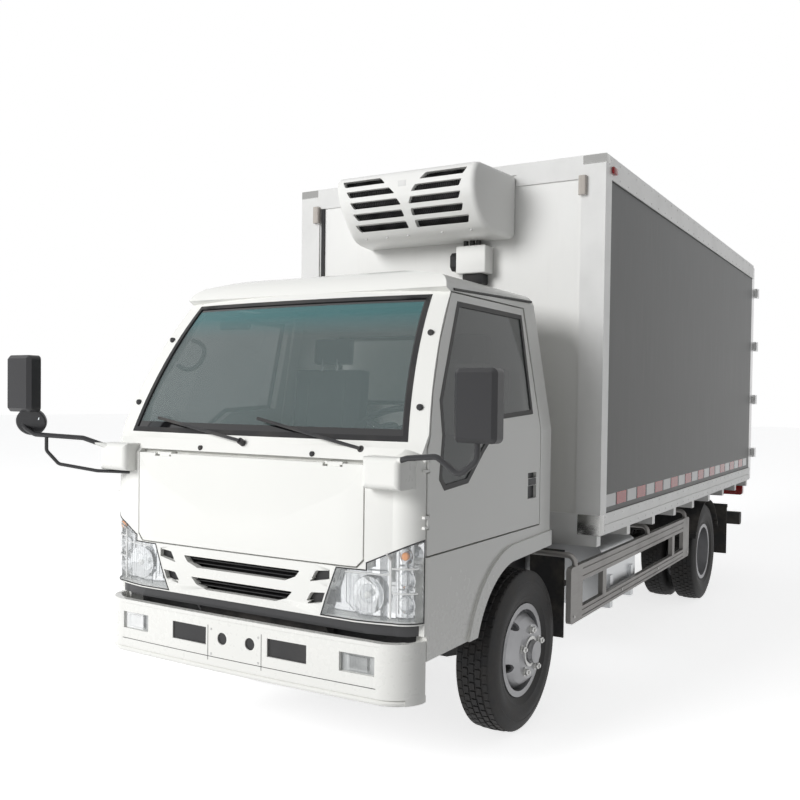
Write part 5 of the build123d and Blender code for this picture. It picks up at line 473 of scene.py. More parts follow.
@dataclass(frozen=True)
class Core(Finish):
    """Finned radiator or cooler core."""

    pitch: float
    dark: Colour = (0.012, 0.012, 0.013)
    pale: Colour = (0.12, 0.12, 0.12)

    def build(self, graph: Graph) -> None:
        """Makes the fins' nodes.

        Args:
            graph: The material's graph.
        """
        fins = graph.axis("X").wave(self.pitch)
        colour = graph.blend(fins * 0.6 + graph.axis("Z").wave(self.pitch * 3.5) * 0.3, self.dark, self.pale)
        graph.finish(Base_Color=colour, Roughness=fins * 0.2 + 0.4, Metallic=0.6, Normal=graph.bump(fins, 0.6, 0.003))


@dataclass(frozen=True)
class CappedPlastic(Finish):
    """Black plastic that is white paint on the caps nearest to the cab."""

    reach: float = 0.822
    low: float = 1.2475
    high: float = 1.3725
    black: Colour = (0.017, 0.017, 0.019)
    white: Colour = (0.83, 0.83, 0.80)

    def build(self, graph: Graph) -> None:
        """Makes the plastic's nodes.

        Args:
            graph: The material's graph.
        """
        height = graph.axis("Z")
        near = abs(graph.axis("X")).below(self.reach) * height.above(self.low) * height.below(self.high)
        rough = graph.noise(30.0, 4.0) * 0.1 - near * 0.1 + 0.34
        pits = graph.bump(graph.cells(800.0), 0.15, 0.0005)
        graph.finish(Base_Color=graph.blend(near, self.black, self.white), Roughness=rough, Normal=pits)


@dataclass(frozen=True)
class FittedPanel(Finish):
    """White panel whose straps, bars and handle stand off it in bare steel."""

    face: float = 3.0705
    white: Colour = (0.80, 0.80, 0.785)
    stain: Colour = (0.55, 0.52, 0.48)
    steel: Colour = (0.60, 0.60, 0.60)

    def build(self, graph: Graph) -> None:
        """Makes the panel's nodes.

        Args:
            graph: The material's graph.
        """
        off = graph.axis("Y").above(self.face)
        streaks = graph.noise(20.0, 4.0, (1.0, 1.0, 8.0))
        white = graph.blend(graph.noise(3.0, 4.0).ramp(0.5, 0.9) * 0.15, self.white, self.stain)
        graph.finish(Base_Color=graph.blend(off, white, self.steel), Roughness=streaks * 0.12 + 0.2, Metallic=off)


@dataclass(frozen=True)
class FloorPaint(Finish):
    """Plain pale floor that meets the white backdrop and keeps the shadow."""

    colour: Colour = (0.80, 0.80, 0.80)
    glow: Colour = (0.76, 0.76, 0.76)

    def build(self, graph: Graph) -> None:
        """Makes the floor's nodes.

        Args:
            graph: The material's graph.
        """
        glow = graph.blend(graph.seen(), (0.0, 0.0, 0.0), self.glow)
        graph.finish(Base_Color=self.colour, Roughness=0.9, Emission_Color=glow, Emission_Strength=1.0,
                     Specular_IOR_Level=0.1)


ALONG: Point = (12.0, 1.0, 12.0)


class Looks(Enum):
    """Every finish of the truck."""

    WHITE = Paint("white_cab_paint", "white_paint", (0.83, 0.83, 0.80))
    FRONT = Paint("white_front_paint", "white_paint", (0.83, 0.83, 0.80), dark_below=0.7185)
    BOX_WHITE = PanelSkin("white_box_skin", "box_skin", (0.80, 0.80, 0.785), (0.78, 0.775, 0.75))
    # Box side walls: a mid-grey panel darkened with painted shade, a little lighter at the foot as painted light.
    BOX_SIDE = PanelSkin("grey_box_side_painted_shade", "box_skin", (0.15, 0.155, 0.155), (0.17, 0.17, 0.165), 0.34, 0.0, 0.2, 0.985)
    RAIL = Metal("edge_rail_aluminium", "rail_metal", (0.74, 0.74, 0.73), 0.38, 0.15, ALONG, 0.35)
    STEEL = Metal("rear_frame_steel", "frame_steel", (0.62, 0.62, 0.62), 0.3, 0.2)
    CHASSIS = Moulded("chassis_black", "chassis_paint", (0.022, 0.022, 0.024), 0.55, 500.0, 0.001, 0.35)
    AXLE = Moulded("axle_black", "axle_metal", (0.028, 0.028, 0.03), 0.6, 300.0, 0.0015, 0.45)
    ENGINE = Moulded("engine_iron", "engine_metal", (0.12, 0.12, 0.12), 0.65, 220.0, 0.002, 0.4)
    SPRING = Metal("spring_steel", "spring_steel", (0.10, 0.10, 0.10), 0.5, 0.5, ALONG, 0.7)
    TANK = Metal("tank_aluminium", "tank_metal", (0.60, 0.61, 0.62), 0.36, 0.25, ALONG)
    MUFFLER = Metal("muffler_steel", "muffler_metal", (0.34, 0.30, 0.27), 0.5, 0.6)
    # Guard aluminium darkened with painted shade from under the body.
    GUARD = Metal("guard_aluminium_painted_shade", "guard_metal", (0.28, 0.27, 0.26), 0.46, 0.35, ALONG, 0.7)
    TYRE = TyreRubber("tyre_rubber", "tyre_rubber")
    # Wheel silver darkened with painted shade.
    RIM = Metal("wheel_silver_painted_shade", "wheel_paint", (0.38, 0.38, 0.39), 0.38, 0.3, (4.0, 4.0, 4.0), 0.7)
    NUT = Metal("nut_zinc", "wheel_paint", (0.55, 0.55, 0.54), 0.3, 0.35)
    BLACK = Moulded("black_plastic", "black_plastic", (0.017, 0.017, 0.019), 0.42)
    SEAL = Moulded("black_rubber_seal", "flap_rubber", (0.012, 0.012, 0.013), 0.5, 700.0, 0.0004, 0.08)
    FLAP = Moulded("flap_rubber", "flap_rubber", (0.025, 0.025, 0.026), 0.7, 420.0, 0.001, 0.5)
    LAMP = Lens("headlamp_lens", "lamp_lens", (0.86, 0.89, 0.90), 0.16)
    FOG = Lens("fog_lens", "lamp_lens", (0.86, 0.88, 0.88), 0.3, 0.012)
    RED = Lens("red_lens", "red_lens", (0.55, 0.015, 0.015), 0.85, 0.02)
    AMBER = Lens("amber_lens", "amber_lens", (0.85, 0.30, 0.03), 0.8, 0.012)
    MARKER = Lens("marker_lens", "amber_lens", (0.50, 0.46, 0.42), 0.85, 0.012)
    SCREEN = Pane("windscreen_glass", "window_glass", banded=True)
    WINDOW = Pane("door_glass", "window_glass", (0.045, 0.06, 0.058), 0.62)
    SEAT = Cloth("seat_cloth", "seat_cloth", (0.035, 0.035, 0.04))
    TRIM = Moulded("cab_trim", "cab_trim", (0.10, 0.10, 0.105), 0.6, 650.0, 0.0008, 0.1)
    TRIM_DARK = Moulded("cab_trim_dark", "cab_trim", (0.03, 0.03, 0.032), 0.5, 650.0, 0.0008, 0.05)
    UNIT = Paint("unit_white_plastic", "unit_plastic", (0.82, 0.82, 0.80), roughness=0.32, dust_share=0.1)
    LOUVRE = Moulded("louvre_black", "black_plastic", (0.012, 0.012, 0.013), 0.38, 900.0, 0.0004, 0.05)
    COIL = Core("coil_fins", "coil_metal", 0.006)
    RADIATOR = Core("radiator_fins", "black_plastic", 0.005)
    CHROME = Mirrored("reflector_chrome", "lamp_lens", (0.80, 0.81, 0.82), 0.10)
    GLASS_MIRROR = Mirrored("mirror_silver", "black_plastic", (0.62, 0.66, 0.68))
    MIRROR_ARMS = CappedPlastic("mirror_black", "black_plastic")
    REAR_DOOR = FittedPanel("rear_door_skin", "box_skin")
    CAP = Metal("corner_cap_steel", "rail_metal", (0.42, 0.42, 0.41), 0.2, 0.2)
    CHROME_BAR = Mirrored("chrome_bar", "cab_trim", (0.75, 0.75, 0.76), 0.12)
    BULB = Lens("clear_bulb", "lamp_lens", (0.9, 0.9, 0.88), 0.5)
    TAPE_RED = Lens("tape_red", "red_lens", (0.62, 0.03, 0.03), 1.0, 0.004)
    TAPE_WHITE = Lens("tape_white", "box_skin", (0.80, 0.80, 0.79), 1.0, 0.004)


NODE_LOOKS: dict[Looks, str] = {
    Looks.CHASSIS: "frame underrun_bar",
    Looks.ENGINE: "engine driveline",
    Looks.AXLE: "front_axle rear_axle knuckle_left knuckle_right tie_rod",
    Looks.SPRING: "leaf_springs",
    Looks.TANK: "fuel_tank",
    Looks.BLACK: "battery_box wipers",
    Looks.MUFFLER: "exhaust",
    Looks.GUARD: "side_guards",
    Looks.FLAP: "mudguards",
    Looks.RED: "tail_lamps",
    Looks.FOG: "fog_lamps",
    Looks.TYRE: "spare_tyre tyre_front_left tyre_front_right tyres_rear_left tyres_rear_right",
    Looks.RIM: "spare_rim rim_front_left rim_front_right rims_rear_left rims_rear_right",
    Looks.WHITE: "front_bumper cab_sides cab_rear_wall cab_roof grille door_left door_right front_lid",
    Looks.FRONT: "cab_front",
    Looks.RAIL: "box_floor box_rails",
    Looks.BOX_SIDE: "box_walls",
    Looks.BOX_WHITE: "box_front_wall box_roof",
    Looks.STEEL: "box_rear_frame",
    Looks.REAR_DOOR: "rear_door_left rear_door_right",
    Looks.MARKER: "marker_lamps",
    Looks.UNIT: "unit_housing evaporator",
    Looks.COIL: "unit_coil",
    Looks.LOUVRE: "unit_duct",
    Looks.TRIM_DARK: "cab_floor dashboard steering_wheel",
    Looks.SEAT: "seats",
    Looks.SCREEN: "cab_glass",
    Looks.WINDOW: "door_glass_left door_glass_right",
    Looks.LAMP: "headlamps",
    Looks.MIRROR_ARMS: "mirrors",
}


def dress_nodes() -> None:
    """Gives every node its finish."""
    looks = {name: look for look, names in NODE_LOOKS.items() for name in names.split()}
    for name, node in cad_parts.items():
        node.data.materials.clear()
        node.data.materials.append(looks[name].value.material())
    LOG.info("%d nodes dressed", len(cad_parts))


# Modelling


def every(centre: Vector, normal: Vector) -> bool:
    """Picks every face."""
    return True


def middle_of(node: str) -> list[float]:
    """The middle of a node's box."""
    return [(low + high) / 2 for low, high in zip(*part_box(node))]


class Bench:
    """Modelling steps done with Blender's own operators."""

    @staticmethod
    def only(*things: Thing) -> None:
        """Selects these objects alone, the last one active.

        Args:
            things: The objects, or none to clear the selection.
        """
        if bpy.context.object and bpy.context.object.mode != "OBJECT":
            bpy.ops.object.mode_set(mode="OBJECT")
        bpy.ops.object.select_all(action="DESELECT")
        for thing in things:
            thing.select_set(True)
            bpy.context.view_layer.objects.active = thing

    @staticmethod
    def link(name: str, data: Any) -> Thing:
        """Puts data into the scene as an object.

        Args:
            name: The object's name.
            data: Its mesh, curve, camera or light.

        Returns:
            The object, selected alone.
        """
        made = bpy.data.objects.new(name, data)
        bpy.context.scene.collection.objects.link(made)
        Bench.only(made)
        return made

    @staticmethod
    def settle(thing: Thing) -> Thing:
        """Moves the object's place, turn and scale into its mesh.

        Args:
            thing: The object.

        Returns:
            The same object.
        """
        Bench.only(thing)
        bpy.ops.object.transform_apply(location=True, rotation=True, scale=True)
        return thing

    @staticmethod
    def block(name: str, xs: Pair, ys: Pair, zs: Pair, soft: float = 0.0, segments: int = 3, way: int = 1) -> Thing:
        """A box, ready to be shaped.

        Args:
            name: The piece's name.
            xs: Its two sides, as on the truck's left.
            ys: Its front and back.
            zs: Its foot and top.
            soft: How far its edges are rounded.
            segments: The rounding's steps.
            way: -1 puts it on the truck's right.

        Returns:
            The box as a mesh object.
        """
        Bench.only()
        spans = (sorted(way * x for x in xs), ys, zs)
        bpy.ops.mesh.primitive_cube_add(size=1.0, location=[(low + high) / 2 for low, high in spans])
        made = bpy.context.object
        made.name = name
        made.scale = [high - low for low, high in spans]
        Bench.settle(made)
        return Bench.bevel(made, soft, segments) if soft else made

    @staticmethod
    def drum(name: str, centre: Point, radius: float, depth: float, axis: str = "Y", sides: int = 16,
             soft: float = 0.0, segments: int = 2) -> Thing:
        """A round or six-sided bar about the X or Y axis.

        Args:
            name: The piece's name.
            centre: Its middle.
            radius: Its radius.
            depth: Its length.
            axis: The letter of the axis along it.
            sides: How many sides it has.
            soft: How far its edges are rounded.
            segments: The rounding's steps.

        Returns:
            The bar as a mesh object.
        """
        Bench.only()
        turn = {"X": (0.0, math.pi / 2, 0.0), "Y": (math.pi / 2, 0.0, 0.0)}[axis]
        bpy.ops.mesh.primitive_cylinder_add(vertices=sides, radius=radius, depth=depth, location=centre, rotation=turn)
        made = bpy.context.object
        made.name = name
        Bench.settle(made)
        return Bench.bevel(made, soft, segments) if soft else made

    @staticmethod
    def pick(thing: Thing, test: Test = every) -> None:
        """Enters edit mode with the picked faces selected.

        Args:
            thing: The mesh object.
            test: Tells by centre and normal whether a face is picked.
        """
        Bench.only(thing)
        mesh = thing.data
        for group in (mesh.vertices, mesh.edges):
            group.foreach_set("select", [False] * len(group))
        mesh.polygons.foreach_set("select", [bool(test(f.center, f.normal)) for f in mesh.polygons])
        bpy.context.tool_settings.mesh_select_mode = (False, False, True)
        bpy.ops.object.mode_set(mode="EDIT")

    @staticmethod
    def done() -> None:
        """Leaves edit mode."""
        bpy.ops.object.mode_set(mode="OBJECT")

    @staticmethod
    def inset(thing: Thing, test: Test, width: float, depth: float = 0.0) -> None:
        """Insets the picked faces and moves them along their normals.

        Args:
            thing: The mesh object.
            test: Picks the faces.
            width: How far their edges move inwards.
            depth: How far the faces move outwards.
        """
        Bench.pick(thing, test)
        bpy.ops.mesh.inset(thickness=width, depth=depth)
        Bench.done()

    @staticmethod
    def modify(thing: Thing, kind: str, **settings: Any) -> Thing:
        """Adds a modifier and applies it.

        Args:
            thing: The mesh object.
            kind: The modifier's type.
            settings: The modifier's properties.

        Returns:
            The same object.
        """
        Bench.only(thing)
        modifier = thing.modifiers.new(kind.lower(), kind)
        for key, setting in settings.items():
            setattr(modifier, key, setting)
        bpy.ops.object.modifier_apply(modifier=modifier.name)
        return thing

    @staticmethod
    def bevel(thing: Thing, width: float, segments: int = 2, angle: float = 0.6) -> Thing:
        """Rounds the sharp edges."""
        return Bench.modify(thing, "BEVEL", width=width, segments=segments, limit_method="ANGLE", angle_limit=angle)

    @staticmethod
    def tube(name: str, points: Sequence[Point], radius: float, smooth: bool = False, closed: bool = False) -> Thing:
        """A round line through points, as a mesh.

        Args:
            name: The piece's name.
            points: The line's points.
            radius: The line's radius.
            smooth: Whether it bends smoothly through its points.
            closed: Whether its ends join.

        Returns:
            The mesh object.
        """
        curve = bpy.data.curves.new(name, "CURVE")
        curve.dimensions = "3D"
        curve.bevel_depth = radius
        curve.bevel_resolution = 3
        curve.use_fill_caps = not closed
        curve.resolution_u = 8
        spline = curve.splines.new("BEZIER" if smooth else "POLY")
        knots = spline.bezier_points if smooth else spline.points
        knots.add(len(points) - 1)
        for knot, place in zip(knots, points):
            knot.co = place if smooth else (*place, 1.0)
            if smooth:
                knot.handle_left_type = knot.handle_right_type = "AUTO"
        spline.use_cyclic_u = closed
        Bench.link(name, curve)
        bpy.ops.object.convert(target="MESH")
        return bpy.context.object

    @staticmethod
    def prism(name: str, outline: Sequence[Pair], axis: str, low: float, high: float) -> Thing:
        """A flat outline drawn out along an axis.

        Args:
            name: The piece's name.
            outline: Corners in the two other axes, in the order of the alphabet.
            axis: X, Y or Z.
            low: Where it starts.
            high: Where it ends.

        Returns:
            The prism as a mesh object.
        """
        along = "XYZ".index(axis)
        corners = [[*corner[:along], low, *corner[along:]] for corner in outline]
        mesh = bpy.data.meshes.new(name)
        mesh.from_pydata(corners, [], [tuple(range(len(corners)))])
        made = Bench.link(name, mesh)
        move = [high - low if index == along else 0.0 for index in range(3)]
        Bench.pick(made)
        bpy.ops.mesh.extrude_region_move(TRANSFORM_OT_translate={"value": move})
        bpy.ops.mesh.select_all(action="SELECT")
        bpy.ops.mesh.normals_make_consistent(inside=False)
        Bench.done()
        return made

    @staticmethod
    def cut(thing: Thing, cutters: Sequence[Thing]) -> Thing:
        """Takes the cutters out of a piece and removes them.

        Args:
            thing: The piece.
            cutters: The tools, which are used up.

        Returns:
            The same piece.
        """
        tool = Bench.join("cutter", cutters)
        Bench.modify(thing, "BOOLEAN", operation="DIFFERENCE", object=tool, solver="EXACT")
        bpy.data.objects.remove(tool)
        return thing

    @staticmethod
    def spun(name: str, profile: Sequence[Pair], centre: Point, axis: str, steps: int = 48) -> Thing:
        """A profile spun about an axis.

        Args:
            name: The piece's name.
            profile: (distance along the axis, radius) points.
            centre: The place of the profile's start on the axis.
            axis: The axis's letter.
            steps: How many steps a turn has.

        Returns:
            The mesh object, with its faces outwards.
        """
        along = "XYZ".index(axis)
        places = []
        for reach, radius in profile:
            place = [0.0, 0.0, 0.0]
            place[along] = reach
            place[(along + 1) % 3] = radius
            places.append(place)
        mesh = bpy.data.meshes.new(name)
        mesh.from_pydata(places, [(i, i + 1) for i in range(len(places) - 1)], [])
        made = Bench.link(name, mesh)
        direction = [float(index == along) for index in range(3)]
        bpy.context.tool_settings.mesh_select_mode = (True, False, False)
        bpy.ops.object.mode_set(mode="EDIT")
        bpy.ops.mesh.select_all(action="SELECT")
        bpy.ops.mesh.spin(steps=steps, angle=math.tau, center=(0, 0, 0), axis=direction)
        bpy.ops.mesh.select_all(action="SELECT")
        bpy.ops.mesh.remove_doubles(threshold=WELD)
        bpy.ops.mesh.normals_make_consistent(inside=False)
        Bench.done()
        made.location = centre
        return Bench.settle(made)

    @staticmethod
    def copy(thing: Thing, name: str, move: Sequence[float] = (0, 0, 0), turn: Matrix | None = None) -> Thing:
        """A copy with its own mesh.

        Args:
            thing: The piece that is copied.
            name: The copy's name.
            move: How far the copy is moved.
            turn: How it is turned before that.

        Returns:
            The copy.
        """
        made = thing.copy()
        made.data = thing.data.copy()
        made.name = name
        bpy.context.scene.collection.objects.link(made)
        made.data.transform(Matrix.Translation(move) @ (turn or Matrix()))
        return made

    @staticmethod
    def mirrored(thing: Thing, way: int) -> Thing:
        """Mirrors a piece to the truck's right.

        Args:
            thing: The piece.
            way: 1 leaves it as it is, and -1 mirrors it.

        Returns:
            The same piece.
        """
        if way < 0:
            thing.data.transform(Matrix.Scale(-1.0, 4, (1.0, 0.0, 0.0)))
            thing.data.flip_normals()
        return thing

    @staticmethod
    def join(name: str, pieces: Sequence[Thing]) -> Thing:
        """Several meshes joined into one piece.

        Args:
            name: The piece's name.
            pieces: The meshes, which are used up.

        Returns:
            The piece.
        """
        Bench.only(*pieces)
        bpy.ops.object.join()
        made = bpy.context.object
        made.name = name
        return made

    @staticmethod
    def repeat(first: Thing, moves: Sequence[Point]) -> list[Thing]:
        """Copies a piece to several places.

        Args:
            first: The piece, which is used up.
            moves: How far each copy is moved.

        Returns:
            The copies.
        """
        copies = [Bench.copy(first, f"{first.name}.{i:03d}", move) for i, move in enumerate(moves)]
        bpy.data.objects.remove(first)
        return copies

    @staticmethod
    def hand_over(thing: Thing, body: str, look: Looks, *replaces: str) -> None:
        """Dresses a finished piece and lets it ride.

        Args:
            thing: The piece.
            body: The body it rides on.
            look: Its finish.
            replaces: The nodes that it stands for.
        """
        Bench.settle(thing)
        bpy.ops.object.shade_smooth_by_angle(angle=SMOOTH_ANGLE)
        thing.data.materials.clear()
        thing.data.materials.append(look.value.material())
        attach(thing, body)
        if replaces:
            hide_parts(*replaces)
        LOG.info("%s rides on %s", thing.name, body)

    @staticmethod
    def assemble(name: str, pieces: Sequence[Thing], body: str, look: Looks, *replaces: str) -> None:
        """Joins pieces into one and hands it over."""
        Bench.hand_over(Bench.join(name, pieces), body, look, *replaces)


class Surface:
    """Finds places on the outside of nodes."""

    far: float = 4.0
    missed_y: float = -2.87

    def __init__(self, *nodes: str) -> None:
        """Keeps the nodes that are looked at."""
        self.nodes = [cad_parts[name] for name in nodes]

    def cast(self, start: Point, way: Point) -> Vector | None:
        """Casts a ray onto the nodes.

        Args:
            start: Where the ray starts.
            way: Where it goes.

        Returns:
            The place that is hit first, or None.
        """
        casts = [node.ray_cast(Vector(start), Vector(way)) for node in self.nodes]
        hits = [place for found, place, _, _ in casts if found]
        return min(hits, key=lambda place: (place - Vector(start)).length, default=None)

    def front(self, x: float, z: float, lift: float = 0.0) -> Point:
        """The place that is first from the front at x and z, lifted off it."""
        place = self.cast((x, -self.far, z), (0.0, 1.0, 0.0))
        return x, (place.y if place else self.missed_y) - lift, z

    def run(self, spots: Sequence[Pair], lift: float) -> list[Point]:
        """The front's places at these x and z, lifted off it."""
        return [self.front(x, z, lift) for x, z in spots]

    def back(self, x: float, z: float) -> Vector | None:
        """The place that is first from behind at x and z, or None."""
        return self.cast((x, self.far, z), (0.0, -1.0, 0.0))

    def side(self, way: int, y: float, z: float) -> Vector | None:
        """The place that is first from one side at y and z, or None."""
        return self.cast((way * self.far, y, z), (-way, 0.0, 0.0))


def steps(low: float, high: float, count: int) -> list[float]:
    """Evenly spaced numbers from low to high."""
    return [low + (high - low) * index / (count - 1) for index in range(count)]


def loose_copy(name: str, node: str) -> Thing:
    """A welded copy of a node's mesh that belongs to no body yet.

    Args:
        name: The copy's name.
        node: The node's name.

    Returns:
        The copy as a mesh object.
    """
    made = Bench.copy(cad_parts[node], name)
    made.parent = None
    for key in [key for key in made.keys() if key.startswith("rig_")]:
        del made[key]
    Bench.pick(made)
    bpy.ops.mesh.remove_doubles(threshold=WELD)
    Bench.done()
    return made


def skin_of(name: str, node: str, test: Test) -> Thing:
    """A copy of some of a node's faces.

    Args:
        name: The copy's name.
        node: The node's name.
        test: Picks the faces that stay.

    Returns:
        The open skin as a mesh object.
    """
    skin = loose_copy(name, node)
    Bench.pick(skin, lambda centre, normal: not test(centre, normal))
    bpy.ops.mesh.delete(type="FACE")
    bpy.ops.mesh.select_all(action="SELECT")
    bpy.ops.mesh.dissolve_limited(angle_limit=math.radians(0.5))
    Bench.done()
    return skin


def ring_on(name: str, node: str, test: Test, width: float = 0.022, wall: float = 0.005) -> Thing:
    """A band along the outline of part of a node's skin.

    Args:
        name: The piece's name.
        node: The node that it lies on.
        test: Picks the faces whose outline it follows, by centre and normal.
        width: How wide the band is.
        wall: How thick it is.

    Returns:
        The band as a mesh object.
    """
    skin = skin_of(name, node, test)
    Bench.pick(skin)
    bpy.ops.mesh.inset(thickness=width, depth=0.0, use_boundary=True)
    bpy.ops.mesh.delete(type="FACE")
    Bench.done()
    return Bench.modify(skin, "SOLIDIFY", thickness=wall, offset=1.0)


# Studio


@dataclass(frozen=True)
class Studio:
    """Camera, lights, floor and backdrop."""

    place: Point = (2.556, -5.639, 1.588)
    yaw: float = math.radians(28.954)
    pitch: float = math.radians(-1.305)
    roll: float = math.radians(0.801)
    focal_px: float = 870.8
    centre_px: Pair = (454.66, 420.34)
    picture_px: float = 800.0
    sensor: float = 36.0
    clip_end: float = 500.0
    floor_size: float = 120.0
    floor_z: float = -0.0005
    fill: float = 0.20
    fill_colour: Colour = (0.97, 0.985, 1.0)
    key_power: float = 1750.0
    key_place: Point = (-5.0, -14.0, 7.0)
    key_size: float = 7.0
    key_aim: Point = (0.0, -1.5, 1.2)

    def camera(self) -> None:
        """Places the camera where the photograph was taken."""
        data = bpy.data.cameras.new("photo_camera")
        eye = Bench.link("photo_camera", data)
        flat = math.cos(self.pitch)
        ahead = Vector((-math.sin(self.yaw) * flat, math.cos(self.yaw) * flat, math.sin(self.pitch)))
        level = Vector((math.cos(self.yaw), math.sin(self.yaw), 0.0))
        upright = level.cross(ahead)
        right = math.cos(self.roll) * level + math.sin(self.roll) * upright
        up = math.cos(self.roll) * upright - math.sin(self.roll) * level
        turned = Matrix((right, up, -ahead)).transposed().to_4x4()
        eye.matrix_world = Matrix.Translation(self.place) @ turned
        data.sensor_width = self.sensor
        data.lens = self.focal_px / self.picture_px * self.sensor
        data.shift_x = (self.picture_px / 2 - self.centre_px[0]) / self.picture_px
        data.shift_y = (self.centre_px[1] - self.picture_px / 2) / self.picture_px
        data.clip_end = self.clip_end
        bpy.context.scene.camera = eye

    def lights(self) -> None:
        """A large soft key from the front on the far side."""
        data = bpy.data.lights.new("key_light", "AREA")
        data.energy = self.key_power
        data.shape = "DISK"
        data.size = self.key_size
        lamp = Bench.link("key_light", data)
        lamp.visible_glossy = False
        lamp.location = self.key_place
        way = Vector(self.key_aim) - Vector(self.key_place)
        lamp.rotation_euler = way.to_track_quat("-Z", "Y").to_euler()

    def backdrop(self) -> None:
        """White where the camera, mirrors or glass look past the truck, softer as light."""
        world = bpy.data.worlds.new("soft_sky")
        bpy.context.scene.world = world
        graph = Graph(world, "ShaderNodeOutputWorld")
        white, soft = (
            graph.node("ShaderNodeBackground", {}, {"Strength": strength, "Color": (*colour, 1.0)})
            for strength, colour in ((1.0, (1.0, 1.0, 1.0)), (self.fill, self.fill_colour))
        )
        graph.close(graph.node("ShaderNodeMixShader", {}, {0: graph.seen(), 1: soft, 2: white}))

    def floor(self) -> None:
        """A pale plain floor."""
        Bench.only()
        bpy.ops.mesh.primitive_plane_add(size=self.floor_size, location=(0.0, 0.0, self.floor_z))
        floor = bpy.context.object
        floor.name = "studio_floor"
        floor.data.materials.append(FloorPaint("floor_white", "floor").material())

    def build(self) -> None:
        """Sets the whole studio up."""
        bpy.context.scene.view_settings.view_transform = "Standard"
        self.camera()
        self.lights()
        self.backdrop()
        self.floor()
        LOG.info("studio is set up")


# Cab


@dataclass(frozen=True)
class CabTrim:
    """Seals, handles, nozzles and fittings of the cab."""

    nozzle_places: tuple[Pair, ...] = ((-0.265, 1.365), (0.351, 1.364))
    handle_x: float = 0.8295
    drip_ends: tuple[Point, Point] = ((0.744, -2.389, 2.062), (0.739, -1.570, 2.094))
    stalk: tuple[Point, ...] = ((-0.470, -2.365, 2.010), (-0.480, -2.375, 1.975), (-0.495, -2.380, 1.955))
    grip: tuple[Point, ...] = (
        (-0.672, -2.500, 1.868), (-0.640, -2.470, 1.850), (-0.632, -2.455, 1.812), (-0.645, -2.500, 1.735),
        (-0.665, -2.540, 1.722), (-0.705, -2.560, 1.742),
    )

    def seals(self) -> None:
        """The rubber round the windscreen, the rear window and the door windows."""
        screen = ring_on("screen_seal", "cab_glass", lambda c, n: n.y < -0.2 and c.y < -2.0)
        Bench.hand_over(screen, "cab", Looks.SEAL)
        back = ring_on("rear_window_seal", "cab_glass", lambda c, n: n.y > 0.5 and c.y > -2.0)
        Bench.hand_over(back, "cab", Looks.SEAL)
        for side, way in SIDES:
            band = ring_on(f"window_seal_{side}", f"door_glass_{side}", lambda c, n: n.x * way > 0.5)
            Bench.hand_over(band, f"cab_door_{side}", Looks.SEAL)
            self.door_handle(side, way)

    def door_handle(self, side: str, way: int) -> None:
        """The black cup and its pull bar.

        Args:
            side: The side's name.
            way: The side's sign.
        """
        x = self.handle_x
        cup = Bench.block(f"handle_cup_{side}", (x, x + 0.003), (-1.8175, -1.7185), (1.1200, 1.2440))
        Bench.inset(cup, lambda c, n: n.x > 0.9, 0.006)
        Bench.inset(cup, lambda c, n: n.x > 0.9 and abs(c.y + 1.768) < 0.04, 0.004, -0.002)
        bar = Bench.block(f"handle_bar_{side}", (x + 0.0085, x + 0.0192), (-1.8165, -1.7195), (1.1815, 1.2185), 0.004)
        piece = Bench.mirrored(Bench.join(f"door_handle_{side}", [cup, bar]), way)
        Bench.hand_over(piece, f"cab_door_{side}", Looks.BLACK)

    def nozzles(self) -> None:
        """Two washer nozzles below the screen."""
        skin = Surface("cab_front", "cab_sides", "front_lid", "cab_glass")
        pieces = [Bench.drum(f"nozzle_{i}", skin.front(x, z), 0.011, 0.012, sides=20)
                  for i, (x, z) in enumerate(self.nozzle_places)]
        for nozzle in pieces:
            Bench.inset(nozzle, lambda c, n: n.y < -0.9, 0.004, 0.004)
        Bench.assemble("washer_nozzles", pieces, "cab", Looks.BLACK)

    def drip_rails(self) -> None:
        """The rain channels above the doors."""
        for side, way in SIDES:
            start, end = [(way * x, y, z) for x, y, z in self.drip_ends]
            middle = tuple((a + b) / 2 for a, b in zip(start, end))
            Bench.hand_over(Bench.tube(f"drip_rail_{side}", [start, middle, end], 0.006), "cab", Looks.SEAL)

    def fittings(self) -> None:
        """The inside mirror, the grab handle and the sun visors."""
        stalk = Bench.tube("mirror_stalk", self.stalk, 0.006, True)
        head = Bench.block("mirror_head", (-0.590, -0.400), (-2.395, -2.373), (1.922, 1.966), 0.010, 4)
        Bench.assemble("inside_mirror", [stalk, head], "cab", Looks.TRIM_DARK)
        Bench.hand_over(Bench.tube("grab_handle", self.grip, 0.011, True), "cab", Looks.TRIM)
        for side, way in SIDES:
            visor = Bench.block(f"sun_visor_{side}", (0.12, 0.56), (-2.355, -2.215), (1.985, 2.003), 0.007, way=way)
            Bench.hand_over(visor, "cab", Looks.TRIM)

    def build(self) -> None:
        """Makes all the trims."""
        self.seals()
        self.nozzles()
        self.drip_rails()
        self.fittings()


class Bowl(NamedTuple):
    """One reflector bowl of a headlamp."""

    name: str
    x: float
    z: float
    radius: float


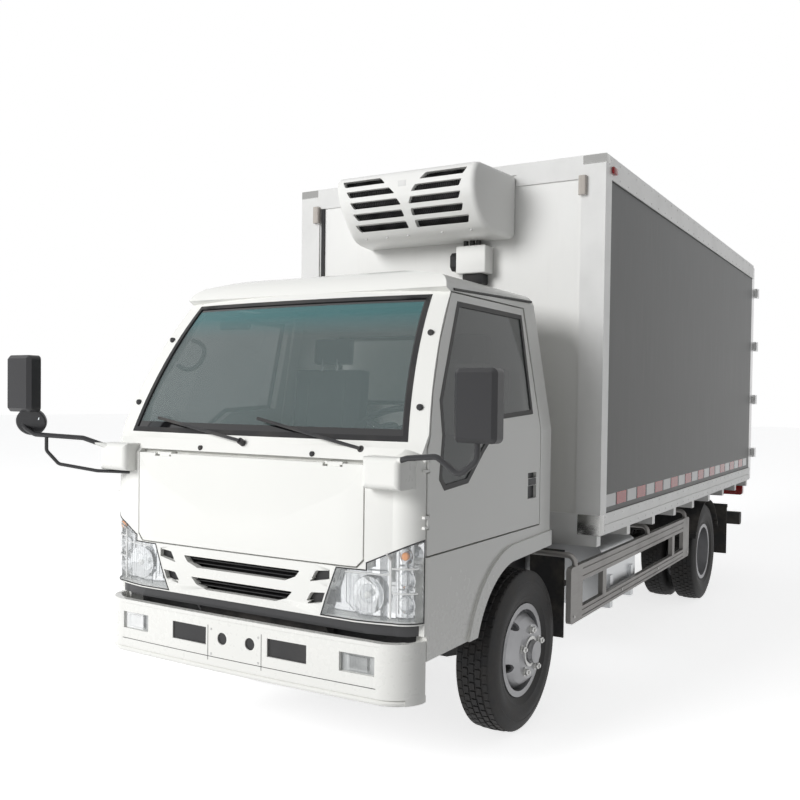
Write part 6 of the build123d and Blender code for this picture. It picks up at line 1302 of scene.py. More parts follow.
@dataclass(frozen=True)
class FrontEnd:
    """Lamp inners, and the bumper's screens, panels, rolls and joint lines."""

    bowls: tuple[Bowl, ...] = (
        Bowl("main", 0.630, 0.825, 0.074), Bowl("high", 0.782, 0.985, 0.074 * 0.42),
        Bowl("side", 0.782, 0.890, 0.074 * 0.50), Bowl("foot", 0.782, 0.795, 0.074 * 0.50),
    )
    bowl_depth: float = 0.036
    joints: tuple[float, ...] = (-0.158, 0.140)
    joint_heights: tuple[float, ...] = (0.462, 0.500, 0.540, 0.580, 0.612)
    groove_z: float = 0.478
    groove_half: float = 0.700
    roll: float = 0.013
    screen_spans: tuple[Pair, ...] = ((0.030, 0.125), (0.150, 0.375))
    screen_z: Pair = (0.500, 0.624)
    screen_depth: float = 0.005
    shelves: tuple[Point, ...] = ((0.540, 0.728, 0.912), (0.738, 0.826, 0.937), (0.738, 0.826, 0.842))
    gasket_width: float = 0.005
    gasket_wall: float = 0.0012
    lip_shares: tuple[float, ...] = (0.952, 0.964, 0.975, 0.984, 0.991, 0.997)

    def lamp_inner(self, side: str, way: int) -> None:
        """Reflector shell, bowls and bulbs of one headlamp.

        Args:
            side: The side's name.
            way: The side's sign.
        """
        skin = skin_of(f"lamp_shell_{side}", "headlamps", lambda c, n: n.y > 0.3 and c.x * way > 0)
        Bench.modify(skin, "SOLIDIFY", thickness=0.002, offset=1.0)
        Bench.hand_over(skin, "cab", Looks.CHROME)
        surface = Surface("headlamps")
        pieces = []
        for name, x, z, radius in self.bowls:
            edge = max(surface.front(way * (x + step * radius), z)[1] for step in (-1, 0, 1))
            depth = self.bowl_depth
            profile = [(0.006, radius), (0.004, radius * 0.97), (depth * 0.4, radius * 0.78),
                       (depth * 0.75, radius * 0.5), (depth * 0.93, radius * 0.2), (depth * 0.93, 0.0005)]
            pieces.append(Bench.spun(f"bowl_{name}_{side}", profile, (way * x, edge + 0.003, z), "Y", 40))
        Bench.assemble(f"lamp_bowls_{side}", pieces, "cab", Looks.CHROME)
        for (_, x, z, _), radius, look in zip(self.bowls, (0.014, 0.016), (Looks.BULB, Looks.AMBER)):
            place = surface.front(way * x, z, -0.020)
            Bench.hand_over(Bench.drum(f"bulb_{side}_{x:.2f}", place, radius, 0.018, "Y", 20, 0.005, 3), "cab", look)

    def lamp_frame(self, side: str, way: int) -> None:
        """The bars that part one headlamp into its cells, and the ribs of its lens.

        Args:
            side: The side's name.
            way: The side's sign.
        """
        surface = Surface("headlamps")
        upright = surface.run([(way * 0.732, 0.745 + 0.032 * step) for step in range(9)], -0.004)
        pieces = [Bench.tube(f"lamp_bar_{side}", upright, 0.0045)]
        for low, high, z in self.shelves:
            level = surface.run([(way * x, z) for x in steps(low, high, 7)], -0.006)
            pieces.append(Bench.tube(f"lamp_shelf_{side}", level, 0.0035))
        Bench.assemble(f"lamp_frame_{side}", pieces, "cab", Looks.RAIL)
        ribs = []
        for index in range(10):
            spots = [(way * (0.566 + 0.0155 * index), 0.762 + 0.0225 * step) for step in range(7)]
            ribs.append(Bench.tube(f"lamp_rib_{side}", surface.run(spots, -0.0008), 0.0016))
        Bench.assemble(f"lamp_ribs_{side}", ribs, "cab", Looks.LAMP)

    def dark_screens(self) -> None:
        """Black mesh and slats behind the grille's slots and the bumper's openings."""
        screen = Bench.block("grille_screen", (-0.47, 0.47), (-2.800, -2.796), (0.735, 0.925))
        Bench.hand_over(screen, "cab", Looks.LOUVRE)
        slats = [Bench.block("slat", (-0.30, 0.30), (-2.856, -2.812), (z - 0.0015, z + 0.0015))
                 for z in (0.862, 0.879, 0.770, 0.787)]
        Bench.assemble("grille_slats", slats, "cab", Looks.LOUVRE)
        surface = Surface("front_bumper")
        for side, way in SIDES:
            pieces = []
            for span in self.screen_spans:
                depth = surface.front(way * span[1], self.screen_z[0])[1] + self.screen_depth
                pieces.append(Bench.block("screen", span, (depth, depth + 0.002), self.screen_z, way=way))
            Bench.assemble(f"bumper_screens_{side}", pieces, "chassis", Looks.LOUVRE)

    def air_dam(self) -> None:
        """Black panels and a ribbed radiator between the bumper and the cab's foot."""
        core = Bench.block("radiator_face", (-0.350, 0.350), (-2.700, -2.680), (0.470, 0.668))
        Bench.inset(core, lambda c, n: n.y < -0.9, 0.020, -0.006)
        Bench.hand_over(core, "chassis", Looks.RADIATOR)
        for side, way in SIDES:
            panel = Bench.block(f"air_dam_{side}", (0.345, 0.775), (-2.700, -2.690), (0.440, 0.668), way=way)
            Bench.inset(panel, lambda c, n: n.y < -0.9, 0.030, -0.003)
            Bench.hand_over(panel, "chassis", Looks.LOUVRE)

    def bumper_seams(self) -> None:
        """The joint lines, screws and lower groove of the bumper."""
        surface = Surface("front_bumper")
        runs = [(surface.run([(x, z) for z in self.joint_heights], 0.0003), 0.0012) for x in self.joints]
        groove = [(self.groove_half * (index / 17 - 1), self.groove_z) for index in range(35)]
        runs.append((surface.run(groove, 0.0002), 0.0014))
        pieces = [Bench.tube("bumper_joint", run, radius) for run, radius in runs]
        Bench.assemble("bumper_joints", pieces, "chassis", Looks.SEAL)
        spots = [(x * 0.88, z) for x in self.joints for z in (0.490, 0.596)]
        screws = [Bench.drum("bumper_screw", place, 0.0055, 0.006, soft=0.0015) for place in surface.run(spots, -0.001)]
        Bench.assemble("bumper_screws", screws, "chassis", Looks.NUT)

    def bumper_roll(self, name: str, height: float, probe: float) -> None:
        """A roll along the inside of one of the bumper's edges.

        Args:
            name: The roll's name.
            height: The height of its middle.
            probe: The height at which the bumper's face is found.
        """
        surface = Surface("front_bumper")
        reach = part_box("front_bumper")[1][0]
        run = []
        for index in range(41):
            x = (reach - self.roll * 0.4) * math.sin(math.pi * (index / 40 - 0.5))
            run.append((x * (1 - self.roll / reach), surface.front(x, probe)[1] + self.roll * 0.85, height))
        Bench.hand_over(Bench.tube(name, run, self.roll), "chassis", Looks.WHITE)

    def bumper_edges(self) -> None:
        """The bumper's rolled edges, and the lips that carry its round ends down to its foot."""
        low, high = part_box("front_bumper")
        self.bumper_roll("bumper_roll_top", high[2] - self.roll, high[2] - self.roll * 1.6)
        self.bumper_roll("bumper_roll_foot", low[2] + self.roll + 0.001, low[2] + self.roll * 5)
        surface = Surface("front_bumper")
        end = high[1] - 0.001
        for side, way in SIDES:
            reaches = [high[0] * share for share in self.lip_shares]
            face = [(x, surface.front(way * x, low[2] + 0.05)[1] + 0.0012) for x in reaches]
            back = [(x - 0.008, min(y + 0.012, end)) for x, y in reversed(face)]
            outline = face + [(reaches[-1], end), (reaches[-1] - 0.008, end)] + back
            turned = [(way * x, y) for x, y in outline][::way]
            lip = Bench.prism(f"bumper_lip_{side}", turned, "Z", low[2] + 0.002, low[2] + 0.0285)
            Bench.hand_over(lip, "chassis", Looks.WHITE)

    def build(self) -> None:
        """Makes the front end's pieces."""
        self.bumper_edges()
        for side, way in SIDES:
            self.lamp_inner(side, way)
        for side, way in SIDES:
            gasket = ring_on(f"lamp_gasket_{side}", "headlamps", lambda c, n: n.y < -0.25 and c.x * way > 0,
                             self.gasket_width, self.gasket_wall)
            Bench.hand_over(gasket, "cab", Looks.SEAL)
        for side, way in SIDES:
            self.lamp_frame(side, way)
        self.dark_screens()
        self.air_dam()
        self.bumper_seams()


@dataclass(frozen=True)
class Grille:
    """The front grille with its two long slots and four short ones."""

    long_slots: tuple[tuple[Pair, ...], ...] = (
        ((-0.322, 0.892), (0.322, 0.892), (0.300, 0.866), (0.245, 0.845), (-0.245, 0.845), (-0.300, 0.866)),
        ((-0.281, 0.801), (0.281, 0.801), (0.252, 0.771), (0.192, 0.752), (-0.192, 0.752), (-0.252, 0.771)),
    )
    short_slots: tuple[tuple[Pair, ...], ...] = (
        ((0.402, 0.902), (0.464, 0.908), (0.464, 0.876), (0.382, 0.868)),
        ((0.378, 0.812), (0.462, 0.819), (0.462, 0.785), (0.354, 0.775)),
    )
    corner: float = 0.006
    reach: float = 0.09
    screen_depth: float = 0.020
    screen_x: Pair = (0.335, 0.480)
    screen_half: float = 0.030

    def cutter(self, outline: Sequence[Pair]) -> Thing:
        """The tool of one slot."""
        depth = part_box("grille")[0][1]
        return Bench.bevel(Bench.prism("slot", outline, "Y", depth - self.reach, depth + self.reach), self.corner, 3)

    def build(self) -> None:
        """Makes the grille and the dark screens behind its short slots."""
        surface = Surface("grille")
        shell = loose_copy("grille_shell", "grille")
        cutters = [self.cutter(outline) for outline in self.long_slots]
        screens = []
        for outline in self.short_slots:
            for _, way in SIDES:
                cutters.append(self.cutter([(way * x, z) for x, z in outline]))
                z = sum(z for _, z in outline) / len(outline)
                depth = surface.front(way * (max(x for x, _ in outline) + 0.008), z)[1] + self.screen_depth
                heights = (z - self.screen_half, z + self.screen_half)
                screens.append(Bench.block("screen", self.screen_x, (depth, depth + 0.002), heights, way=way))
        Bench.hand_over(Bench.cut(shell, cutters), "cab", Looks.WHITE, "grille")
        Bench.assemble("grille_screens", screens, "cab", Looks.LOUVRE)


# Wheels


@dataclass(frozen=True)
class Wheels:
    """Treaded tyres in place of the plain ones, and nuts and rings on the hubs."""

    radius: float = 0.3875
    width: float = 0.200
    bead_radius: float = 0.222
    bead_width: float = 0.142
    tread_half: float = 0.079
    rows: tuple[float, ...] = (-0.064, -0.032, 0.0, 0.032, 0.064)
    row_half: float = 0.0125
    blocks: int = 56
    block_depth: float = 0.010
    nut_circle: float = 0.104
    nuts: int = 5

    def carcass(self) -> Thing:
        """The tyre's spun body with its rim lip, side rings and shoulder.

        Returns:
            The body as a mesh object.
        """
        base = self.radius - self.block_depth
        half = self.width / 2
        bead = self.bead_width / 2
        lips = ((0.0, 0.0), (0.006, 0.004), (0.010, 0.014), (0.019, 0.034), (0.0205, 0.036), (0.0205, 0.039))
        walls = ((0.003, 0.285), (0.0, 0.300), (0.001, 0.318), (0.004, 0.330), (0.0025, 0.332), (0.0035, 0.336),
                 (0.009, 0.352))
        side = [(bead + x, self.bead_radius + r) for x, r in lips] + [(half - x, r) for x, r in walls]
        side += [(self.tread_half + 0.005, base - 0.006), (self.tread_half, base), (0.0, base + 0.0045)]
        profile = side + [(-x, r) for x, r in reversed(side[:-1])]
        return Bench.spun("tyre_carcass", profile, (0.0, 0.0, 0.0), "X", 96)

    def tread(self) -> Thing:
        """Blocks in rows round the tread, every second row half a block further round.

        Returns:
            The blocks as one piece.
        """
        pieces = []
        length = math.tau * self.radius / self.blocks * 0.80
        for row, x in enumerate(self.rows):
            top = self.radius - 0.0008 - (x / self.tread_half) ** 2 * 0.0085
            span = (x - self.row_half, x + self.row_half)
            block = Bench.block("block", span, (-length / 2, length / 2), (top - 0.016, top), 0.0015, 1)
            for index in range(self.blocks):
                turn = Matrix.Rotation((index + 0.5 * (row % 2)) * math.tau / self.blocks, 4, "X")
                pieces.append(Bench.copy(block, f"tread_{row}.{index:03d}", turn=turn))
            bpy.data.objects.remove(block)
        return Bench.join("tyre_tread", pieces)

    def tyres(self) -> None:
        """Every tyre, copied from one."""
        pattern = Bench.join("tyre_pattern", [self.carcass(), self.tread()])
        for side, _ in SIDES:
            node = f"tyre_front_{side}"
            tyre = Bench.copy(pattern, f"tyre_look_front_{side}", middle_of(node))
            Bench.hand_over(tyre, f"wheel_front_{side}", Looks.TYRE, node)
            node = f"tyres_rear_{side}"
            low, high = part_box(node)
            y, z = middle_of(node)[1:]
            ends = (low[0] + self.width / 2, high[0] - self.width / 2)
            twins = [Bench.copy(pattern, "twin", (x, y, z)) for x in ends]
            Bench.assemble(f"tyre_look_rear_{side}", twins, f"wheels_rear_{side}", Looks.TYRE, node)
        flat = Matrix.Rotation(math.pi / 2, 4, "Y")
        spare = Bench.copy(pattern, "tyre_look_spare", middle_of("spare_tyre"), flat)
        Bench.hand_over(spare, "chassis", Looks.TYRE, "spare_tyre")
        bpy.data.objects.remove(pattern)

    def nut(self) -> Thing:
        """One wheel nut on its washer with its stud, about the X axis at the origin.

        Returns:
            The nut as one piece.
        """
        washer = Bench.drum("washer", (0.0015, 0.0, 0.0), 0.021, 0.005, "X", 24)
        hexagon = Bench.drum("hexagon", (0.013, 0.0, 0.0), 0.0165, 0.020, "X", 6, 0.0015, 1)
        stud = Bench.drum("stud", (0.021, 0.0, 0.0), 0.0085, 0.016, "X")
        return Bench.join("wheel_nut", [washer, hexagon, stud])

    def hub(self, name: str, rim: str, tyre: str, way: int, body: str) -> None:
        """Nuts and ring of one wheel's visible face.

        Args:
            name: The piece's name.
            rim: The rim's node.
            tyre: The tyre's node, whose middle is the wheel's.
            way: The truck's side, 1 or -1.
            body: The body it rides on.
        """
        y, z = middle_of(tyre)[1:]
        angles = [math.tau * index / self.nuts + math.pi / 2 for index in range(self.nuts)]
        spots = [(0.0, self.nut_circle * math.cos(angle), self.nut_circle * math.sin(angle)) for angle in angles]
        pieces = Bench.repeat(self.nut(), spots)
        profile = [(-0.001, 0.072), (0.006, 0.072), (0.008, 0.068), (0.008, 0.058), (-0.001, 0.056)]
        pieces.append(Bench.spun("hub_ring", profile, (0.0, 0.0, 0.0), "X"))
        piece = Bench.mirrored(Bench.join(name, pieces), way)
        face = Surface(rim).side(way, y, z + self.nut_circle)
        piece.data.transform(Matrix.Translation((face.x, y, z)))
        Bench.hand_over(piece, body, Looks.NUT)

    def build(self) -> None:
        """Makes the wheels' pieces."""
        self.tyres()
        for side, way in SIDES:
            self.hub(f"hub_front_{side}", f"rim_front_{side}", "tyre_front_left", way, f"wheel_front_{side}")
            self.hub(f"hub_rear_{side}", f"rims_rear_{side}", "tyres_rear_left", way, f"wheels_rear_{side}")


# Box


@dataclass(frozen=True)
class BoxTrim:
    """Reflective tape, corner caps, rivets, seams, markers and door seals of the box."""

    tape_z: Pair = (1.020, 1.088)
    tape_start: float = -1.130
    tape_pitch: float = 0.190
    tape_length: float = 0.168
    tape_wall: float = 0.0012
    rivet_pitch: float = 0.150
    cap_size: float = 0.130
    cap_wall: float = 0.002
    seal_y: float = 3.0702
    seal_x: float = 0.931
    seal_z: Pair = (0.993, 2.787)

    def tape(self) -> None:
        """Red and white strips along both long sides."""
        face, back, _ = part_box("box_walls")[1]
        count = int((back - self.tape_start) / self.tape_pitch)
        starts = [self.tape_start + index * self.tape_pitch for index in range(count)]
        for side, way in SIDES:
            for look, first in ((Looks.TAPE_RED, 1), (Looks.TAPE_WHITE, 0)):
                strips = [Bench.block("strip", (face, face + self.tape_wall), (start, start + self.tape_length),
                                      self.tape_z, way=way) for start in starts[first::2]]
                Bench.assemble(f"{look.value.name}_{side}", strips, "chassis", look)

    def corner_caps(self) -> None:
        """Bright caps over the front top corners and the front foot corners."""
        low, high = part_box("box_rails")
        front = low[1] - self.cap_wall
        for side, way in SIDES:
            xs = (high[0] - self.cap_size, high[0] + self.cap_wall)
            for name, zs in (("top", (high[2] - 0.050, high[2])), ("foot", (low[2], low[2] + 0.112))):
                cap = Bench.block(f"corner_cap_{name}_{side}", xs, (front, front + 0.070), zs, 0.006, way=way)
                Bench.hand_over(cap, "chassis", Looks.CAP)

    def rivets(self) -> None:
        """Rivets along the rails of both sides."""
        low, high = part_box("box_rails")
        count = int((high[1] - low[1] - 0.1) / self.rivet_pitch)
        heights = (high[2] - 0.022, high[2] - 0.100, low[2] + 0.022, low[2] + 0.094)
        moves = [(0.0, index * self.rivet_pitch, z) for index in range(count) for z in heights]
        for side, way in SIDES:
            place = (way * (high[0] + 0.0008), low[1] + 0.08, 0.0)
            first = Bench.drum("rivet", place, 0.005, 0.0036, "X", 12, 0.0012, 1)
            Bench.assemble(f"rail_rivets_{side}", Bench.repeat(first, moves), "chassis", Looks.NUT)

    def seams(self) -> None:
        """Dark sealant where the side walls meet their rails."""
        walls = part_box("box_walls")
        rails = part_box("box_rails")
        top, foot = rails[1][2] - 0.122, rails[0][2] + 0.112
        front, back = walls[0][1] + 0.078, walls[1][1] - 0.002
        lines = (((front, foot), (front, top)), ((front, top), (back, top)), ((front, foot), (back, foot)))
        for side, way in SIDES:
            x = way * (walls[1][0] + 0.0004)
            pieces = [Bench.tube("seam", [(x, *spot) for spot in line], 0.0035) for line in lines]
            Bench.assemble(f"wall_seams_{side}", pieces, "chassis", Looks.SEAL)

    def side_markers(self) -> None:
        """Small red lamps high on the sides."""
        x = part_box("box_rails")[1][0]
        for side, way in SIDES:
            lamp = Bench.block(f"side_marker_{side}", (x, x + 0.014), (-1.150, -1.085), (2.812, 2.848), 0.005, way=way)
            Bench.hand_over(lamp, "chassis", Looks.RED)

    def door_seals(self) -> None:
        """The black rubber round the two rear doors."""
        foot, top = self.seal_z
        for side, way in SIDES:
            inner = min(abs(corner[0]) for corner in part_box(f"rear_door_{side}"))
            outline = ((inner, foot), (self.seal_x, foot), (self.seal_x, top), (inner, top))
            corners = [(way * x, self.seal_y, z) for x, z in outline]
            seal = Bench.tube(f"door_seal_{side}", corners, 0.006, closed=True)
            Bench.hand_over(seal, f"cargo_door_{side}", Looks.SEAL)

    def build(self) -> None:
        """Makes the box's trims."""
        self.tape()
        self.corner_caps()
        self.rivets()
        self.seams()
        self.side_markers()
        self.door_seals()


# Seats


@dataclass(frozen=True)
class SeatSet:
    """Two padded seats in place of the plain ones."""

    width: float = 0.48
    lean: float = math.radians(5.5)
    fill: float = 0.30

    @staticmethod
    def cushion(name: str, xs: Pair, ys: Pair, zs: Pair, turn: Matrix) -> Thing:
        """One stuffed cushion with crowned faces, a squab with bolsters at its sides.

        Args:
            name: The cushion's name.
            xs: Its two sides.
            ys: Its front and back before it leans.
            zs: Its foot and top before it leans.
            turn: How it leans.

        Returns:
            The cushion as a mesh object.
        """
        cushion = Bench.block(name, xs, ys, zs)
        Bench.pick(cushion)
        bpy.ops.mesh.subdivide(number_cuts=7)
        Bench.done()
        middle = [(a + b) / 2 for a, b in (xs, ys, zs)]
        half = [(b - a) / 2 for a, b in (xs, ys, zs)]
        thin = half.index(min(half))
        for vertex in cushion.data.vertices:
            share = [(vertex.co[i] - middle[i]) / half[i] for i in range(3)]
            flat = [share[i] for i in range(3) if i != thin]
            crown = (1.0 - flat[0] ** 4) * (1.0 - flat[1] ** 4)
            bolster = 0.35 * max(0.0, abs(flat[0]) - 0.55) if name.startswith("squab") else 0.0
            vertex.co[thin] = middle[thin] + share[thin] * half[thin] * (0.72 + 0.28 * crown + bolster * 0.4)
        Bench.bevel(cushion, 0.02, 3, 0.9)
        Bench.modify(cushion, "SUBSURF", levels=2, render_levels=2)
        cushion.data.transform(turn)
        return cushion

    def seat(self, side: str, way: int) -> Thing:
        """One seat's cushions, piping and posts.

        Args:
            side: The side's name.
            way: The side's sign.

        Returns:
            The seat's stand, not yet handed over.
        """
        low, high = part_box("seats")
        x = way * (high[0] - self.width / 2)
        half = self.width / 2 - 0.012
        front = low[1] + 0.004
        top = low[2] + 0.325
        wide = (x - half, x + half)
        pivot = (x, front + 0.452, top - 0.05)
        lean = Matrix.Rotation(-self.lean, 4, "X")
        turn = Matrix.Translation(pivot) @ lean @ Matrix.Translation([-c for c in pivot])
        pan = self.cushion(f"pan_{side}", wide, (front, front + 0.452), (top - 0.105, top - 0.006), Matrix())
        squab = self.cushion(f"squab_{side}", wide, (front + 0.458, front + 0.560), (top - 0.045, top + 0.455), turn)
        rest = self.cushion(f"headrest_{side}", (x - 0.118, x + 0.118), (front + 0.470, front + 0.548),
                            (top + 0.490, top + 0.630), turn)
        lines = []
        for share in (-0.55, 0.55):
            run = [(x + share * half, front + 0.462 - bow, top + 0.06 + up)
                   for up, bow in ((0.0, 0.0), (0.165, 0.004), (0.33, 0.0))]
            lines.append(Bench.tube("piping", run, 0.0035, True))
            lines[-1].data.transform(turn)
        seams = Bench.join(f"seat_piping_{side}", lines)
        for cushion in (pan, squab, rest):
            Bench.hand_over(cushion, "cab", Looks.SEAT, "seats")
        Bench.hand_over(seams, "cab", Looks.TRIM)
        ends = ((front + 0.522, top + 0.42), (front + 0.533, top + 0.52))
        posts = [Bench.tube("post", [(x + offset, *end) for end in ends], 0.006) for offset in (-0.05, 0.05)]
        Bench.assemble(f"headrest_posts_{side}", posts, "cab", Looks.CHROME_BAR)
        return Bench.block("stand", (0.332, 0.668), (front + 0.01, front + 0.44), (low[2], top - 0.108), 0.01, 2, way)

    def build(self) -> None:
        """Makes both seats."""
        stands = [self.seat(side, way) for side, way in SIDES]
        Bench.assemble("seat_stands", stands, "cab", Looks.TRIM_DARK, "seats")


# Cooling unit


class SlotRow(NamedTuple):
    """One row of the unit's slots on both sides of its middle plate."""

    height: float
    inner: float
    outer: float
    slant: float


@dataclass(frozen=True)
class CoolingUnit:
    """The unit's rounded cover with its slots, the core behind them, and its hoses."""

    half: float = 0.490
    front_taper: float = 0.040
    foot_taper: float = 0.045
    wall_y: float = -1.2295
    front_y: float = -1.6445
    top: float = 2.838
    foot: float = 2.488
    slot_height: float = 0.034
    slot_lean: float = 0.010
    core_share: float = 0.90
    fin_pitch: float = 0.0115
    profile: tuple[Pair, ...] = (
        (-1.2295, 2.838), (-1.580, 2.838), (-1.612, 2.831), (-1.634, 2.810), (-1.6445, 2.776), (-1.6445, 2.735),
        (-1.636, 2.697), (-1.620, 2.660), (-1.597, 2.622), (-1.568, 2.585), (-1.535, 2.550), (-1.500, 2.520),
        (-1.455, 2.497), (-1.400, 2.488), (-1.2295, 2.488),
    )
    rows: tuple[SlotRow, ...] = (
        SlotRow(2.787, 0.127, 0.396, 0.018), SlotRow(2.728, 0.068, 0.368, 0.016), SlotRow(2.669, 0.034, 0.354, 0.010),
        SlotRow(2.612, 0.027, 0.354, 0.002), SlotRow(2.558, 0.027, 0.368, 0.002),
    )
    cover_low: Point = (0.165, -1.332, 2.300)
    cover_high: Point = (0.352, -1.229, 2.455)
    hose_places: tuple[float, ...] = (0.205, 0.245, 0.285)
    screw_places: tuple[float, ...] = (-0.34, -0.20, -0.06, 0.16, 0.34)

    def taper(self, thing: Thing, share: float = 1.0) -> None:
        """Narrows a prism towards its front and its foot.

        Args:
            thing: The prism.
            share: Its share of the cover's width.
        """
        for vertex in thing.data.vertices:
            forward = (self.wall_y - vertex.co.y) / (self.wall_y - self.front_y)
            down = (self.top - vertex.co.z) / (self.top - self.foot)
            width = self.half - self.front_taper * forward - self.foot_taper * forward * down
            vertex.co.x = math.copysign(width * share, vertex.co.x)

    def slot(self, row: SlotRow, way: int) -> Thing:
        """The cutter of one slot.

        Args:
            row: The slot's row.
            way: The side's sign.

        Returns:
            The cutter.
        """
        foot, top = row.height - self.slot_height / 2, row.height + self.slot_height / 2
        outline = [(row.outer, top), (row.outer - self.slot_lean * 2, foot), (row.inner - row.slant, foot),
                   (row.inner + row.slant, top)]
        turned = [(way * x, z) for x, z in outline]
        return Bench.bevel(Bench.prism("slot", turned, "Y", self.front_y - 0.1, self.front_y + 0.2), 0.008, 3)

    def housing(self) -> None:
        """The cover with its ten slots."""
        shell = Bench.prism("unit_cover", self.profile, "X", -self.half, self.half)
        self.taper(shell)
        Bench.bevel(shell, 0.028, 5)
        Bench.cut(shell, [self.slot(row, way) for row in self.rows for way in (1, -1)])
        Bench.hand_over(shell, "chassis", Looks.UNIT, "unit_housing")

    def inside(self, depth: float, height: float) -> list[Pair]:
        """The cover's profile drawn in towards the box's wall by two shares."""
        y, z = self.wall_y + 0.01, (self.top + self.foot) / 2
        return [(y + (a - y) * depth, z + (b - z) * height) for a, b in self.profile]

    def core(self) -> None:
        """The dark core that shows through the slots, with upright fins."""
        width = self.half * self.core_share
        core = Bench.prism("unit_core", self.inside(0.935, 0.86), "X", -width, width)
        self.taper(core, self.core_share)
        Bench.hand_over(core, "chassis", Looks.LOUVRE, "unit_coil")
        count = int(width * 1.8 / self.fin_pitch)
        fin = Bench.prism("unit_fin", self.inside(0.952, 0.88), "X", -0.0012, 0.0012)
        moves = [((index - (count - 1) / 2) * self.fin_pitch, 0.0, 0.0) for index in range(count)]
        Bench.assemble("unit_fins", Bench.repeat(fin, moves), "chassis", Looks.COIL)

    def fittings(self) -> None:
        """A blank plate on the cover's middle, and screws along its foot."""
        plate = Bench.block("unit_plate", (-0.026, 0.026), (self.front_y - 0.0012, self.front_y + 0.004),
                            (2.742, 2.774), 0.0006, 2)
        Bench.hand_over(plate, "chassis", Looks.RAIL)
        pieces = [Bench.drum("unit_screw", (x, -1.482, 2.512), 0.008, 0.010, soft=0.002) for x in self.screw_places]
        Bench.assemble("unit_screws", pieces, "chassis", Looks.NUT)

    def hoses(self) -> None:
        """Insulated hoses from under the unit into their cover, and a grommet below it."""
        low, high = self.cover_low, self.cover_high
        ends = (self.foot + 0.02, high[2] - 0.02)
        pieces = [Bench.tube("unit_hose", [(x, -1.285, z) for z in ends], 0.014) for x in self.hose_places]
        pieces.append(Bench.block("hose_grommet", (low[0] + 0.03, high[0] - 0.03), (low[1] + 0.02, high[1]),
                                  (low[2] - 0.060, low[2] + 0.01), 0.012))
        Bench.assemble("unit_hoses", pieces, "chassis", Looks.SEAL)
        Bench.hand_over(Bench.block("hose_cover", *zip(low, high), 0.008), "chassis", Looks.UNIT)

    def build(self) -> None:
        """Makes the unit's pieces."""
        self.housing()
        self.core()
        self.fittings()
        self.hoses()


# Mirrors, pillars and the cab's inside


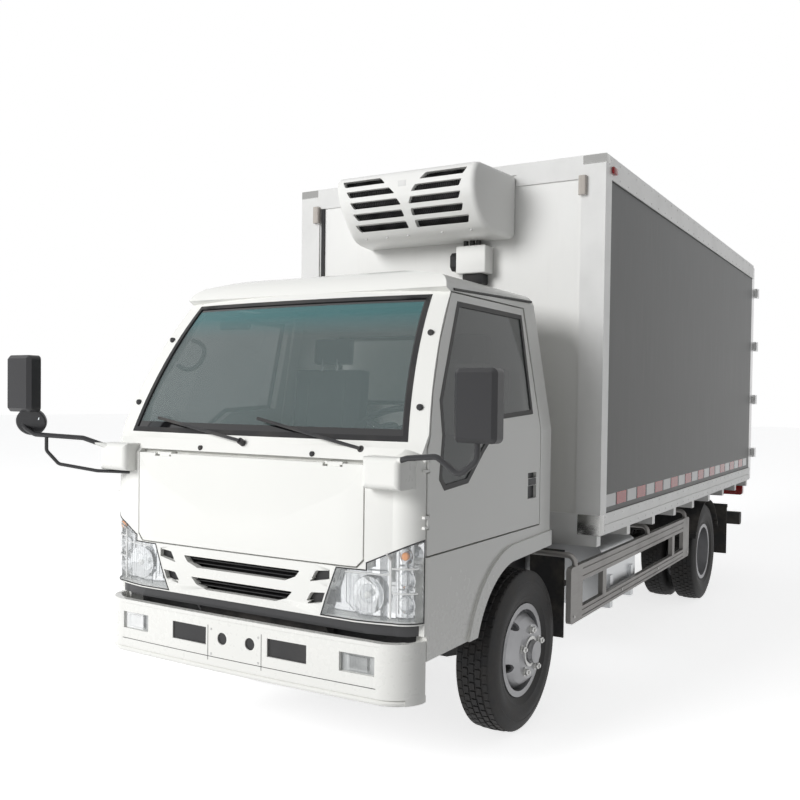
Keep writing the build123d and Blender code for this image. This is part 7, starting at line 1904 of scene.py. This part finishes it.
@dataclass(frozen=True)
class CabDetails:
    """Mirror glass, pillar stops, door linings, dials, vents and the gear lever."""

    mirror_margin: float = 0.012
    mirror_wall: float = 0.0012
    stop_heights: tuple[float, ...] = (1.560, 1.865)
    glass_foot: float = 1.424
    glass_height: float = 0.612
    lining_x: float = 0.698

    def mirror_glass(self, side: str, way: int) -> None:
        """The silvered plate that faces the driver.

        Args:
            side: The side's name.
            way: The side's sign.
        """
        skin = skin_of("mirror_back", "mirrors", lambda c, n: n.y > 0.9 and c.z > 1.46 and c.x * way > 0.9)
        columns = list(zip(*(vertex.co for vertex in skin.data.vertices)))
        bpy.data.objects.remove(skin)
        xs, ys, zs = [(min(column), max(column)) for column in columns]
        gap = self.mirror_margin
        depths = (ys[1] - 0.001, ys[1] + self.mirror_wall)
        plate = Bench.block(f"mirror_glass_{side}", (xs[0] + gap, xs[1] - gap), depths, (zs[0] + gap, zs[1] - gap),
                            0.0005, 2)
        Bench.hand_over(plate, "cab", Looks.GLASS_MIRROR)

    def pillar_stops(self, side: str, way: int) -> None:
        """Two rubber stops on a pillar between the glass and the door.

        Args:
            side: The side's name.
            way: The side's sign.
        """
        surface = Surface("cab_sides", "cab_front", "cab_glass", "cab_roof")
        spots = [(way * (0.808 - 0.100 * (z - self.glass_foot) / self.glass_height), z) for z in self.stop_heights]
        pieces = [Bench.drum("stop", place, 0.013, 0.016, "Y", 24, 0.004, 3) for place in surface.run(spots, 0.004)]
        Bench.assemble(f"pillar_stops_{side}", pieces, "cab", Looks.BLACK)

    def door_lining(self, side: str, way: int) -> None:
        """A door's inner lining with its armrest.

        Args:
            side: The side's name.
            way: The side's sign.
        """
        x = self.lining_x
        panel = Bench.block("lining", (x - 0.012, x), (-2.560, -1.730), (1.020, 1.215), 0.005, way=way)
        rest = Bench.block("armrest", (x - 0.055, x - 0.010), (-2.350, -1.850), (1.150, 1.195), 0.014, 4, way)
        Bench.assemble(f"door_inner_{side}", [panel, rest], f"cab_door_{side}", Looks.TRIM)

    def dashboard(self) -> None:
        """Three dials, four round vents and a centre stack plate."""
        dials = []
        for x, radius in ((0.320, 0.020), (0.400, 0.022), (0.480, 0.020)):
            profile = [(0.0, 0.0005), (0.002, radius * 0.85), (0.005, radius), (0.0, radius * 1.06)]
            dials.append(Bench.spun("dial", profile, (x, -2.551, 1.424), "Y", 32))
        Bench.assemble("dials", dials, "cab", Looks.CHROME_BAR)
        profile = [(0.0, 0.0005), (0.001, 0.012), (0.004, 0.030), (0.008, 0.034), (0.0, 0.038)]
        vents = [Bench.spun("vent", profile, (x, -2.512, 1.395), "Y", 32) for x in (-0.70, -0.18, 0.14, 0.70)]
        plate = Bench.block("stack_plate", (-0.12, 0.09), (-2.516, -2.506), (1.215, 1.360))
        Bench.inset(plate, lambda c, n: n.y > 0.9, 0.008, -0.003)
        Bench.assemble("dash_vents", [*vents, plate], "cab", Looks.TRIM)

    def lever(self) -> None:
        """The gear lever with its boot and knob."""
        line = [(-0.02, -2.340, 1.150), (-0.02, -2.325, 1.300), (-0.01, -2.300, 1.385)]
        knob = [(-0.030, 0.0005), (-0.028, 0.012), (-0.010, 0.022), (0.008, 0.024), (0.022, 0.016), (0.026, 0.0005)]
        boot = [(-0.02, 0.055), (0.000, 0.050), (0.010, 0.036), (0.022, 0.038), (0.035, 0.022), (0.050, 0.008)]
        pieces = [Bench.tube("gear_lever", line, 0.007, True),
                  Bench.spun("gear_knob", knob, (-0.01, -2.298, 1.405), "Z", 28),
                  Bench.spun("gear_boot", boot, (-0.02, -2.341, 1.160), "Z", 28)]
        Bench.assemble("gear_shift", pieces, "cab", Looks.TRIM_DARK)

    def build(self) -> None:
        """Makes the details."""
        for make in (self.mirror_glass, self.pillar_stops, self.door_lining):
            for side, way in SIDES:
                make(side, way)
        self.dashboard()
        self.lever()


# Chassis


@dataclass(frozen=True)
class ChassisTrim:
    """U-bolts, bolt heads, the filler cap and the tail lamps' windows."""

    bolt_offset: float = 0.052
    bolt_spans: Pair = (0.352, 0.440)
    bolt_drop: float = 0.150
    frame_inside: float = 0.25
    guard_inside: float = 0.88

    def spring_bolts(self) -> None:
        """U-bolts over the springs at both axles."""
        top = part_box("leaf_springs")[1][2] - 0.002
        foot = top - self.bolt_drop
        inner, outer = self.bolt_spans
        places = [middle_of(node)[1] + offset for node in ("tyre_front_left", "tyres_rear_left")
                  for offset in (-self.bolt_offset, self.bolt_offset)]
        pieces = []
        for _, way in SIDES:
            for y in places:
                run = [(way * x, y, z) for x, z in ((inner, foot), (inner, top), (outer, top), (outer, foot))]
                pieces.append(Bench.tube("u_bolt", run, 0.0065, True))
        Bench.assemble("spring_u_bolts", pieces, "chassis", Looks.SPRING)

    @staticmethod
    def bolts(name: str, node: str, size: Pair, spots: Sequence[Pair], inside: float, sink: float, look: Looks) -> None:
        """Six-sided bolt heads on both sides of a node.

        Args:
            name: The pieces' name without the side.
            node: The node that the bolts sit on.
            size: A bolt's radius and height.
            spots: Places along the truck and in height.
            inside: Hits nearer to the middle than this get no bolt.
            sink: How far a bolt's middle stands off the surface.
            look: Their finish.
        """
        surface = Surface(node)
        for side, way in SIDES:
            hits = [(surface.side(way, y, z), y, z) for y, z in spots]
            moves = [(hit.x + way * sink, y, z) for hit, y, z in hits if hit is not None and abs(hit.x) > inside]
            bolt = Bench.drum("bolt", (0.0, 0.0, 0.0), *size, "X", 6)
            Bench.assemble(f"{name}_{side}", Bench.repeat(bolt, moves), "chassis", look)

    def frame_bolts(self) -> None:
        """Bolt heads along both frame rails."""
        low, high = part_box("frame")
        spots = [(y, z) for y in steps(low[1] + 0.25, high[1] - 0.25, 18) for z in (0.700, 0.800)]
        self.bolts("frame_bolts", "frame", (0.009, 0.010), spots, self.frame_inside, 0.003, Looks.AXLE)

    def tank_cap(self) -> None:
        """The filler cap on the tank's top corner."""
        low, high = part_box("fuel_tank")
        y, z = low[1] + 0.12, high[2]
        profile = [(0.0, 0.042), (0.004, 0.044), (0.024, 0.044), (0.030, 0.040), (0.030, 0.0005)]
        cap = Bench.spun("tank_cap", profile, (0.780, y, z - 0.008), "Z", 40)
        grip = Bench.block("tank_cap_grip", (0.748, 0.812), (y - 0.008, y + 0.008), (z + 0.014, z + 0.034), 0.004)
        Bench.assemble("tank_filler", [cap, grip], "chassis", Looks.BLACK)

    def guard_bolts(self) -> None:
        """Bolts where the guard rails meet their posts."""
        low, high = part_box("side_guards")
        ys = [low[1] + share * (high[1] - low[1]) for share in (0.02, 0.34, 0.66, 0.98)]
        spots = [(y, z) for y in ys for z in (low[2] + 0.035, high[2] - 0.035)]
        self.bolts("guard_bolts", "side_guards", (0.007, 0.006), spots, self.guard_inside, 0.002, Looks.NUT)

    def tail_sections(self) -> None:
        """Amber and clear windows of the tail lamps."""
        low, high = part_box("tail_lamps")
        outer = high[0] - 0.008
        ys, zs = (high[1] - 0.004, high[1] + 0.0012), (low[2] + 0.045, high[2] - 0.025)
        for side, way in SIDES:
            for name, start, end, look in (("turn", 0.000, 0.075, Looks.AMBER), ("reverse", 0.180, 0.230, Looks.FOG)):
                pane = Bench.block(f"tail_{name}_{side}", (outer - end, outer - start), ys, zs, 0.001, 2, way)
                Bench.hand_over(pane, "chassis", look)

    def build(self) -> None:
        """Makes the chassis pieces."""
        self.spring_bolts()
        self.frame_bolts()
        self.tank_cap()
        self.guard_bolts()
        self.tail_sections()


# Rear doors


@dataclass(frozen=True)
class RearTrim:
    """Hinge bolts and tape of the rear doors."""

    strap_faces: Pair = (3.0715, 3.095)
    hinge_heights: tuple[float, ...] = (1.155, 1.615, 2.115, 2.615)
    bolt_places: tuple[float, ...] = (0.86, 0.80, 0.74)
    tape_z: Pair = (1.045, 1.095)
    tape_length: float = 0.15
    tape_wall: float = 0.0008

    def hinge_bolts(self) -> None:
        """Bolt heads on the hinge straps of both doors."""
        low, high = self.strap_faces
        for side, way in SIDES:
            surface = Surface(f"rear_door_{side}")
            hits = [surface.back(way * x, z) for z in self.hinge_heights for x in self.bolt_places]
            moves = [(hit.x, hit.y + 0.0005, hit.z) for hit in hits if hit is not None and low < hit.y < high]
            bolt = Bench.drum("hinge_bolt", (0.0, 0.0, 0.0), 0.0085, 0.006, soft=0.002)
            Bench.assemble(f"hinge_bolts_{side}", Bench.repeat(bolt, moves), f"cargo_door_{side}", Looks.NUT)

    def tape(self) -> None:
        """A red and white strip across the foot of each door."""
        for side, way in SIDES:
            surface = Surface(f"rear_door_{side}")
            for look, starts in ((Looks.TAPE_RED, (0.30, 0.66)), (Looks.TAPE_WHITE, (0.12, 0.48))):
                pieces = []
                for start in starts:
                    y = surface.back(way * (start + 0.07), 1.070).y
                    xs, ys = (start, start + self.tape_length), (y - 0.001, y + self.tape_wall)
                    pieces.append(Bench.block("tape", xs, ys, self.tape_z, way=way))
                Bench.assemble(f"door_{look.value.name}_{side}", pieces, f"cargo_door_{side}", look)

    def build(self) -> None:
        """Makes the rear doors' pieces."""
        self.hinge_bolts()
        self.tape()


def main() -> None:
    """Builds and dresses every sub-assembly in order."""
    logging.basicConfig(level=logging.INFO)
    Studio().build()
    dress_nodes()
    cab = (CabTrim, FrontEnd, Grille)
    for assembly in (*cab, Wheels, BoxTrim, SeatSet, CoolingUnit, CabDetails, ChassisTrim, RearTrim):
        assembly().build()


if __name__ == "__main__":
    main()
